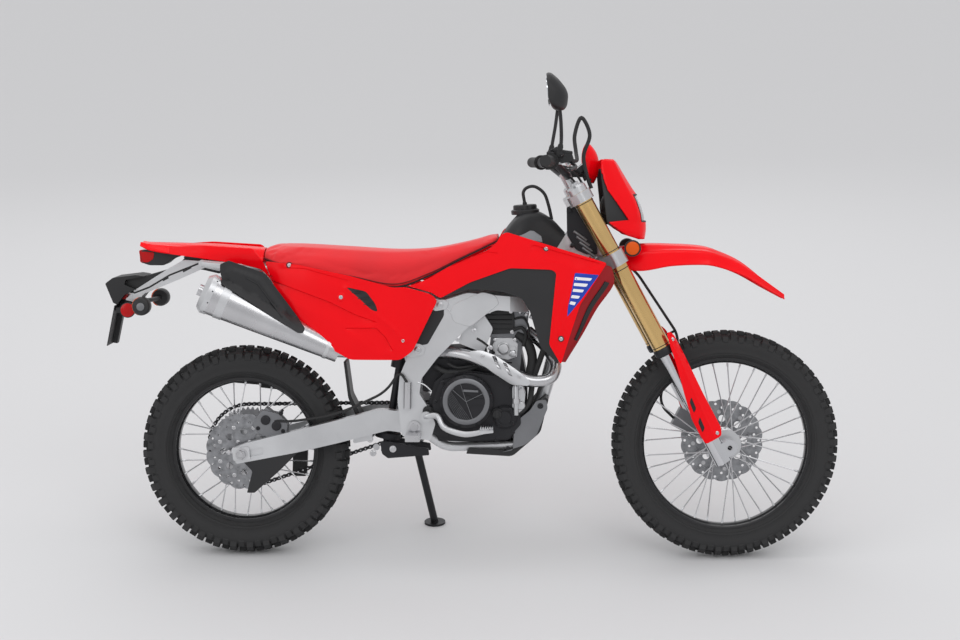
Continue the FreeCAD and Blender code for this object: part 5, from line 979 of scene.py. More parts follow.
def build_shroud(side, word, body):
    """Shroud with its facets, marks, pads and bolts, and its return towards the radiator."""
    base = span_y(SHROUD_PLAN, SHROUD_TUCK, side)
    y_at = creased(base, side, body.crease * 1000, SHROUD_FACETS, SHROUD_FOLD, 0.7, 12.0)
    shroud, marks, bars, pads, bolts = drafts(5)
    lines = creases((SHROUD_BAND[:4], SHROUD_WING[:2]), (SHROUD_FOLD,), 12.0)
    skin(shroud, round_corners(SHROUD, 9), y_at, body.sheet * 1000, body.grid * 1000, lines)
    piece("shroud_" + word, shroud, "chassis", "red_gloss", bevel=1.1, stands_for=("shrouds",))
    skin(marks, round_corners(BLUE, 5), off_face(y_at, side, 0.5), 0.9, 7.0, lines)
    piece("shroud_triangle_" + word, marks, "chassis", "decal_blue", stands_for=("shrouds",))
    for bar in BARS:
        skin(bars, round_corners(bar, 2, 2), off_face(y_at, side, 0.8), 0.9, 7.0, lines)
    piece("shroud_bars_" + word, bars, "chassis", "decal_white", stands_for=("shrouds",))
    for x, z in SHROUD_BOLTS:
        pads.lathe([(9, -1.5), (9, 1.6), (7, 2.4)], (x, y_at(x, z), z), (0, side, 0), 20)
        bolts.bolt((x, y_at(x, z) + side * 1.8, z), (0, side, 0), 4.6, 3.4)
    piece("shroud_pads_" + word, pads, "chassis", "black_plastic")
    piece("shroud_bolts_" + word, bolts, "chassis", "steel")
    build_flange(side, word, base)


FLANGE_OUT = ((1122, 926), (1092, 882), (1045, 806), (1021, 730), (990, 628))
FLANGE_IN = ((1143, 913), (1148, 862), (1098, 788), (1054, 708), (1003, 624))


def build_flange(side, word, base):
    """Return of the shroud to the radiator in darker red, and a black strip in its slot: both painted shade.
    """
    flange, slot = drafts(2)
    outer = smooth_path([(x, base(x, z) - side * 4, z) for x, z in FLANGE_OUT], 8)
    inner = smooth_path([(x, side * 152, z) for x, z in FLANGE_IN], 8)
    rings = []
    for a, b in zip(outer, inner):
        mid = a.lerp(b, 0.5) + Vector((5, side * 3, 0))
        rings.append([a, mid, b, b - Vector((3, 0, 0)), mid - Vector((3.5, side * 2, 0)),
                      a - Vector((3.5, 0, 0))])
    flange.loft(rings)
    # The return takes a darker red: painted shade
    piece("shroud_flange_" + word, flange, "chassis", "red_painted_shade", bevel=0.8, stands_for=("shrouds",))
    # The slot is an air opening; the black strip laid in it is painted shade
    out = Vector((6.0, side * 5.0, 0))
    rings = []
    for a, b in list(zip(outer, inner))[8:27]:
        low, high = a.lerp(b, 0.42), a.lerp(b, 0.66)
        rings.append([low + out, high + out, high + out * 0.4, low + out * 0.4])
    slot.loft(rings)
    piece("shroud_slot_shade_" + word, slot, "chassis", "black_plastic", stands_for=("shrouds",))


# Place ahead, height and half width of the crown, and drop of the edges
FENDER_ROWS = ((-322.5, 982.5, 38, 10.5), (-285, 981.8, 62, 22.5), (-187.5, 980.3, 75, 34.5),
               (-90, 977.3, 86, 42), (0, 971.3, 92, 55.5), (67.5, 966, 98, 73.5))
FRONT_ROWS = ((1160.2, 974.7, 62, 70), (1232.2, 985.3, 88, 85), (1320, 985.3, 100, 70),
              (1418.3, 979.1, 103, 60), (1464, 966.8, 98, 55), (1542.1, 930, 85, 45), (1619.4, 867.6, 62, 26),
              (1680, 817.6, 30, 9))
FENDER_WALL = 4.0
FENDER_STEPS = 14


def fender_ring(rows, x, crease, ridge_share):
    """Cross section of an arched mudguard: a crown, two ridges and turned-down edges."""
    top, half, drop = row_at(rows, x)
    outer = []
    for i in range(-FENDER_STEPS, FENDER_STEPS + 1):
        share = i / FENDER_STEPS
        lift = crease * (1 - ease(abs(abs(share) - ridge_share) / 0.16))
        shelf = -crease * 0.7 * (1 - ease(abs(share) / (ridge_share * 0.8)))
        outer.append(Vector((x, half * share, top - drop * abs(share) ** 2.2 + lift + shelf - 1.5)))
    inner = [point - Vector((0, point.y / half * FENDER_WALL * 0.7, FENDER_WALL)) for point in outer]
    return outer + inner[::-1]


def along_rows(rows, steps):
    """Evenly spaced places from the first row of a table to its last."""
    low, high = rows[0][0], rows[-1][0]
    return [low + (high - low) * i / steps for i in range(steps + 1)]


def build_rear_fender():
    """Rear mudguard with the struts under it."""
    fender = Draft()
    fender.loft([fender_ring(FENDER_ROWS, x, 4.0, 0.72) for x in along_rows(FENDER_ROWS, 60)])
    for x0, x1, foot in ((-150, -88, 905), (-290, -205, 945)):
        for y in (-32, 32):
            fender.plate(((x0, foot), (x0, 968), (x1, 966), (x1, foot)), y - 4, y + 4)
    piece("tail_fender", fender, "chassis", "red_gloss", bevel=0.9, angle=50, stands_for=("rear_fender",))


def build_front_fender():
    """Front mudguard with its feet on the fork's clamp."""
    fender, foot = drafts(2)
    fender.loft([fender_ring(FRONT_ROWS, x, 9.0, 0.74) for x in along_rows(FRONT_ROWS, 90)])
    piece("front_mudguard", fender, "steering", "red_gloss", bevel=0.9, angle=50,
          stands_for=("front_fender",))
    for side in (-1, 1):
        foot.plate(((1171, 950), (1228, 962), (1262, 962), (1254, 935), (1184, 912)), side * 40 - 5,
                   side * 40 + 5)
        for x in (1192, 1240):
            foot.bolt((x, side * 46, 944), (0, side, 0), 4.5, 3.5)
    piece("front_mudguard_feet", foot, "steering", "black_plastic", bevel=1.0, stands_for=("front_fender",))


class MOTO_OT_side_bodywork(bpy.types.Operator):
    """Make the side panels and the shrouds with their creases, bolts and marks"""

    bl_idname = "moto.side_bodywork"
    bl_label = "Side bodywork"

    def execute(self, context):
        body = context.scene.moto_body
        for build in (build_panel, build_shroud):
            for side, word in SIDES:
                build(side, word, body)
        return {"FINISHED"}


class MOTO_OT_mudguards(bpy.types.Operator):
    """Make the mudguards with their ridges"""

    bl_idname = "moto.mudguards"
    bl_label = "Mudguards"

    def execute(self, context):
        build_rear_fender()
        build_front_fender()
        return {"FINISHED"}


# Seat and tank
class SeatSettings(bpy.types.PropertyGroup):
    pressure: FloatProperty(name="Pressure", description="Push of the foam under the seat cover", default=3.5,
                            min=0.0)
    swell: length_prop("Swell", "Farthest that a point of the cover may move", 0.007)
    voxel: length_prop("Voxel", "Point spacing of the simulated cover", 0.006)


PRESSURE_STEPS = 20
COVER_STIFFNESS = 20.0
# Place ahead, foot and top, and half width
SEAT_ROWS = ((72, 931, 966, 72), (112, 920, 966, 114), (187, 906, 965.5, 123), (345, 875, 957.5, 122),
             (480, 848, 951, 109), (585, 884, 955, 90), (675, 931, 971, 77), (750, 968, 990, 71),
             (793, 990, 1006, 67))
CROWN = ((0.0, 1.0), (0.40, 0.985), (0.72, 0.92), (0.92, 0.74), (1.0, 0.46), (1.0, 0.14), (0.96, 0.0))
CROWN_FOOT = 0.4
TANK_ROWS = ((600, 843, 868, 57), (660, 843, 906, 87), (780, 843, 972, 111), (822, 843, 1032, 108),
             (862, 843, 1073, 95), (909, 848, 1079, 67), (960, 878, 1052, 48), (999, 909, 1011, 40))


def crowned_ring(rows, x):
    """Cross section of a padded or blown form: a crown, full sides and a narrower foot."""
    low, top, half = row_at(rows, x)
    right = [(0, share * half, low + rise * (top - low)) for share, rise in CROWN]
    foot = [(0, CROWN_FOOT * half, low), (0, -CROWN_FOOT * half, low)]
    left = [(0, -y, z) for _, y, z in right[:0:-1]]
    return [Vector((x, point.y, point.z)) for point in smooth_path(right + foot + left, 4, closed=True)]


def applied(item):
    """Keep the result of a piece's modifiers as its mesh."""
    graph = bpy.context.evaluated_depsgraph_get()
    mesh = bpy.data.meshes.new_from_object(item.evaluated_get(graph))
    item.modifiers.clear()
    item.data = mesh
    return item


def puff(item, seat):
    """Blow the cover up a little over its foam, with its underside held."""
    remesh = item.modifiers.new("Even points", "REMESH")
    remesh.mode = "VOXEL"
    remesh.voxel_size = seat.voxel
    remesh.use_smooth_shade = True
    applied(item)
    start = [vertex.co.copy() for vertex in item.data.vertices]
    held = item.vertex_groups.new(name="held")
    up = (UPRIGHT @ Vector((0, 0, 1))).normalized()
    under = [vertex.index for vertex in item.data.vertices if vertex.normal.dot(up) < -0.5]
    held.add(under, 1.0, "REPLACE")
    cloth = item.modifiers.new("Cover", "CLOTH")
    cloth.settings.quality = 5
    cloth.settings.use_pressure = True
    cloth.settings.uniform_pressure_force = seat.pressure
    cloth.settings.effector_weights.gravity = 0.0
    cloth.settings.vertex_group_mass = "held"
    cloth.settings.tension_stiffness = cloth.settings.compression_stiffness = COVER_STIFFNESS
    scene = bpy.context.scene
    for frame_number in range(1, PRESSURE_STEPS + 1):
        scene.frame_set(frame_number)
        bpy.context.view_layer.update()
    applied(item)
    scene.frame_set(1)
    for vertex, before in zip(item.data.vertices, start):
        move = vertex.co - before
        if move.length > seat.swell:
            vertex.co = before + move.normalized() * seat.swell
    smooth = item.modifiers.new("Smooth cover", "SUBSURF")
    smooth.levels = smooth.render_levels = 1
    applied(item)
    item.data.polygons.foreach_set("use_smooth", [True] * len(item.data.polygons))


def build_seat(seat):
    """Crowned cover over its foam, the piping that closes it and the dark base below."""
    cover, rim, base = drafts(3)
    cover.loft([crowned_ring(SEAT_ROWS, x) for x in along_rows(SEAT_ROWS, 56)])
    item = piece("seat_cover", cover, "chassis", "red_seat", angle=80, stands_for=("seat",))
    puff(item, seat)
    for side in (-1, 1):
        path, foot = [], []
        for x in along_rows(SEAT_ROWS, 40):
            low, top, half = row_at(SEAT_ROWS, x)
            out, within = side * (half + 1.2), side * half * 0.8
            path.append((x, out, low + 0.10 * (top - low)))
            foot.append([(x, out, low + 2), (x, out, low - 3.5), (x, within, low - 3.5),
                         (x, within, low + 2)])
        rim.tube(path, 1.5, 8)
        base.loft(foot)
    piece("seat_piping", rim, "chassis", "seam_thread", stands_for=("seat",))
    piece("seat_base_edge", base, "chassis", "black_plastic", stands_for=("seat",))


TANK_CAP = Vector((876, 0, 1078))
CAP_FLUTES = 12
CAP_POINTS = CAP_FLUTES * 6
INSERT = ((844, 1010), (872, 1024), (904, 1020), (928, 1004), (932, 986), (900, 992))


def build_tank():
    """Black tank, the grey insert beside the cap and the ribbed cap."""
    tank, cap, insert = drafts(3)
    tank.loft([crowned_ring(TANK_ROWS, x) for x in along_rows(TANK_ROWS, 48)])
    piece("tank_shell", tank, "chassis", "black_plastic", angle=60, stands_for=("fuel_tank",))
    way = Vector((-0.06, 0, 1)).normalized()
    side = way.orthogonal().normalized()
    up = way.cross(side)
    cap.lathe([(43, -10), (44, 2), (40, 5), (36, 5.5)], TANK_CAP, way, 40)
    turns = [2 * math.pi * i / CAP_POINTS for i in range(CAP_POINTS)]
    flutes = [(side * math.cos(turn) + up * math.sin(turn), 34.5 if i % 6 < 3 else 36.5)
              for i, turn in enumerate(turns)]
    cap.loft([[TANK_CAP + way * along + out * (radius - shrink) for out, radius in flutes]
              for along, shrink in ((5, 0), (16, 0), (19, 2.5), (19.5, 12))])
    cap.block((-5, -30, 0), (5, 30, 3))
    for index in range(-8, 0):
        point = cap.points[index]
        cap.points[index] = TANK_CAP + way * (19 + point.z) + Vector((point.x, point.y, 0))
    cap.lathe([(7, 19), (7, 26), (4, 28)], TANK_CAP, way, 16)
    piece("tank_cap", cap, "chassis", "black_plastic", bevel=0.8, stands_for=("fuel_tank",))
    for side in (-1, 1):
        spots = [Vector((x, side * (112 - (z - 985) * 0.9 - (x - 844) * 0.2), z)) for x, z in INSERT]
        insert.prism(spots, (0, -side * 40, -6))
    piece("tank_insert", insert, "chassis", "grey_cast", bevel=2.0)


class MOTO_OT_seat(bpy.types.Operator):
    """Make the padded seat with its piping, and the tank with its cap"""

    bl_idname = "moto.seat"
    bl_label = "Seat and tank"

    def execute(self, context):
        build_seat(context.scene.moto_seat)
        build_tank()
        return {"FINISHED"}


# Front end
# Height, front and back of the mask there, and its half width
MASK_ROWS = ((992, 1246, 1222, 66), (1002, 1248, 1188, 88), (1019, 1250, 1156, 102), (1040, 1250, 1124, 108),
             (1071, 1246, 1116, 109), (1117, 1228, 1112, 104), (1150, 1206, 1109, 98), (1190, 1181, 1106, 88),
             (1232, 1155, 1105, 76), (1238, 1147, 1116, 66))
MASK_EDGE = ((992, 1222), (1004, 1183), (1035, 1136), (1046, 1122), (1046.1, 1194), (1146, 1122),
             (1187, 1108), (1204, 1100), (1238, 1100))
LAMP_LOW, LAMP_HIGH, LAMP_HALF = 1046.0, 1128.0, 0.52
LAMP_SPOT, LAMP_WAY = Vector((1188, 0, 1086)), Vector((0.985, 0, -0.17))


def mask_point(u, z, sink=0.0):
    """Point of the headlight mask; u runs from -1 on the right edge to 1 on the left edge."""
    front, back, half = row_at(MASK_ROWS, z)
    depth = (1 - abs(u) ** 2.4) ** 0.62
    fold = 4.5 * (1 - ease(abs(abs(u) - 0.66) / 0.12)) * ease((z - 1040) / 40)
    return Vector((back + (front - back) * depth + fold - sink, (half - sink * 0.5) * u, z))


def grid(draft, rows, skip=lambda i, j: False):
    """Open sheet of points in rows."""
    wide = len(rows[0])
    faces = [[i * wide + j, i * wide + j + 1, (i + 1) * wide + j + 1, (i + 1) * wide + j]
             for i in range(len(rows) - 1) for j in range(wide - 1) if not skip(i, j)]
    draft.add([point for row in rows for point in row], faces)


def thicken(item, thick):
    """Give an open sheet its wall."""
    solid = item.modifiers.new("Wall", "SOLIDIFY")
    solid.thickness = thick / 1000
    solid.offset = -1.0
    return item


def loose_out(item):
    """Drop the points that no face uses."""
    shape = bmesh.new()
    shape.from_mesh(item.data)
    bmesh.ops.delete(shape, geom=[vert for vert in shape.verts if not vert.link_faces], context="VERTS")
    shape.to_mesh(item.data)
    shape.free()
    return item


def edge_share(z):
    """How far round the mask's red reaches at a height."""
    low = [spot for spot in MASK_EDGE if spot[0] <= z][-1]
    high = [spot for spot in MASK_EDGE if spot[0] >= z][0]
    share = (z - low[0]) / max(high[0] - low[0], 1e-6)
    edge = low[1] + (high[1] - low[1]) * min(max(share, 0.0), 1.0)
    reach = 1.0
    while reach > LAMP_HALF + 0.05 and mask_point(reach, z).x < edge:
        reach -= 0.004
    return reach


def build_mask():
    """Headlight mask round its lamp, with the folds that run down beside the lens."""
    zs = [992.0, 998.0] + [1004 + 6 * k for k in range(8)] + [1052 + 6 * k for k in range(32)]
    side_us = [math.sin(k / 12 * math.pi / 2) for k in range(13)]
    lamp_us = [LAMP_HALF * k / 6 for k in range(-6, 7)]

    def row(z, sink, reach):
        outer = [LAMP_HALF + (reach - LAMP_HALF) * u for u in side_us[1:]]
        return [mask_point(u, z, sink) for u in [-u for u in reversed(outer)] + lamp_us + outer]

    def in_lamp(i, j):
        return LAMP_LOW < (zs[i] + zs[i + 1]) / 2 < LAMP_HIGH and 12 <= j < 24

    red, dark, lens, bezel, bowl, housing = drafts(6)
    grid(red, [row(z, 0.0, edge_share(z)) for z in zs], in_lamp)
    inner = [z for z in zs if 1030 < z < 1210]
    grid(dark, [row(z, 7.0, 0.995) for z in inner], lambda i, j: 8 <= j < 28)
    grid(lens, [row(z, 4.5, 0.9) for z in zs], lambda i, j: not in_lamp(i, j))
    thicken(loose_out(piece("mask", red, "steering", "red_gloss", angle=50, stands_for=("headlight_cowl",))),
            3.5)
    thicken(loose_out(piece("mask_sides", dark, "steering", "black_plastic", stands_for=("headlight_cowl",))),
            2.5)
    thicken(loose_out(piece("headlight_lens", lens, "steering", "lamp_clear", angle=70,
                            stands_for=("headlight",))), 3)
    corners = [(-LAMP_HALF, LAMP_LOW), (LAMP_HALF, LAMP_LOW), (LAMP_HALF, LAMP_HIGH), (-LAMP_HALF, LAMP_HIGH)]
    loop = []
    for i, (u0, z0) in enumerate(corners):
        u1, z1 = corners[(i + 1) % 4]
        loop += [mask_point(u0 + (u1 - u0) * k / 10, z0 + (z1 - z0) * k / 10, 1.5) for k in range(10)]
    bezel.tube(loop, 2.4, 8, closed=True)
    piece("headlight_bezel", bezel, "steering", "black_plastic", stands_for=("headlight_cowl",))
    axis = LAMP_WAY.normalized()
    bowl.lathe([(41, 20), (43, 18), (40, 0), (30, -24), (18, -38), (10, -42), (12, -36), (28, -20), (38, 2)],
               LAMP_SPOT, axis, 40)
    piece("headlight_bowl", bowl, "steering", "chrome", stands_for=("headlight",))
    housing.lathe([(46, 14), (50, 0), (48, -20), (40, -40), (30, -56), (26, -76), (14, -80)], LAMP_SPOT, axis,
                  40)
    piece("headlight_housing", housing, "steering", "black_plastic", bevel=0.6, stands_for=("headlight",))


# Height, back and front of the shield there, and its half width
METER_ROWS = ((1163, 1080, 1088, 22), (1176, 1070, 1095, 38), (1195, 1058, 1101, 50), (1230, 1054, 1103, 55),
              (1252, 1054, 1098, 52), (1270, 1057, 1088, 44), (1286, 1064, 1074, 34))
METER_LOW, METER_HIGH = 1163, 1284
METER_TILT = Matrix.Rotation(math.radians(-38), 3, "Y")
METER_SPOT = Vector((1052, 0, 1216))


def on_meter(x, y, z):
    """Point in the tilted frame of the instruments."""
    return METER_SPOT + METER_TILT @ Vector((x, y, z))


def build_meter():
    """Small red shield over the instruments, and the black case with its screen behind it."""
    shield, case, screen, knobs = drafts(4)
    us = [math.sin((i / 20 * 2 - 1) * math.pi / 2) for i in range(21)]
    rows = []
    for k in range(25):
        z = METER_LOW + (METER_HIGH - METER_LOW) * k / 24
        back, front, half = row_at(METER_ROWS, z)
        rows.append([Vector((back + (front - back) * (1 - abs(u) ** 2.6) ** 0.6, half * u, z)) for u in us])
    grid(shield, rows)
    thicken(piece("meter_shield", shield, "steering", "red_gloss", angle=60, stands_for=("meter",)), 3.5)
    outline = round_corners(((-46, -34), (46, -34), (46, 34), (-46, 34)), 12)
    case.loft([[on_meter(p.y * grow * 0.8, p.x * grow, depth) for p in outline]
               for depth, grow in ((-16, 0.86), (-12, 1.0), (4, 1.0), (6, 0.96), (6, 0.86), (4, 0.84))])
    case.block((1006, -14, 1182), (1052, 14, 1204))
    for side in (-1, 1):
        case.tube([(1048, side * 30, 1206), (1060, side * 34, 1188), (1076, side * 36, 1172)], 5, 10)
    piece("meter_case", case, "steering", "black_plastic", bevel=0.8, stands_for=("meter",))
    screen.prism([on_meter(p.y * 0.64, p.x * 0.82, 4.2) for p in outline], METER_TILT @ Vector((0, 0, 1.2)))
    piece("meter_screen", screen, "steering", "mirror_glass")
    for y in (-26, 26):
        knobs.lathe([(4, 5), (4, 8), (3, 9)], on_meter(-24, y, 0), METER_TILT @ Vector((0, 0, 1)), 14)
    piece("meter_buttons", knobs, "steering", "grip_rubber")


GUARD = ((55, 406), (68, 403), (74, 385), (73, 319), (67, 192), (66, 70), (55, 48), (0, 48), (-3, 76),
         (-2, 137), (14, 215), (34, 300), (47, 372))
GUARD_FOLD = ((56, 396), (52, 300), (42, 192), (36, 100), (34, 56))


FORK_S, FORK_Y = 24, 107
CLAMP_S = FORK_S - 33
REFLECTOR_T = 680


def guard_y(side):
    """Outer side of a fork guard over the fork's own s and t."""
    def y_at(s, t):
        bulge = 40 * math.sqrt(max(0.04, 1 - ((s - FORK_S) / 52) ** 2))
        return side * (FORK_Y + bulge + ridge((s, t), GUARD_FOLD, 4.0, 9.0))
    return y_at


def build_fork(side, word):
    """Guard with its slots, seals, caps, pinch bolts and reflector of one fork leg."""
    guard, backing, fixings, seals, caps, mark, rim = drafts(7)
    y_at = guard_y(side)
    slots = [round_corners(((low / 12, low), (13 + low / 12, low + 10), (16 + low / 12, low + 48),
                            (4 + low / 12, low + 36)), 5) for low in (84, 150)]
    skin(guard, round_corners(GUARD, 8), y_at, 3.5, 8.0, creases((), (GUARD_FOLD,), 9.0), slots)
    piece("fork_guard_" + word, guard, "fork", "red_gloss", bevel=0.9, stands_for=("fork_guards",))
    for slot in slots:
        skin(backing, slot, off_face(y_at, side, -3.2), 1.2, 8.0)
    piece("fork_guard_slots_" + word, backing, "fork", "black_plastic",
          stands_for=("fork_guards",))
    for s, t in ((46, 62), (62, 380)):
        fixings.bolt((s, y_at(s, t) - side * 0.5, t), (0, side, 0), 4.6, 3.4)
    leg = Vector((FORK_S, side * FORK_Y, 0))
    seals.lathe([(25, 344), (30, 346), (31.5, 352), (31.5, 366), (30, 369), (28, 371)], leg, (0, 0, 1), 32)
    for t in (376, 640, 704, 872):
        seals.lathe([(28.8, t), (29.6, t + 1.2), (28.8, t + 2.4)], leg, (0, 0, 1), 32)
    caps.lathe([(29.2, 908.5), (29.2, 926), (26, 930), (23, 933), (19, 933)], leg, (0, 0, 1), 32)
    caps.lathe([(14, 933), (14, 941), (12, 943), (5, 943), (5, 939)], leg, (0, 0, 1), 6)
    for t in (663, 675, 687, 885, 900):
        fixings.bolt((CLAMP_S, side * 84, t), (-0.9, -side * 0.4, 0), 4.2, 5.0)
    for t in (-14, 12):
        fixings.bolt((FORK_S - 12, side * 126, t), (-0.5, side * 0.8, 0), 4.6, 4.0)
    piece("fork_bolts_" + word, fixings, "fork", "steel")
    piece("fork_seals_" + word, seals, "fork", "dark_alloy")
    piece("fork_caps_" + word, caps, "fork", "cast_alloy")
    spot = (89, side * 88, REFLECTOR_T)
    rim.lathe([(10, -6), (23, -4), (25.5, 0), (25.5, 8.5), (22, 9.5), (21, 6)], spot, (0, side, 0), 32)
    rim.tube([(44, side * 96, 676), (66, side * 92, 678), (89, side * 86, 680)], 5.0, 10)
    mark.lathe([(21, 6.6), (20.5, 8.2), (14, 9.4), (2, 9.8)], spot, (0, side, 0), 32)
    piece("fork_reflector_rim_" + word, rim, "fork", "black_plastic")
    piece("fork_reflector_" + word, mark, "fork", "lamp_amber")


class MOTO_OT_front_end(bpy.types.Operator):
    """Make the headlight mask, the lamp, the instruments and the fork's guards and fixings"""

    bl_idname = "moto.front_end"
    bl_label = "Front end"

    def execute(self, context):
        build_mask()
        build_meter()
        for side, word in SIDES:
            build_fork(side, word)
        return {"FINISHED"}


# Engine and frame fittings
class EngineSettings(bpy.types.PropertyGroup):
    relief: length_prop("Relief", "Height of the cast lines on the clutch cover", 0.0014)
    bolt: length_prop("Bolt radius", "Radius of the small case bolts", 0.0048)


CLUTCH = Vector((699, -148, 500))
COVER_Y = -119.5
OIL_CAP = Vector((817, COVER_Y, 450))
COVER_BOLTS = ((607, 424), (603, 496), (626, 556), (668, 585), (792, 578), (832, 538), (842, 402), (792, 380),
               (706, 388), (645, 392))
RELIEF_ENDS = ((644, 548), (680, 560), (756, 528), (722, 438))
CAST_LINES = 7
RIM_BOLTS_R = 75.5
HEADER_SHIELD = ((711, 658), (746, 661), (790, 645), (862, 596), (897, 564), (890, 552), (838, 553),
                 (782, 590), (736, 627), (711, 644))
SHIELD_SLOTS = (((779, 643), (790, 643), (808, 601), (797, 605)),
                ((812, 624), (823, 620), (841, 581), (830, 586)))
HEADER_LINE = ((711, 650), (790, 622), (862, 578), (900, 556))
HEAD_COVER = ((757, 700), (755, 768), (770, 781), (833, 781), (845, 764), (845, 704))
# Outlines of the dark blocks in the engine's middle, partly inner parts and partly painted shade
REAR_CASTING_SHADE = ((560, 520), (560, 648), (668, 655), (752, 664), (768, 560), (640, 516))
FRONT_CASTING_SHADE = ((770, 520), (770, 668), (838, 690), (868, 640), (884, 560), (884, 480), (820, 480))
# Radius, steps and sides of each hose, and the points of its run
ENGINE_HOSES = (
    (4.5, 6, 10, ((772, -76, 700), (748, -82, 712), (728, -84, 742), (700, -80, 752))),
    (5.5, 6, 10, ((842, -80, 715), (868, -84, 722), (880, -80, 700), (872, -78, 664))),
    (3.5, 6, 10, ((846, -72, 748), (872, -78, 752), (888, -80, 728), (890, -78, 690))),
    (3.5, 6, 10, ((730, -96, 690), (752, -96, 676), (770, -92, 660), (784, -88, 642))),
    (15.0, 8, 18, ((852, -58, 700), (884, -66, 676), (900, -74, 630), (894, -78, 580), (884, -78, 540))),
    (9.0, 8, 12, ((600, -88, 600), (640, -96, 584), (690, -96, 590), (735, -92, 606))),
    (4.0, 6, 10, ((640, -98, 612), (668, -106, 600), (704, -108, 604), (742, -100, 612))),
    (3.0, 6, 10, ((655, -96, 640), (690, -100, 652), (728, -100, 640))),
)


def build_clutch(engine):
    """Cast lines and rim of the clutch cover, the small bolts of the cases and the oil cap."""
    lines, ring, bolts, cap = drafts(4)
    high, radius = engine.relief * 650, engine.bolt * 1000
    out = (0, -1, 0)
    for x, z in RELIEF_ENDS:
        lines.tube([CLUTCH, (x, CLUTCH.y, z)], high, 6)
    for k in range(1, CAST_LINES + 1):
        start = Vector((644 - k * 1.2, CLUTCH.y, 548 - k * 4.6))
        lines.tube([start, Vector((722 - k * 7.4, CLUTCH.y, 438 + k * 1.6))], high * 0.55, 5)
    lines.plate(((690, 531), (736, 529), (736, 535), (691, 538)), -149.2, -147.2)
    piece("clutch_lines", lines, "chassis", "grey_cast")
    ring.lathe([(56, -1.5), (59, 1.2), (70, 1.2), (75, -2.5)], CLUTCH, out, 72, closed=True)
    piece("clutch_ring", ring, "chassis", "grey_cast", bevel=0.6)
    for k in range(9):
        bolts.bolt(CLUTCH + on_circle(RIM_BOLTS_R, 2 * math.pi * (k + 0.35) / 9, 6.5), out, radius, 4.5)
    for x, z in COVER_BOLTS:
        bolts.bolt((x, COVER_Y, z), out, radius, 4.5)
    for k in range(4):
        bolts.bolt(OIL_CAP + on_circle(29, math.pi * (k / 2 + 0.3), -12), out, radius, 4.5)
    for k in range(8):
        bolts.bolt(Vector((757, 116, 477)) + on_circle(70, 2 * math.pi * (k + 0.5) / 8), (0, 1, 0), radius,
                   4.5)
    piece("engine_bolts", bolts, "chassis", "dark_alloy")
    cap.lathe([(17, -0.5), (17, 4), (14.5, 5), (13, 9), (12, 10)], (794, -132.5, 461), out, 28)
    cap.block((789, -146, 450), (799, -141, 472))
    cap.lathe([(20, 12.0), (20, 14.0), (17, 15.5), (6, 16)], OIL_CAP, out, 32)
    piece("oil_cap", cap, "chassis", "black_plastic", bevel=0.8)


def build_castings():
    """Bright throttle and pump castings, and dark blocks in the engine's middle: inner parts and painted
    shade.
    """
    casting, fill = drafts(2)
    out = (0, -1, 0)
    casting.plate(((782, 630), (778, 668), (790, 690), (838, 690), (856, 672), (853, 632), (826, 622)), -84,
                  -58)
    casting.lathe([(19, -4), (20, 8), (16, 10), (15, 16), (10, 17)], (812, -84, 658), out, 28)
    casting.block((786, -92, 636), (806, -80, 648))
    casting.block((828, -90, 652), (850, -80, 664))
    casting.lathe([(11, -2), (11, 9), (8, 11)], (840, -84, 642), out, 20)
    casting.plate(((840, 470), (840, 540), (846, 552), (872, 546), (880, 520), (876, 476), (860, 462)), -122,
                  -62)
    casting.tube([(852, -127, 456), (852, -127, 540), (854, -122, 552)], 8.0, 16)
    casting.lathe([(12, -8), (12, 8)], (852, -127, 500), (0, 0, 1), 16)
    casting.lathe([(14, -3), (14, 3), (11, 6), (6, 6)], (866, -122, 486), out, 20)
    piece("bright_castings", casting, "chassis", "cast_alloy", bevel=1.2)
    # Dark blocks that fill the engine's gaps: inner parts whose dark colour is painted shade
    fill.plate(round_corners(REAR_CASTING_SHADE, 10), -66, 66)
    fill.plate(round_corners(FRONT_CASTING_SHADE, 10), -56, 56)
    for z in range(566, 660, 14):
        fill.block((764, -62, z), (842 - (z - 566) * 0.1, 62, z + 5))
    piece("engine_castings_shade", fill, "chassis", "dark_alloy", bevel=2.0)


def build_engine_top():
    """Black cover over the head with its ribs, the castings below it, and their hoses and bolts."""
    cover, hoses, bolts = drafts(3)
    cover.plate(round_corners(HEAD_COVER, 8), -79, 79)
    for z in (716, 730, 744, 758):
        cover.block((762, -82, z), (838, 82, z + 4))
    piece("head_cover", cover, "chassis", "black_plastic", bevel=2.0)
    build_castings()
    for radius, steps, sides, points in ENGINE_HOSES:
        hoses.bend(points, steps, radius, sides)
    piece("engine_hoses", hoses, "chassis", "grip_rubber")
    for x, y, z in ((786, -84, 684), (846, -84, 684), (784, -84, 632), (848, -84, 636), (866, -122, 536),
                    (870, -122, 484)):
        bolts.bolt((x, y, z), (0, -1, 0), 4.2, 4)
    for x, z in ((768, 772), (834, 772), (764, 708), (838, 708)):
        for side in (-1, 1):
            bolts.bolt((x, side * 79, z), (0, side, 0), 4.6, 4.5)
    for x in (862, 880, 896):
        bolts.lathe([(7, 0), (7, 10), (5, 11), (5, 16)], (x, -70, 768 - (x - 862) * 0.5), (0.4, -0.4, 0.8),
                    12)
    piece("engine_top_bolts", bolts, "chassis", "steel")


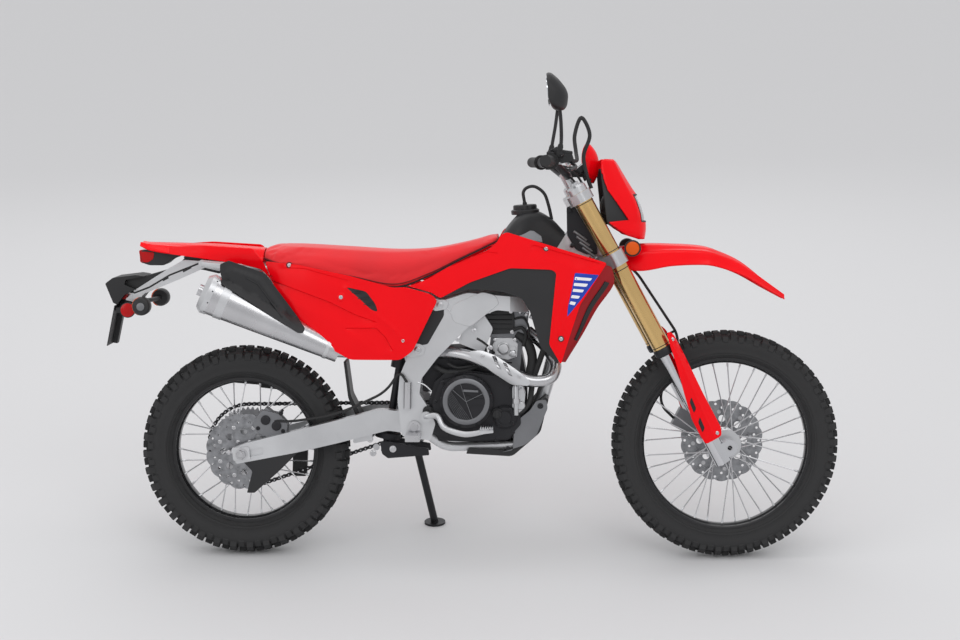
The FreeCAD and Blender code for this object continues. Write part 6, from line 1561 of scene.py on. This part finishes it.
def build_header_shield():
    """Bright shield that stands off the exhaust bend, with its slots and bolts."""
    shield, bolts = drafts(2)

    def y_at(x, z):
        return -165.5 + 0.010 * (z - table_at(HEADER_LINE, x)) ** 2

    skin(shield, round_corners(HEADER_SHIELD, 12), y_at, 2.5, 6.0, (),
         [round_corners(s, 2, 2) for s in SHIELD_SLOTS])
    piece("header_shield", shield, "chassis", "frame_silver", bevel=0.8, stands_for=("exhaust_shields",))
    for x, z in ((750, 643), (862, 581)):
        bolts.bolt((x, y_at(x, z) - 0.3, z), (0, -1, 0), 5.0, 3.6)
        bolts.tube([(x, y_at(x, z) + 2, z), (x, -146, z - 1)], 4.0, 10)
    piece("header_shield_bolts", bolts, "chassis", "steel", stands_for=("exhaust_shields",))


FRAME_LUGS = (
    ((496, 664), (520, 676), (556, 676), (574, 662), (566, 640), (530, 632), (512, 640)),
    ((556, 800), (574, 812), (634, 812), (646, 800), (636, 782), (604, 776), (580, 790)),
)
SPAR_FIELD = ((649, 775), (664, 800), (748, 836), (788, 826), (800, 800), (712, 728), (660, 742))
# Black sheet over the dark opening in front of the side panel: painted shade
OPENING_SHADE = ((584, 792), (630, 788), (630, 762), (580, 674), (540, 668), (530, 680))
FRAME_Y, LUG_Y, BEAD_Y = 122.5, 128.5, 122.2
# Place and radius
FRAME_BOLTS = ((550, LUG_Y, 656, 9.0), (618, LUG_Y, 795, 8.0), (543, FRAME_Y, 423, 8.0),
               (672, FRAME_Y, 690, 6.0), (772, FRAME_Y, 664, 6.0), (723, FRAME_Y, 716, 6.0))
# Radius and run of each weld bead
BEADS = ((2.6, ((633, 792), (648, 776), (660, 757))), (2.2, ((548, 556), (570, 548), (592, 528))))


def build_frame_fittings(side, word):
    """Lugs, mounting bolts, the pivot cap and the weld beads of one side of the frame."""
    lugs, bolts, beads, cap, dark = drafts(5)
    out = (0, side, 0)
    for outline in FRAME_LUGS:
        lugs.side_plate(outline, 7, side, FRAME_Y, LUG_Y)
    for x, y, z, radius in FRAME_BOLTS:
        bolts.bolt((x, side * y, z), out, radius, 5.0)
    cap.lathe([(16, -0.5), (16, 5), (13, 7), (12, 9), (6, 9), (5, 5)], (580, side * FRAME_Y, 467), out, 28)
    for radius, run in BEADS:
        beads.bend([(x, side * (BEAD_Y + rise), z) for (x, z), rise in zip(run, (0.0, 0.4, 0.0))], 5, radius,
                   8)
    lugs.side_plate(SPAR_FIELD, 10, side, 120, 125)
    # Black sheet over the opening in front of the side panel: painted shade
    dark.side_plate(OPENING_SHADE, 6, side, 120, 123.4)
    piece("opening_shade_" + word, dark, "chassis", "black_plastic", bevel=0.8)
    piece("frame_lugs_" + word, lugs, "chassis", "frame_silver", bevel=1.8)
    piece("frame_bolts_" + word, bolts, "chassis", "steel")
    piece("frame_beads_" + word, beads, "chassis", "frame_silver")
    piece("pivot_cap_" + word, cap, "chassis", "black_plastic", bevel=0.6)


SKID_CHEEK = ((806, 338), (842, 346), (846, 430), (894, 470), (914, 500), (944, 504), (949, 478), (914, 392),
              (878, 362))
HEAD_CAST = ((1004, 1094), (1030, 1092), (1064, 1034), (1098, 976), (1100, 946), (1066, 946), (1032, 962),
             (1006, 1006))
BRAKE_ARM = ((574, -122, 450), (576, -142, 453), (610, -146, 455), (634, -160, 420), (696, -168, 402),
             (750, -172, 411))
SHIFT_ARM = ((682, 92, 393), (705, 138, 396), (757, 150, 405), (794, 166, 408))


def build_pedals():
    """Forged arms of the brake pedal and the shift lever, with their toothed tips."""
    arms = Draft()
    arms.bend(BRAKE_ARM, 6, [9.0] * 25 + [8.5] * 6, 14)
    arms.lathe([(17, -9), (17, 9), (13, 11)], (576, -136, 451), (0, 1, 0), 24)
    arms.plate(((738, 404), (740, 418), (782, 424), (784, 410)), -186, -158)
    for x in range(742, 784, 7):
        arms.plate(((x, 416), (x + 2, 427), (x + 5, 427), (x + 6, 417)), -186, -158)
    arms.bend(SHIFT_ARM, 6, 7.0, 14)
    arms.tube([(794, 142, 408), (794, 178, 408)], 10.0, 16)
    piece("pedal_arms", arms, "chassis", "cast_alloy", bevel=0.6)


def build_guards(side, word):
    """Cheek of the skid plate and the dark casting by the steering head, with ribs lightened as painted
    highlight.
    """
    cheek, cast, bolts, ribs = drafts(4)
    out = (0, side, 0)

    def y_at(x, z):
        return side * (117 + 4 * ease((x - 860) / 40) - 3 * ease((z - 470) / 30))

    skin(cheek, round_corners(SKID_CHEEK, 8), y_at, 3.0, 8.0)
    for x, z, radius in ((926, 484, 7.0), (826, 352, 5.0)):
        bolts.bolt((x, y_at(x, z), z), out, radius, 4.0)
    piece("skid_cheek_" + word, cheek, "chassis", "grey_cast", bevel=1.0)
    piece("skid_bolts_" + word, bolts, "chassis", "dark_alloy")
    # The casting's ribs take the lighter grey cast finish: painted highlight
    for k in range(4):
        start = Vector((1026 + k * 9, side * 51, 1018 - k * 17))
        ribs.tube([start, start + Vector((40, 0, -28))], 5.0, 8)
    piece("head_ribs_highlight_" + word, ribs, "chassis", "grey_cast")
    cast.side_plate(HEAD_CAST, 8, side, 46, 51)
    for x, z in ((1016, 1080), (1084, 958), (1022, 974)):
        cast.lathe([(7, 0), (7, 3), (4, 4)], (x, side * 51, z), out, 14)
    piece("head_casting_" + word, cast, "chassis", "dark_alloy", bevel=1.2)


class MOTO_OT_engine(bpy.types.Operator):
    """Make the fittings that show on the open engine"""

    bl_idname = "moto.engine"
    bl_label = "Engine fittings"

    def execute(self, context):
        build_clutch(context.scene.moto_engine)
        build_engine_top()
        build_header_shield()
        return {"FINISHED"}


class MOTO_OT_frame_fittings(bpy.types.Operator):
    """Make the lugs, bolts, guards and castings on the frame"""

    bl_idname = "moto.frame_fittings"
    bl_label = "Frame fittings"

    def execute(self, context):
        for side, word in SIDES:
            build_frame_fittings(side, word)
        build_pedals()
        for side, word in SIDES:
            build_guards(side, word)
        return {"FINISHED"}


# Rear end
SHIELD = ((-51, 902), (-50, 922), (-24, 933), (84, 895), (106, 866), (208, 726), (203, 713), (188, 713),
          (-42, 862))
SHIELD_INNER = ((-36, 900), (-20, 918), (76, 882), (94, 856), (180, 738), (176, 732), (-28, 868))
TAIL_SIDE = ((-226, 968), (-115, 974), (40, 965), (72, 925), (104, 862), (92, 878), (66, 902), (0, 918),
             (-115, 934), (-222, 946))
TAIL_HOUSING = ((-318, 955), (-290, 958), (-200, 956), (-186, 940), (-224, 926), (-246, 908), (-292, 908),
                (-316, 916))
TAIL_LENS = ((-326, 955), (-300, 957), (-262, 950), (-268, 926), (-292, 913), (-320, 915))
ARM_CHEEK = ((-184, 926), (-240, 894), (-339, 831), (-371, 800), (-333, 790), (-311, 819), (-197, 866),
             (-121, 900), (-77, 919))
PLATE_EDGE = ((-387, 837), (-340, 820), (-293, 838), (-229, 876), (-166, 901), (-119, 920))
TAIL_Y = ((-226, 79), (-115, 101), (0, 103.5), (60, 107), (104, 122))
SIDE_LENS = ((-318, 951), (-276, 949), (-280, 928), (-296, 917), (-314, 918))
PLATE_ARM = ((-372, 838), (-386, 838), (-398, 780), (-420, 662), (-404, 660), (-388, 735), (-378, 780))
AXLE_BLOCK = ((-26, 306), (-30, 348), (24, 350), (28, 308))
CALIPER = ((30, 420), (62, 462), (112, 450), (142, 418), (136, 384), (88, 372), (46, 388))
SILENCER_REAR, SILENCER_FRONT = Vector((-87, -160, 829.5)), Vector((307.5, -130, 648))
SILENCER_SIDES = 48
SHIELD_GAP = 7.0
SIGNAL_X, SIGNAL_Y, SIGNAL_Z = -296, 136, 791


def silencer_frame(share):
    """Centre, half widths and directions of the silencer's oval, from its rear end to its front end."""
    way = (SILENCER_FRONT - SILENCER_REAR).normalized()
    across = (Vector((0, 1, 0)) - way * way.y).normalized()
    centre = SILENCER_REAR.lerp(SILENCER_FRONT, share)
    return centre, 48 - 18 * share, 62 - 30 * share, across, way.cross(across)


def silencer_ring(share, grow):
    """Oval round the silencer, a little outside its skin."""
    centre, wide, tall, across, up = silencer_frame(share)
    turns = [2 * math.pi * i / SILENCER_SIDES for i in range(SILENCER_SIDES)]
    return [centre + across * math.cos(turn) * (wide + grow) + up * math.sin(turn) * (tall + grow)
            for turn in turns]


def shield_y(x, z):
    """Outer side of the shield over the silencer, with its sunken field."""
    length = SILENCER_FRONT.x - SILENCER_REAR.x
    centre, wide, tall, _, _ = silencer_frame(min(max((x - SILENCER_REAR.x) / length, 0.0), 1.0))
    rise = (z - centre.z) * 0.91 / (tall + SHIELD_GAP)
    bulge = math.sqrt(max(1 - min(rise * rise, 1.0), 0.08))
    return centre.y - (wide + SHIELD_GAP) * bulge - facet((x, z), SHIELD_INNER, 5.0, 9.0)


def build_silencer():
    """Bands, rivets and end of the silencer, and the black shield along it."""
    bands, rivets, shield, dark = drafts(4)
    for low, high in ((0.085, 0.145), (0.90, 0.925)):
        bands.loft([silencer_ring(low, 0.2), silencer_ring(low, 1.8), silencer_ring(high, 1.8),
                    silencer_ring(high, 0.2)])
    centre, *_, up = silencer_frame(0.09)
    bands.bolt(centre + up * 62, up, 5.0, 7.0)
    bands.loft([silencer_ring(share, grow) for share, grow in ((0.03, 1.6), (-0.012, 2.0), (-0.048, -12.0),
                                                                (-0.046, -15.0))])
    piece("silencer_bands", bands, "chassis", "frame_silver", angle=30, bevel=0.5)
    centre, wide, tall, across, up = silencer_frame(0.02)
    for k in range(10):
        turn = 2 * math.pi * (k + 0.5) / 10
        out = across * math.cos(turn) * wide + up * math.sin(turn) * tall
        rivets.lathe([(3.2, -1), (3.2, 1), (1.5, 2.2)], centre + out, out, 10)
    piece("silencer_rivets", rivets, "chassis", "dark_alloy")
    rim = [Vector(p) for p in SHIELD_INNER + SHIELD_INNER[:1]]
    skin(shield, round_corners(SHIELD, 4), shield_y, 2.4, 7.0, (rim, beside(rim, -9.0)))
    shield.tube([(x, shield_y(x, z) - 0.8, z) for x, z in ((30, 880), (64, 862), (100, 812), (140, 762))],
                2.6, 8)
    piece("silencer_shield", shield, "chassis", "black_plastic", bevel=0.8, stands_for=("exhaust_shields",))
    for x, z in ((-34, 900), (188, 728)):
        dark.tube([(x, shield_y(x, z) + 2, z), (x, shield_y(x, z) + 14, z - 3)], 4.0, 10)
    piece("silencer_shield_bolts", dark, "chassis", "steel", stands_for=("exhaust_shields",))


def build_signal(side, word):
    """Turn signal with its lens wrapped round the back."""
    signal, glass, amber = drafts(3)
    spot = Vector((SIGNAL_X, side * SIGNAL_Y, SIGNAL_Z))
    signal.lathe([(12, -6), (24, -2), (28, 6), (28, 30), (25, 37), (20, 40)], spot, (0, side, 0), 36)
    glass.lathe([(12, 40), (12, 42), (9, 43.5)], spot, (0, side, 0), 24)
    piece("rear_signal_" + word, signal, "chassis", "black_plastic", bevel=0.8)
    piece("rear_signal_cap_" + word, glass, "chassis", "grey_cast")
    arc = [on_circle(1, math.radians(110 + 140 * k / 16)) for k in range(17)]
    rings = []
    for along, radius in ((1, 27), (4, 29.2), (28, 29.2), (32, 27)):
        spot = Vector((SIGNAL_X, side * (SIGNAL_Y + along), SIGNAL_Z))
        rings.append([spot + way * radius for way in arc] + [spot + way * (radius - 3) for way in arc[::-1]])
    amber.loft(rings)
    piece("rear_signal_lens_" + word, amber, "chassis", "lamp_amber")


def build_tail_side(side, word):
    """Tail side, cheek and slots of the plate's arm, reflector and turn signal of one side."""
    sheet, cheek, slots, rim, lens = drafts(5)
    out = (0, side, 0)

    def y_at(x, z):
        return side * (table_at(TAIL_Y, x) - 5 * ease((z - 945) / 30) - 2.5 * ease((932 - z) / 20))

    skin(sheet, round_corners(TAIL_SIDE, 8), y_at, 2.4, 8.0)
    piece("tail_side_" + word, sheet, "chassis", "red_gloss", bevel=0.8)
    cheek.side_plate(ARM_CHEEK, 6, side, 42, 46)
    for x, z, long in ((-160, 900, 26), (-232, 868, 18)):
        slots.plate(((x, z), (x - long, z - long * 0.52), (x - long - 2, z - long * 0.52 + 5),
                     (x - 2, z + 6)), *sorted((side * 45.2, side * 46.8)))
    slots.tube([(x, side * 42, z + 2) for x, z in PLATE_EDGE], 5.0, 10)
    piece("plate_arm_cheek_" + word, cheek, "chassis", "frame_silver", bevel=1.0)
    piece("plate_arm_slots_" + word, slots, "chassis", "black_plastic")
    spot = (-352, side * 92, 773)
    rim.lathe([(8, -8), (22, -5), (24, 0), (24, 6), (22, 7)], spot, out, 32)
    rim.tube([spot, (-372, side * 84, 772)], 6.0, 10)
    lens.lathe([(21.5, 6), (21.5, 8), (16, 9.5), (3, 10)], spot, out, 32)
    piece("rear_reflector_rim_" + word, rim, "chassis", "black_plastic")
    piece("rear_reflector_" + word, lens, "chassis", "lamp_red")
    build_signal(side, word)


def build_tail():
    """Both sides of the tail, the plate with its lamp, and the tail light with its ribbed lens."""
    for side, word in SIDES:
        build_tail_side(side, word)
    bracket, small, housing, lens = drafts(4)
    bracket.plate(PLATE_ARM, -14, 14)
    bracket.plate(((-393, 786), (-396, 786), (-422, 660), (-419, 660)), -86, 86)
    bracket.block((-388, -96, 764), (-366, 96, 780))
    bracket.block((-376, -30, 776), (-330, 30, 800))
    for side in (-1, 1):
        bracket.tube([(-332, side * 26, 790), (-310, side * 70, 790), (-296, side * 132, 790)], 7.0, 12)
    piece("number_plate", bracket, "chassis", "black_plastic", bevel=0.8)
    small.block((-384, -34, 800), (-368, 34, 832))
    piece("plate_lamp", small, "chassis", "lamp_red", bevel=2.0)
    housing.plate(round_corners(TAIL_HOUSING, 7), -44, 44)
    piece("tail_housing", housing, "chassis", "black_plastic", bevel=2.5, stands_for=("tail_light",))
    lens.plate(round_corners(TAIL_LENS, 6), -39, 39)
    for y in range(-33, 34, 6):
        lens.tube([(-323, y, 952), (-321, y, 918)], 2.4, 8)
    for side in (-1, 1):
        lens.side_plate(SIDE_LENS, 5, side, 43, 45.5)
    piece("tail_lens", lens, "chassis", "lamp_red", bevel=1.2, stands_for=("tail_light",))


def build_arm_fittings(side, word):
    """Axle block, nuts and adjuster of one side of the swingarm, and the bolts of the linkage."""
    blocks, nuts = drafts(2)
    out = (0, side, 0)
    blocks.side_plate(AXLE_BLOCK, 6, side, 112.3, 118)
    piece("axle_block_" + word, blocks, "chassis", "frame_silver", bevel=1.2)
    for profile, sides in (([(19, -0.3), (19, 2.2), (17, 2.4)], 32), ([(15.5, 2), (15.5, 12), (14, 14)], 6),
                           ([(9, 0), (9, 17), (7.6, 18.5)], 20)):
        nuts.lathe(profile, (0, side * 118, REAR_TYRE_R), out, sides)
    nuts.tube([(-52, side * 96, 330), (-28, side * 96, 329)], 4.5, 12)
    nuts.lathe([(8, -46), (8, -38)], (0, side * 96, 329), (1, 0, 0), 6)
    for x, y, z in ((404, 57, 324), (466, 57, 337), (395, 60, 368)):
        nuts.bolt((x, side * y, z), out, 8.0, 6.0)
    nuts.lathe([(20, 0), (20, 3), (13, 4), (12, 8), (6, 8)], (538, side * 126, 417), out, 24)
    piece("arm_nuts_" + word, nuts, "chassis", "steel")


def build_caliper():
    """Halves of the rear caliper with their caps, bleed screw and bolts."""
    body, trim = drafts(2)
    out = (0, -1, 0)
    for low, high in ((-86, -70), (-54, -44)):
        body.plate(round_corners(CALIPER, 9), low, high)
    for x, z in ((72, 430), (106, 412)):
        trim.lathe([(15, 0), (15, 4), (12, 6), (6, 6)], (x, -86, z), out, 24)
    trim.lathe([(6, 0), (6, 8), (4, 10), (4, 18)], (118, -78, 446), (0.4, 0, 0.9), 12)
    for x, z in ((48, 404), (126, 396)):
        trim.bolt((x, -86, z), out, 5.0, 4.0)
    piece("caliper_body", body, "chassis", "grey_cast", bevel=1.6)
    piece("caliper_trim", trim, "chassis", "dark_alloy", bevel=0.5)


class MOTO_OT_rear_end(bpy.types.Operator):
    """Make the silencer's bands and shield, the tail, the lamps and the swingarm's fittings"""

    bl_idname = "moto.rear_end"
    bl_label = "Rear end"

    def execute(self, context):
        build_silencer()
        build_tail()
        for side, word in SIDES:
            build_arm_fittings(side, word)
        build_caliper()
        return {"FINISHED"}


# Hand controls and mirrors
class ControlSettings(bpy.types.PropertyGroup):
    hose: length_prop("Hose radius", "Radius of the hoses over the handlebar", 0.0045)
    stalk: length_prop("Stalk radius", "Radius of the mirror stalks", 0.0055)


MIRROR_SIDE = ((942, 1501), (957, 1501), (979, 1482), (1001, 1454), (1008, 1434), (1005, 1402), (995, 1387),
               (969, 1387), (957, 1399), (950, 1440))
MIRROR_Y = 290.0
MIRROR_SPOTS = ((-1, "right", ((980, -272, 1258), (987, -274, 1292), (987, -278, 1340), (983, -285, 1388),
                               (976, -290, 1412))),
                (1, "left", ((952, 272, 1244), (958, 274, 1283), (967, 278, 1335), (973, 285, 1382),
                             (976, 290, 1408))))
MIRROR_RIM = Vector((948, 0, 1446))
MIRROR_HALF = 74
MIRROR_RINGS = 18
CYLINDER = ((966, 1246), (966, 1270), (1020, 1262), (1026, 1240), (990, 1232))
RESERVOIR = ((964, 1268), (964, 1276), (1021, 1268), (1022, 1260))
LEVERS = (
    ((1008, -252, 1238), (1026, -262, 1228), (1030, -300, 1222), (1020, -350, 1218), (1012, -392, 1216)),
    ((966, 252, 1216), (982, 262, 1204), (986, 300, 1198), (978, 350, 1194), (970, 392, 1192)),
)
# Share of the hose radius, steps and sides of each hose, and the points of its run
BAR_HOSES = (
    (1.33, 10, 12, ((1014, -216, 1240), (1034, -150, 1238), (1032, -80, 1262), (1028, -62, 1312),
                    (1048, -58, 1366), (1074, -56, 1314), (1056, -54, 1250), (1066, -60, 1190),
                    (1080, -62, 1150))),
    (0.8, 8, 10, ((960, 226, 1214), (1000, 160, 1210), (1040, 90, 1204), (1062, 60, 1170))),
    (0.8, 8, 10, ((956, -214, 1236), (992, -150, 1216), (1030, -84, 1196), (1056, -58, 1158))),
    (0.7, 8, 10, ((950, -214, 1228), (984, -140, 1200), (1020, -78, 1180), (1046, -56, 1146))),
)


def signed_power(value, power):
    """Power of a value that keeps its sign."""
    return abs(value) ** power * (1 if value > 0 else -1)


def build_mirror(side, word, path, control):
    """Pointed mirror head with its glass, on a bent stalk with a rubber boot."""
    head, stalk, glass, boot = drafts(4)
    outline = round_corners(MIRROR_SIDE, 10, 3)
    rings = []
    for k in range(MIRROR_RINGS + 1):
        across = math.sin((k / MIRROR_RINGS * 2 - 1) * math.pi / 2 * 0.97)
        shrink = (1 - abs(across) ** 2.8) ** 0.5
        rings.append([Vector((MIRROR_RIM.x + (p.x - MIRROR_RIM.x) * shrink,
                              side * MIRROR_Y + across * MIRROR_HALF,
                              MIRROR_RIM.z + (p.y - MIRROR_RIM.z) * (0.34 + 0.64 * shrink)))
                      for p in outline])
    head.loft(rings)
    piece("mirror_head_" + word, head, "bar", "black_plastic", angle=50, bevel=0.6,
          stands_for=("mirrors",))
    plate = []
    for turn in (2 * math.pi * k / 40 for k in range(40)):
        wide, tall = 64 * signed_power(math.cos(turn), 0.8), 44 * signed_power(math.sin(turn), 0.8)
        plate.append(Vector((949.2 - 0.10 * tall, side * MIRROR_Y + wide, 1445 + tall)))
    glass.prism(plate, (-3.2, 0, 0))
    piece("mirror_glass_" + word, glass, "bar", "mirror_glass", stands_for=("mirrors",))
    stalk.bend(path, 8, control.stalk * 1000, 14)
    piece("mirror_stalk_" + word, stalk, "bar", "black_plastic", stands_for=("mirrors",))
    foot, knee, neck, top = (Vector(path[k]) for k in (0, 1, -2, -1))
    boot.lathe([(11, -6), (12, 0), (10, 8), (10.5, 11), (8.5, 20), (9, 23), (7, 32)], foot, knee - foot, 24)
    boot.lathe([(9, -12), (11, -4), (9, 6)], top, top - neck, 20)
    piece("mirror_boot_" + word, boot, "bar", "grip_rubber", stands_for=("mirrors",))


def build_bar_gear(control):
    """Brake cylinder with its reservoir, the levers, switches, cable loops and the bar's caps."""
    black, bright, hose = drafts(3)
    black.prism([(p.x, -236, p.y) for p in round_corners(CYLINDER, 6)], (0, -38, 0))
    black.prism([(p.x, -234, p.y) for p in round_corners(RESERVOIR, 3)], (0, -42, 0))
    for points in LEVERS:
        black.bend(points, 8, [5.5] * 16 + [5.0] * 16 + [6.0], 12)
    black.block((936, 232, 1198), (972, 268, 1240))
    black.block((944, -286, 1228), (966, -262, 1266))
    piece("bar_gear", black, "bar", "black_plastic", bevel=1.6)
    for x, z in ((972, 1271), (1014, 1265)):
        bright.bolt((x, -251, z), (0.1, 0, 1), 3.2, 4.0)
    bright.lathe([(12, -8), (12, 8), (9, 10)], (984, -230, 1240), (0, 1, 0), 20)
    bright.lathe([(9, 0), (9, 12), (6, 14)], (1006, -250, 1236), (0.6, -0.2, -0.7), 16)
    piece("bar_gear_bright", bright, "bar", "cast_alloy", bevel=0.6)
    for share, steps, sides, points in BAR_HOSES:
        hose.bend(points, steps, control.hose * share * 1000, sides)
    piece("bar_hoses", hose, "bar", "grip_rubber")


class MOTO_OT_controls(bpy.types.Operator):
    """Make the mirrors and the gear on the handlebar"""

    bl_idname = "moto.controls"
    bl_label = "Mirrors and hand controls"

    def execute(self, context):
        control = context.scene.moto_control
        for side, word, path in MIRROR_SPOTS:
            build_mirror(side, word, path, control)
        build_bar_gear(control)
        return {"FINISHED"}


# Stage
def floor_material(colour):
    """Matte floor in the background's grey."""
    material = bpy.data.materials.new("studio_floor")
    material.use_nodes = True
    set_inputs(material.node_tree.nodes["Principled BSDF"],
               {"Base Color": (*colour, 1.0), "Roughness": 0.75, "Specular IOR Level": 0.2})
    return material


def build_world(colour, daylight):
    """Even light from all round; the camera and shiny pieces see the background's own grey."""
    world = bpy.data.worlds.new("studio")
    bpy.context.scene.world = world
    world.use_nodes = True
    tree = world.node_tree
    light = tree.nodes["Background"]
    set_inputs(light, {"Color": (1.0, 1.0, 1.0, 1.0), "Strength": daylight})
    seen = add_node(tree, "ShaderNodeBackground", {"Color": (*colour, 1.0), "Strength": 1.0})
    path = add_node(tree, "ShaderNodeLightPath")
    either = add_node(tree, "ShaderNodeMath", operation="MAXIMUM")
    any_of = add_node(tree, "ShaderNodeMath", operation="MAXIMUM")
    mix = add_node(tree, "ShaderNodeMixShader")
    wire(tree, (path, "Is Camera Ray", either, 0), (path, "Is Glossy Ray", either, 1), (either, 0, any_of, 0),
         (path, "Is Transmission Ray", any_of, 1), (any_of, 0, mix, 0), (light, 0, mix, 1), (seen, 0, mix, 2),
         (mix, 0, tree.nodes["World Output"], 0))


def soft_box(name, place, target, size, power):
    """Rectangular lamp that looks at a target."""
    light = bpy.data.lights.new(name, "AREA")
    light.shape = "RECTANGLE"
    light.size, light.size_y = size
    light.energy = power
    item = bpy.data.objects.new(name, light)
    item.location = place
    item.rotation_euler = (Vector(target) - Vector(place)).to_track_quat("-Z", "Y").to_euler()
    link(item)


def build_camera(stage):
    """Camera of the photograph, carried along as the motorcycle leans."""
    turn, tilt = stage.camera_turn, stage.camera_tilt
    way = Vector((-math.sin(turn) * math.cos(tilt), math.cos(turn) * math.cos(tilt), -math.sin(tilt)))
    right = way.cross((0, 0, 1)).normalized()
    place = CHASSIS @ (Vector((stage.camera_x, stage.camera_y, stage.camera_z)) * 1000)
    data = bpy.data.cameras.new("camera")
    data.lens = stage.lens
    data.sensor_width = 36.0
    data.clip_end = 200.0
    item = bpy.data.objects.new("camera", data)
    turned = UPRIGHT @ columns(right, right.cross(way), -way)
    item.matrix_world = Matrix.Translation(place) @ turned.to_4x4()
    link(item)
    bpy.context.scene.camera = item


SOFT_BOXES = (
    ("key", (1.6, -4.2, 4.6), (0.1, 0.0, 0.6), (3.2, 2.4), 46.0),
    ("fill", (-3.4, -3.2, 2.6), (-0.2, 0.0, 0.7), (2.4, 2.4), 18.0),
    ("overhead", (0.0, 0.3, 4.8), (0.0, 0.0, 0.6), (5.0, 1.2), 30.0),
    ("back", (-0.5, 4.4, 3.0), (0.0, 0.0, 0.8), (5.0, 2.0), 26.0),
)


class MOTO_OT_stage(bpy.types.Operator):
    """Floor, lights, camera and view of the photograph"""

    bl_idname = "moto.stage"
    bl_label = "Stage"

    def execute(self, context):
        stage = context.scene.moto_stage
        half = stage.floor_size / 2
        mesh = bpy.data.meshes.new("floor")
        mesh.from_pydata([(-half, -half, 0), (half, -half, 0), (half, half, 0), (-half, half, 0)], [],
                         [(0, 1, 2, 3)])
        mesh.materials.append(floor_material(stage.floor))
        floor = bpy.data.objects.new("floor", mesh)
        link(floor)
        build_world(stage.floor, stage.daylight)
        for box in SOFT_BOXES:
            soft_box(*box)
        build_camera(stage)
        context.scene.view_settings.view_transform = "Standard"
        return {"FINISHED"}


OPERATORS = (MOTO_OT_stage, MOTO_OT_finishes, MOTO_OT_tyres, MOTO_OT_wheels, MOTO_OT_chain,
             MOTO_OT_side_bodywork, MOTO_OT_mudguards, MOTO_OT_seat, MOTO_OT_front_end, MOTO_OT_engine,
             MOTO_OT_frame_fittings, MOTO_OT_rear_end, MOTO_OT_controls)


class MOTO_PT_panel(bpy.types.Panel):
    bl_label = "Dual Sport Motorcycle"
    bl_idname = "MOTO_PT_panel"
    bl_space_type = "VIEW_3D"
    bl_region_type = "UI"
    bl_category = "Motorcycle"

    def draw(self, context):
        for operator in OPERATORS:
            self.layout.operator(operator.bl_idname)


SETTINGS = {"moto_stage": StageSettings, "moto_finish": FinishSettings, "moto_wheel": WheelSettings,
            "moto_body": BodySettings, "moto_seat": SeatSettings, "moto_engine": EngineSettings,
            "moto_control": ControlSettings}


def register():
    """Add the settings, the operators and the panel to Blender."""
    for group in SETTINGS.values():
        bpy.utils.register_class(group)
    for name, group in SETTINGS.items():
        setattr(bpy.types.Scene, name, PointerProperty(type=group))
    for entry in (*OPERATORS, MOTO_PT_panel):
        bpy.utils.register_class(entry)


def unregister():
    """Take everything out again that register added."""
    for entry in (MOTO_PT_panel, *reversed(OPERATORS)):
        bpy.utils.unregister_class(entry)
    for name, group in SETTINGS.items():
        delattr(bpy.types.Scene, name)
        bpy.utils.unregister_class(group)


def main():
    """Run all operators in turn."""
    register()
    for operator in OPERATORS:
        group, name = operator.bl_idname.split(".")
        getattr(getattr(bpy.ops, group), name)()


if __name__ == "__main__":
    main()
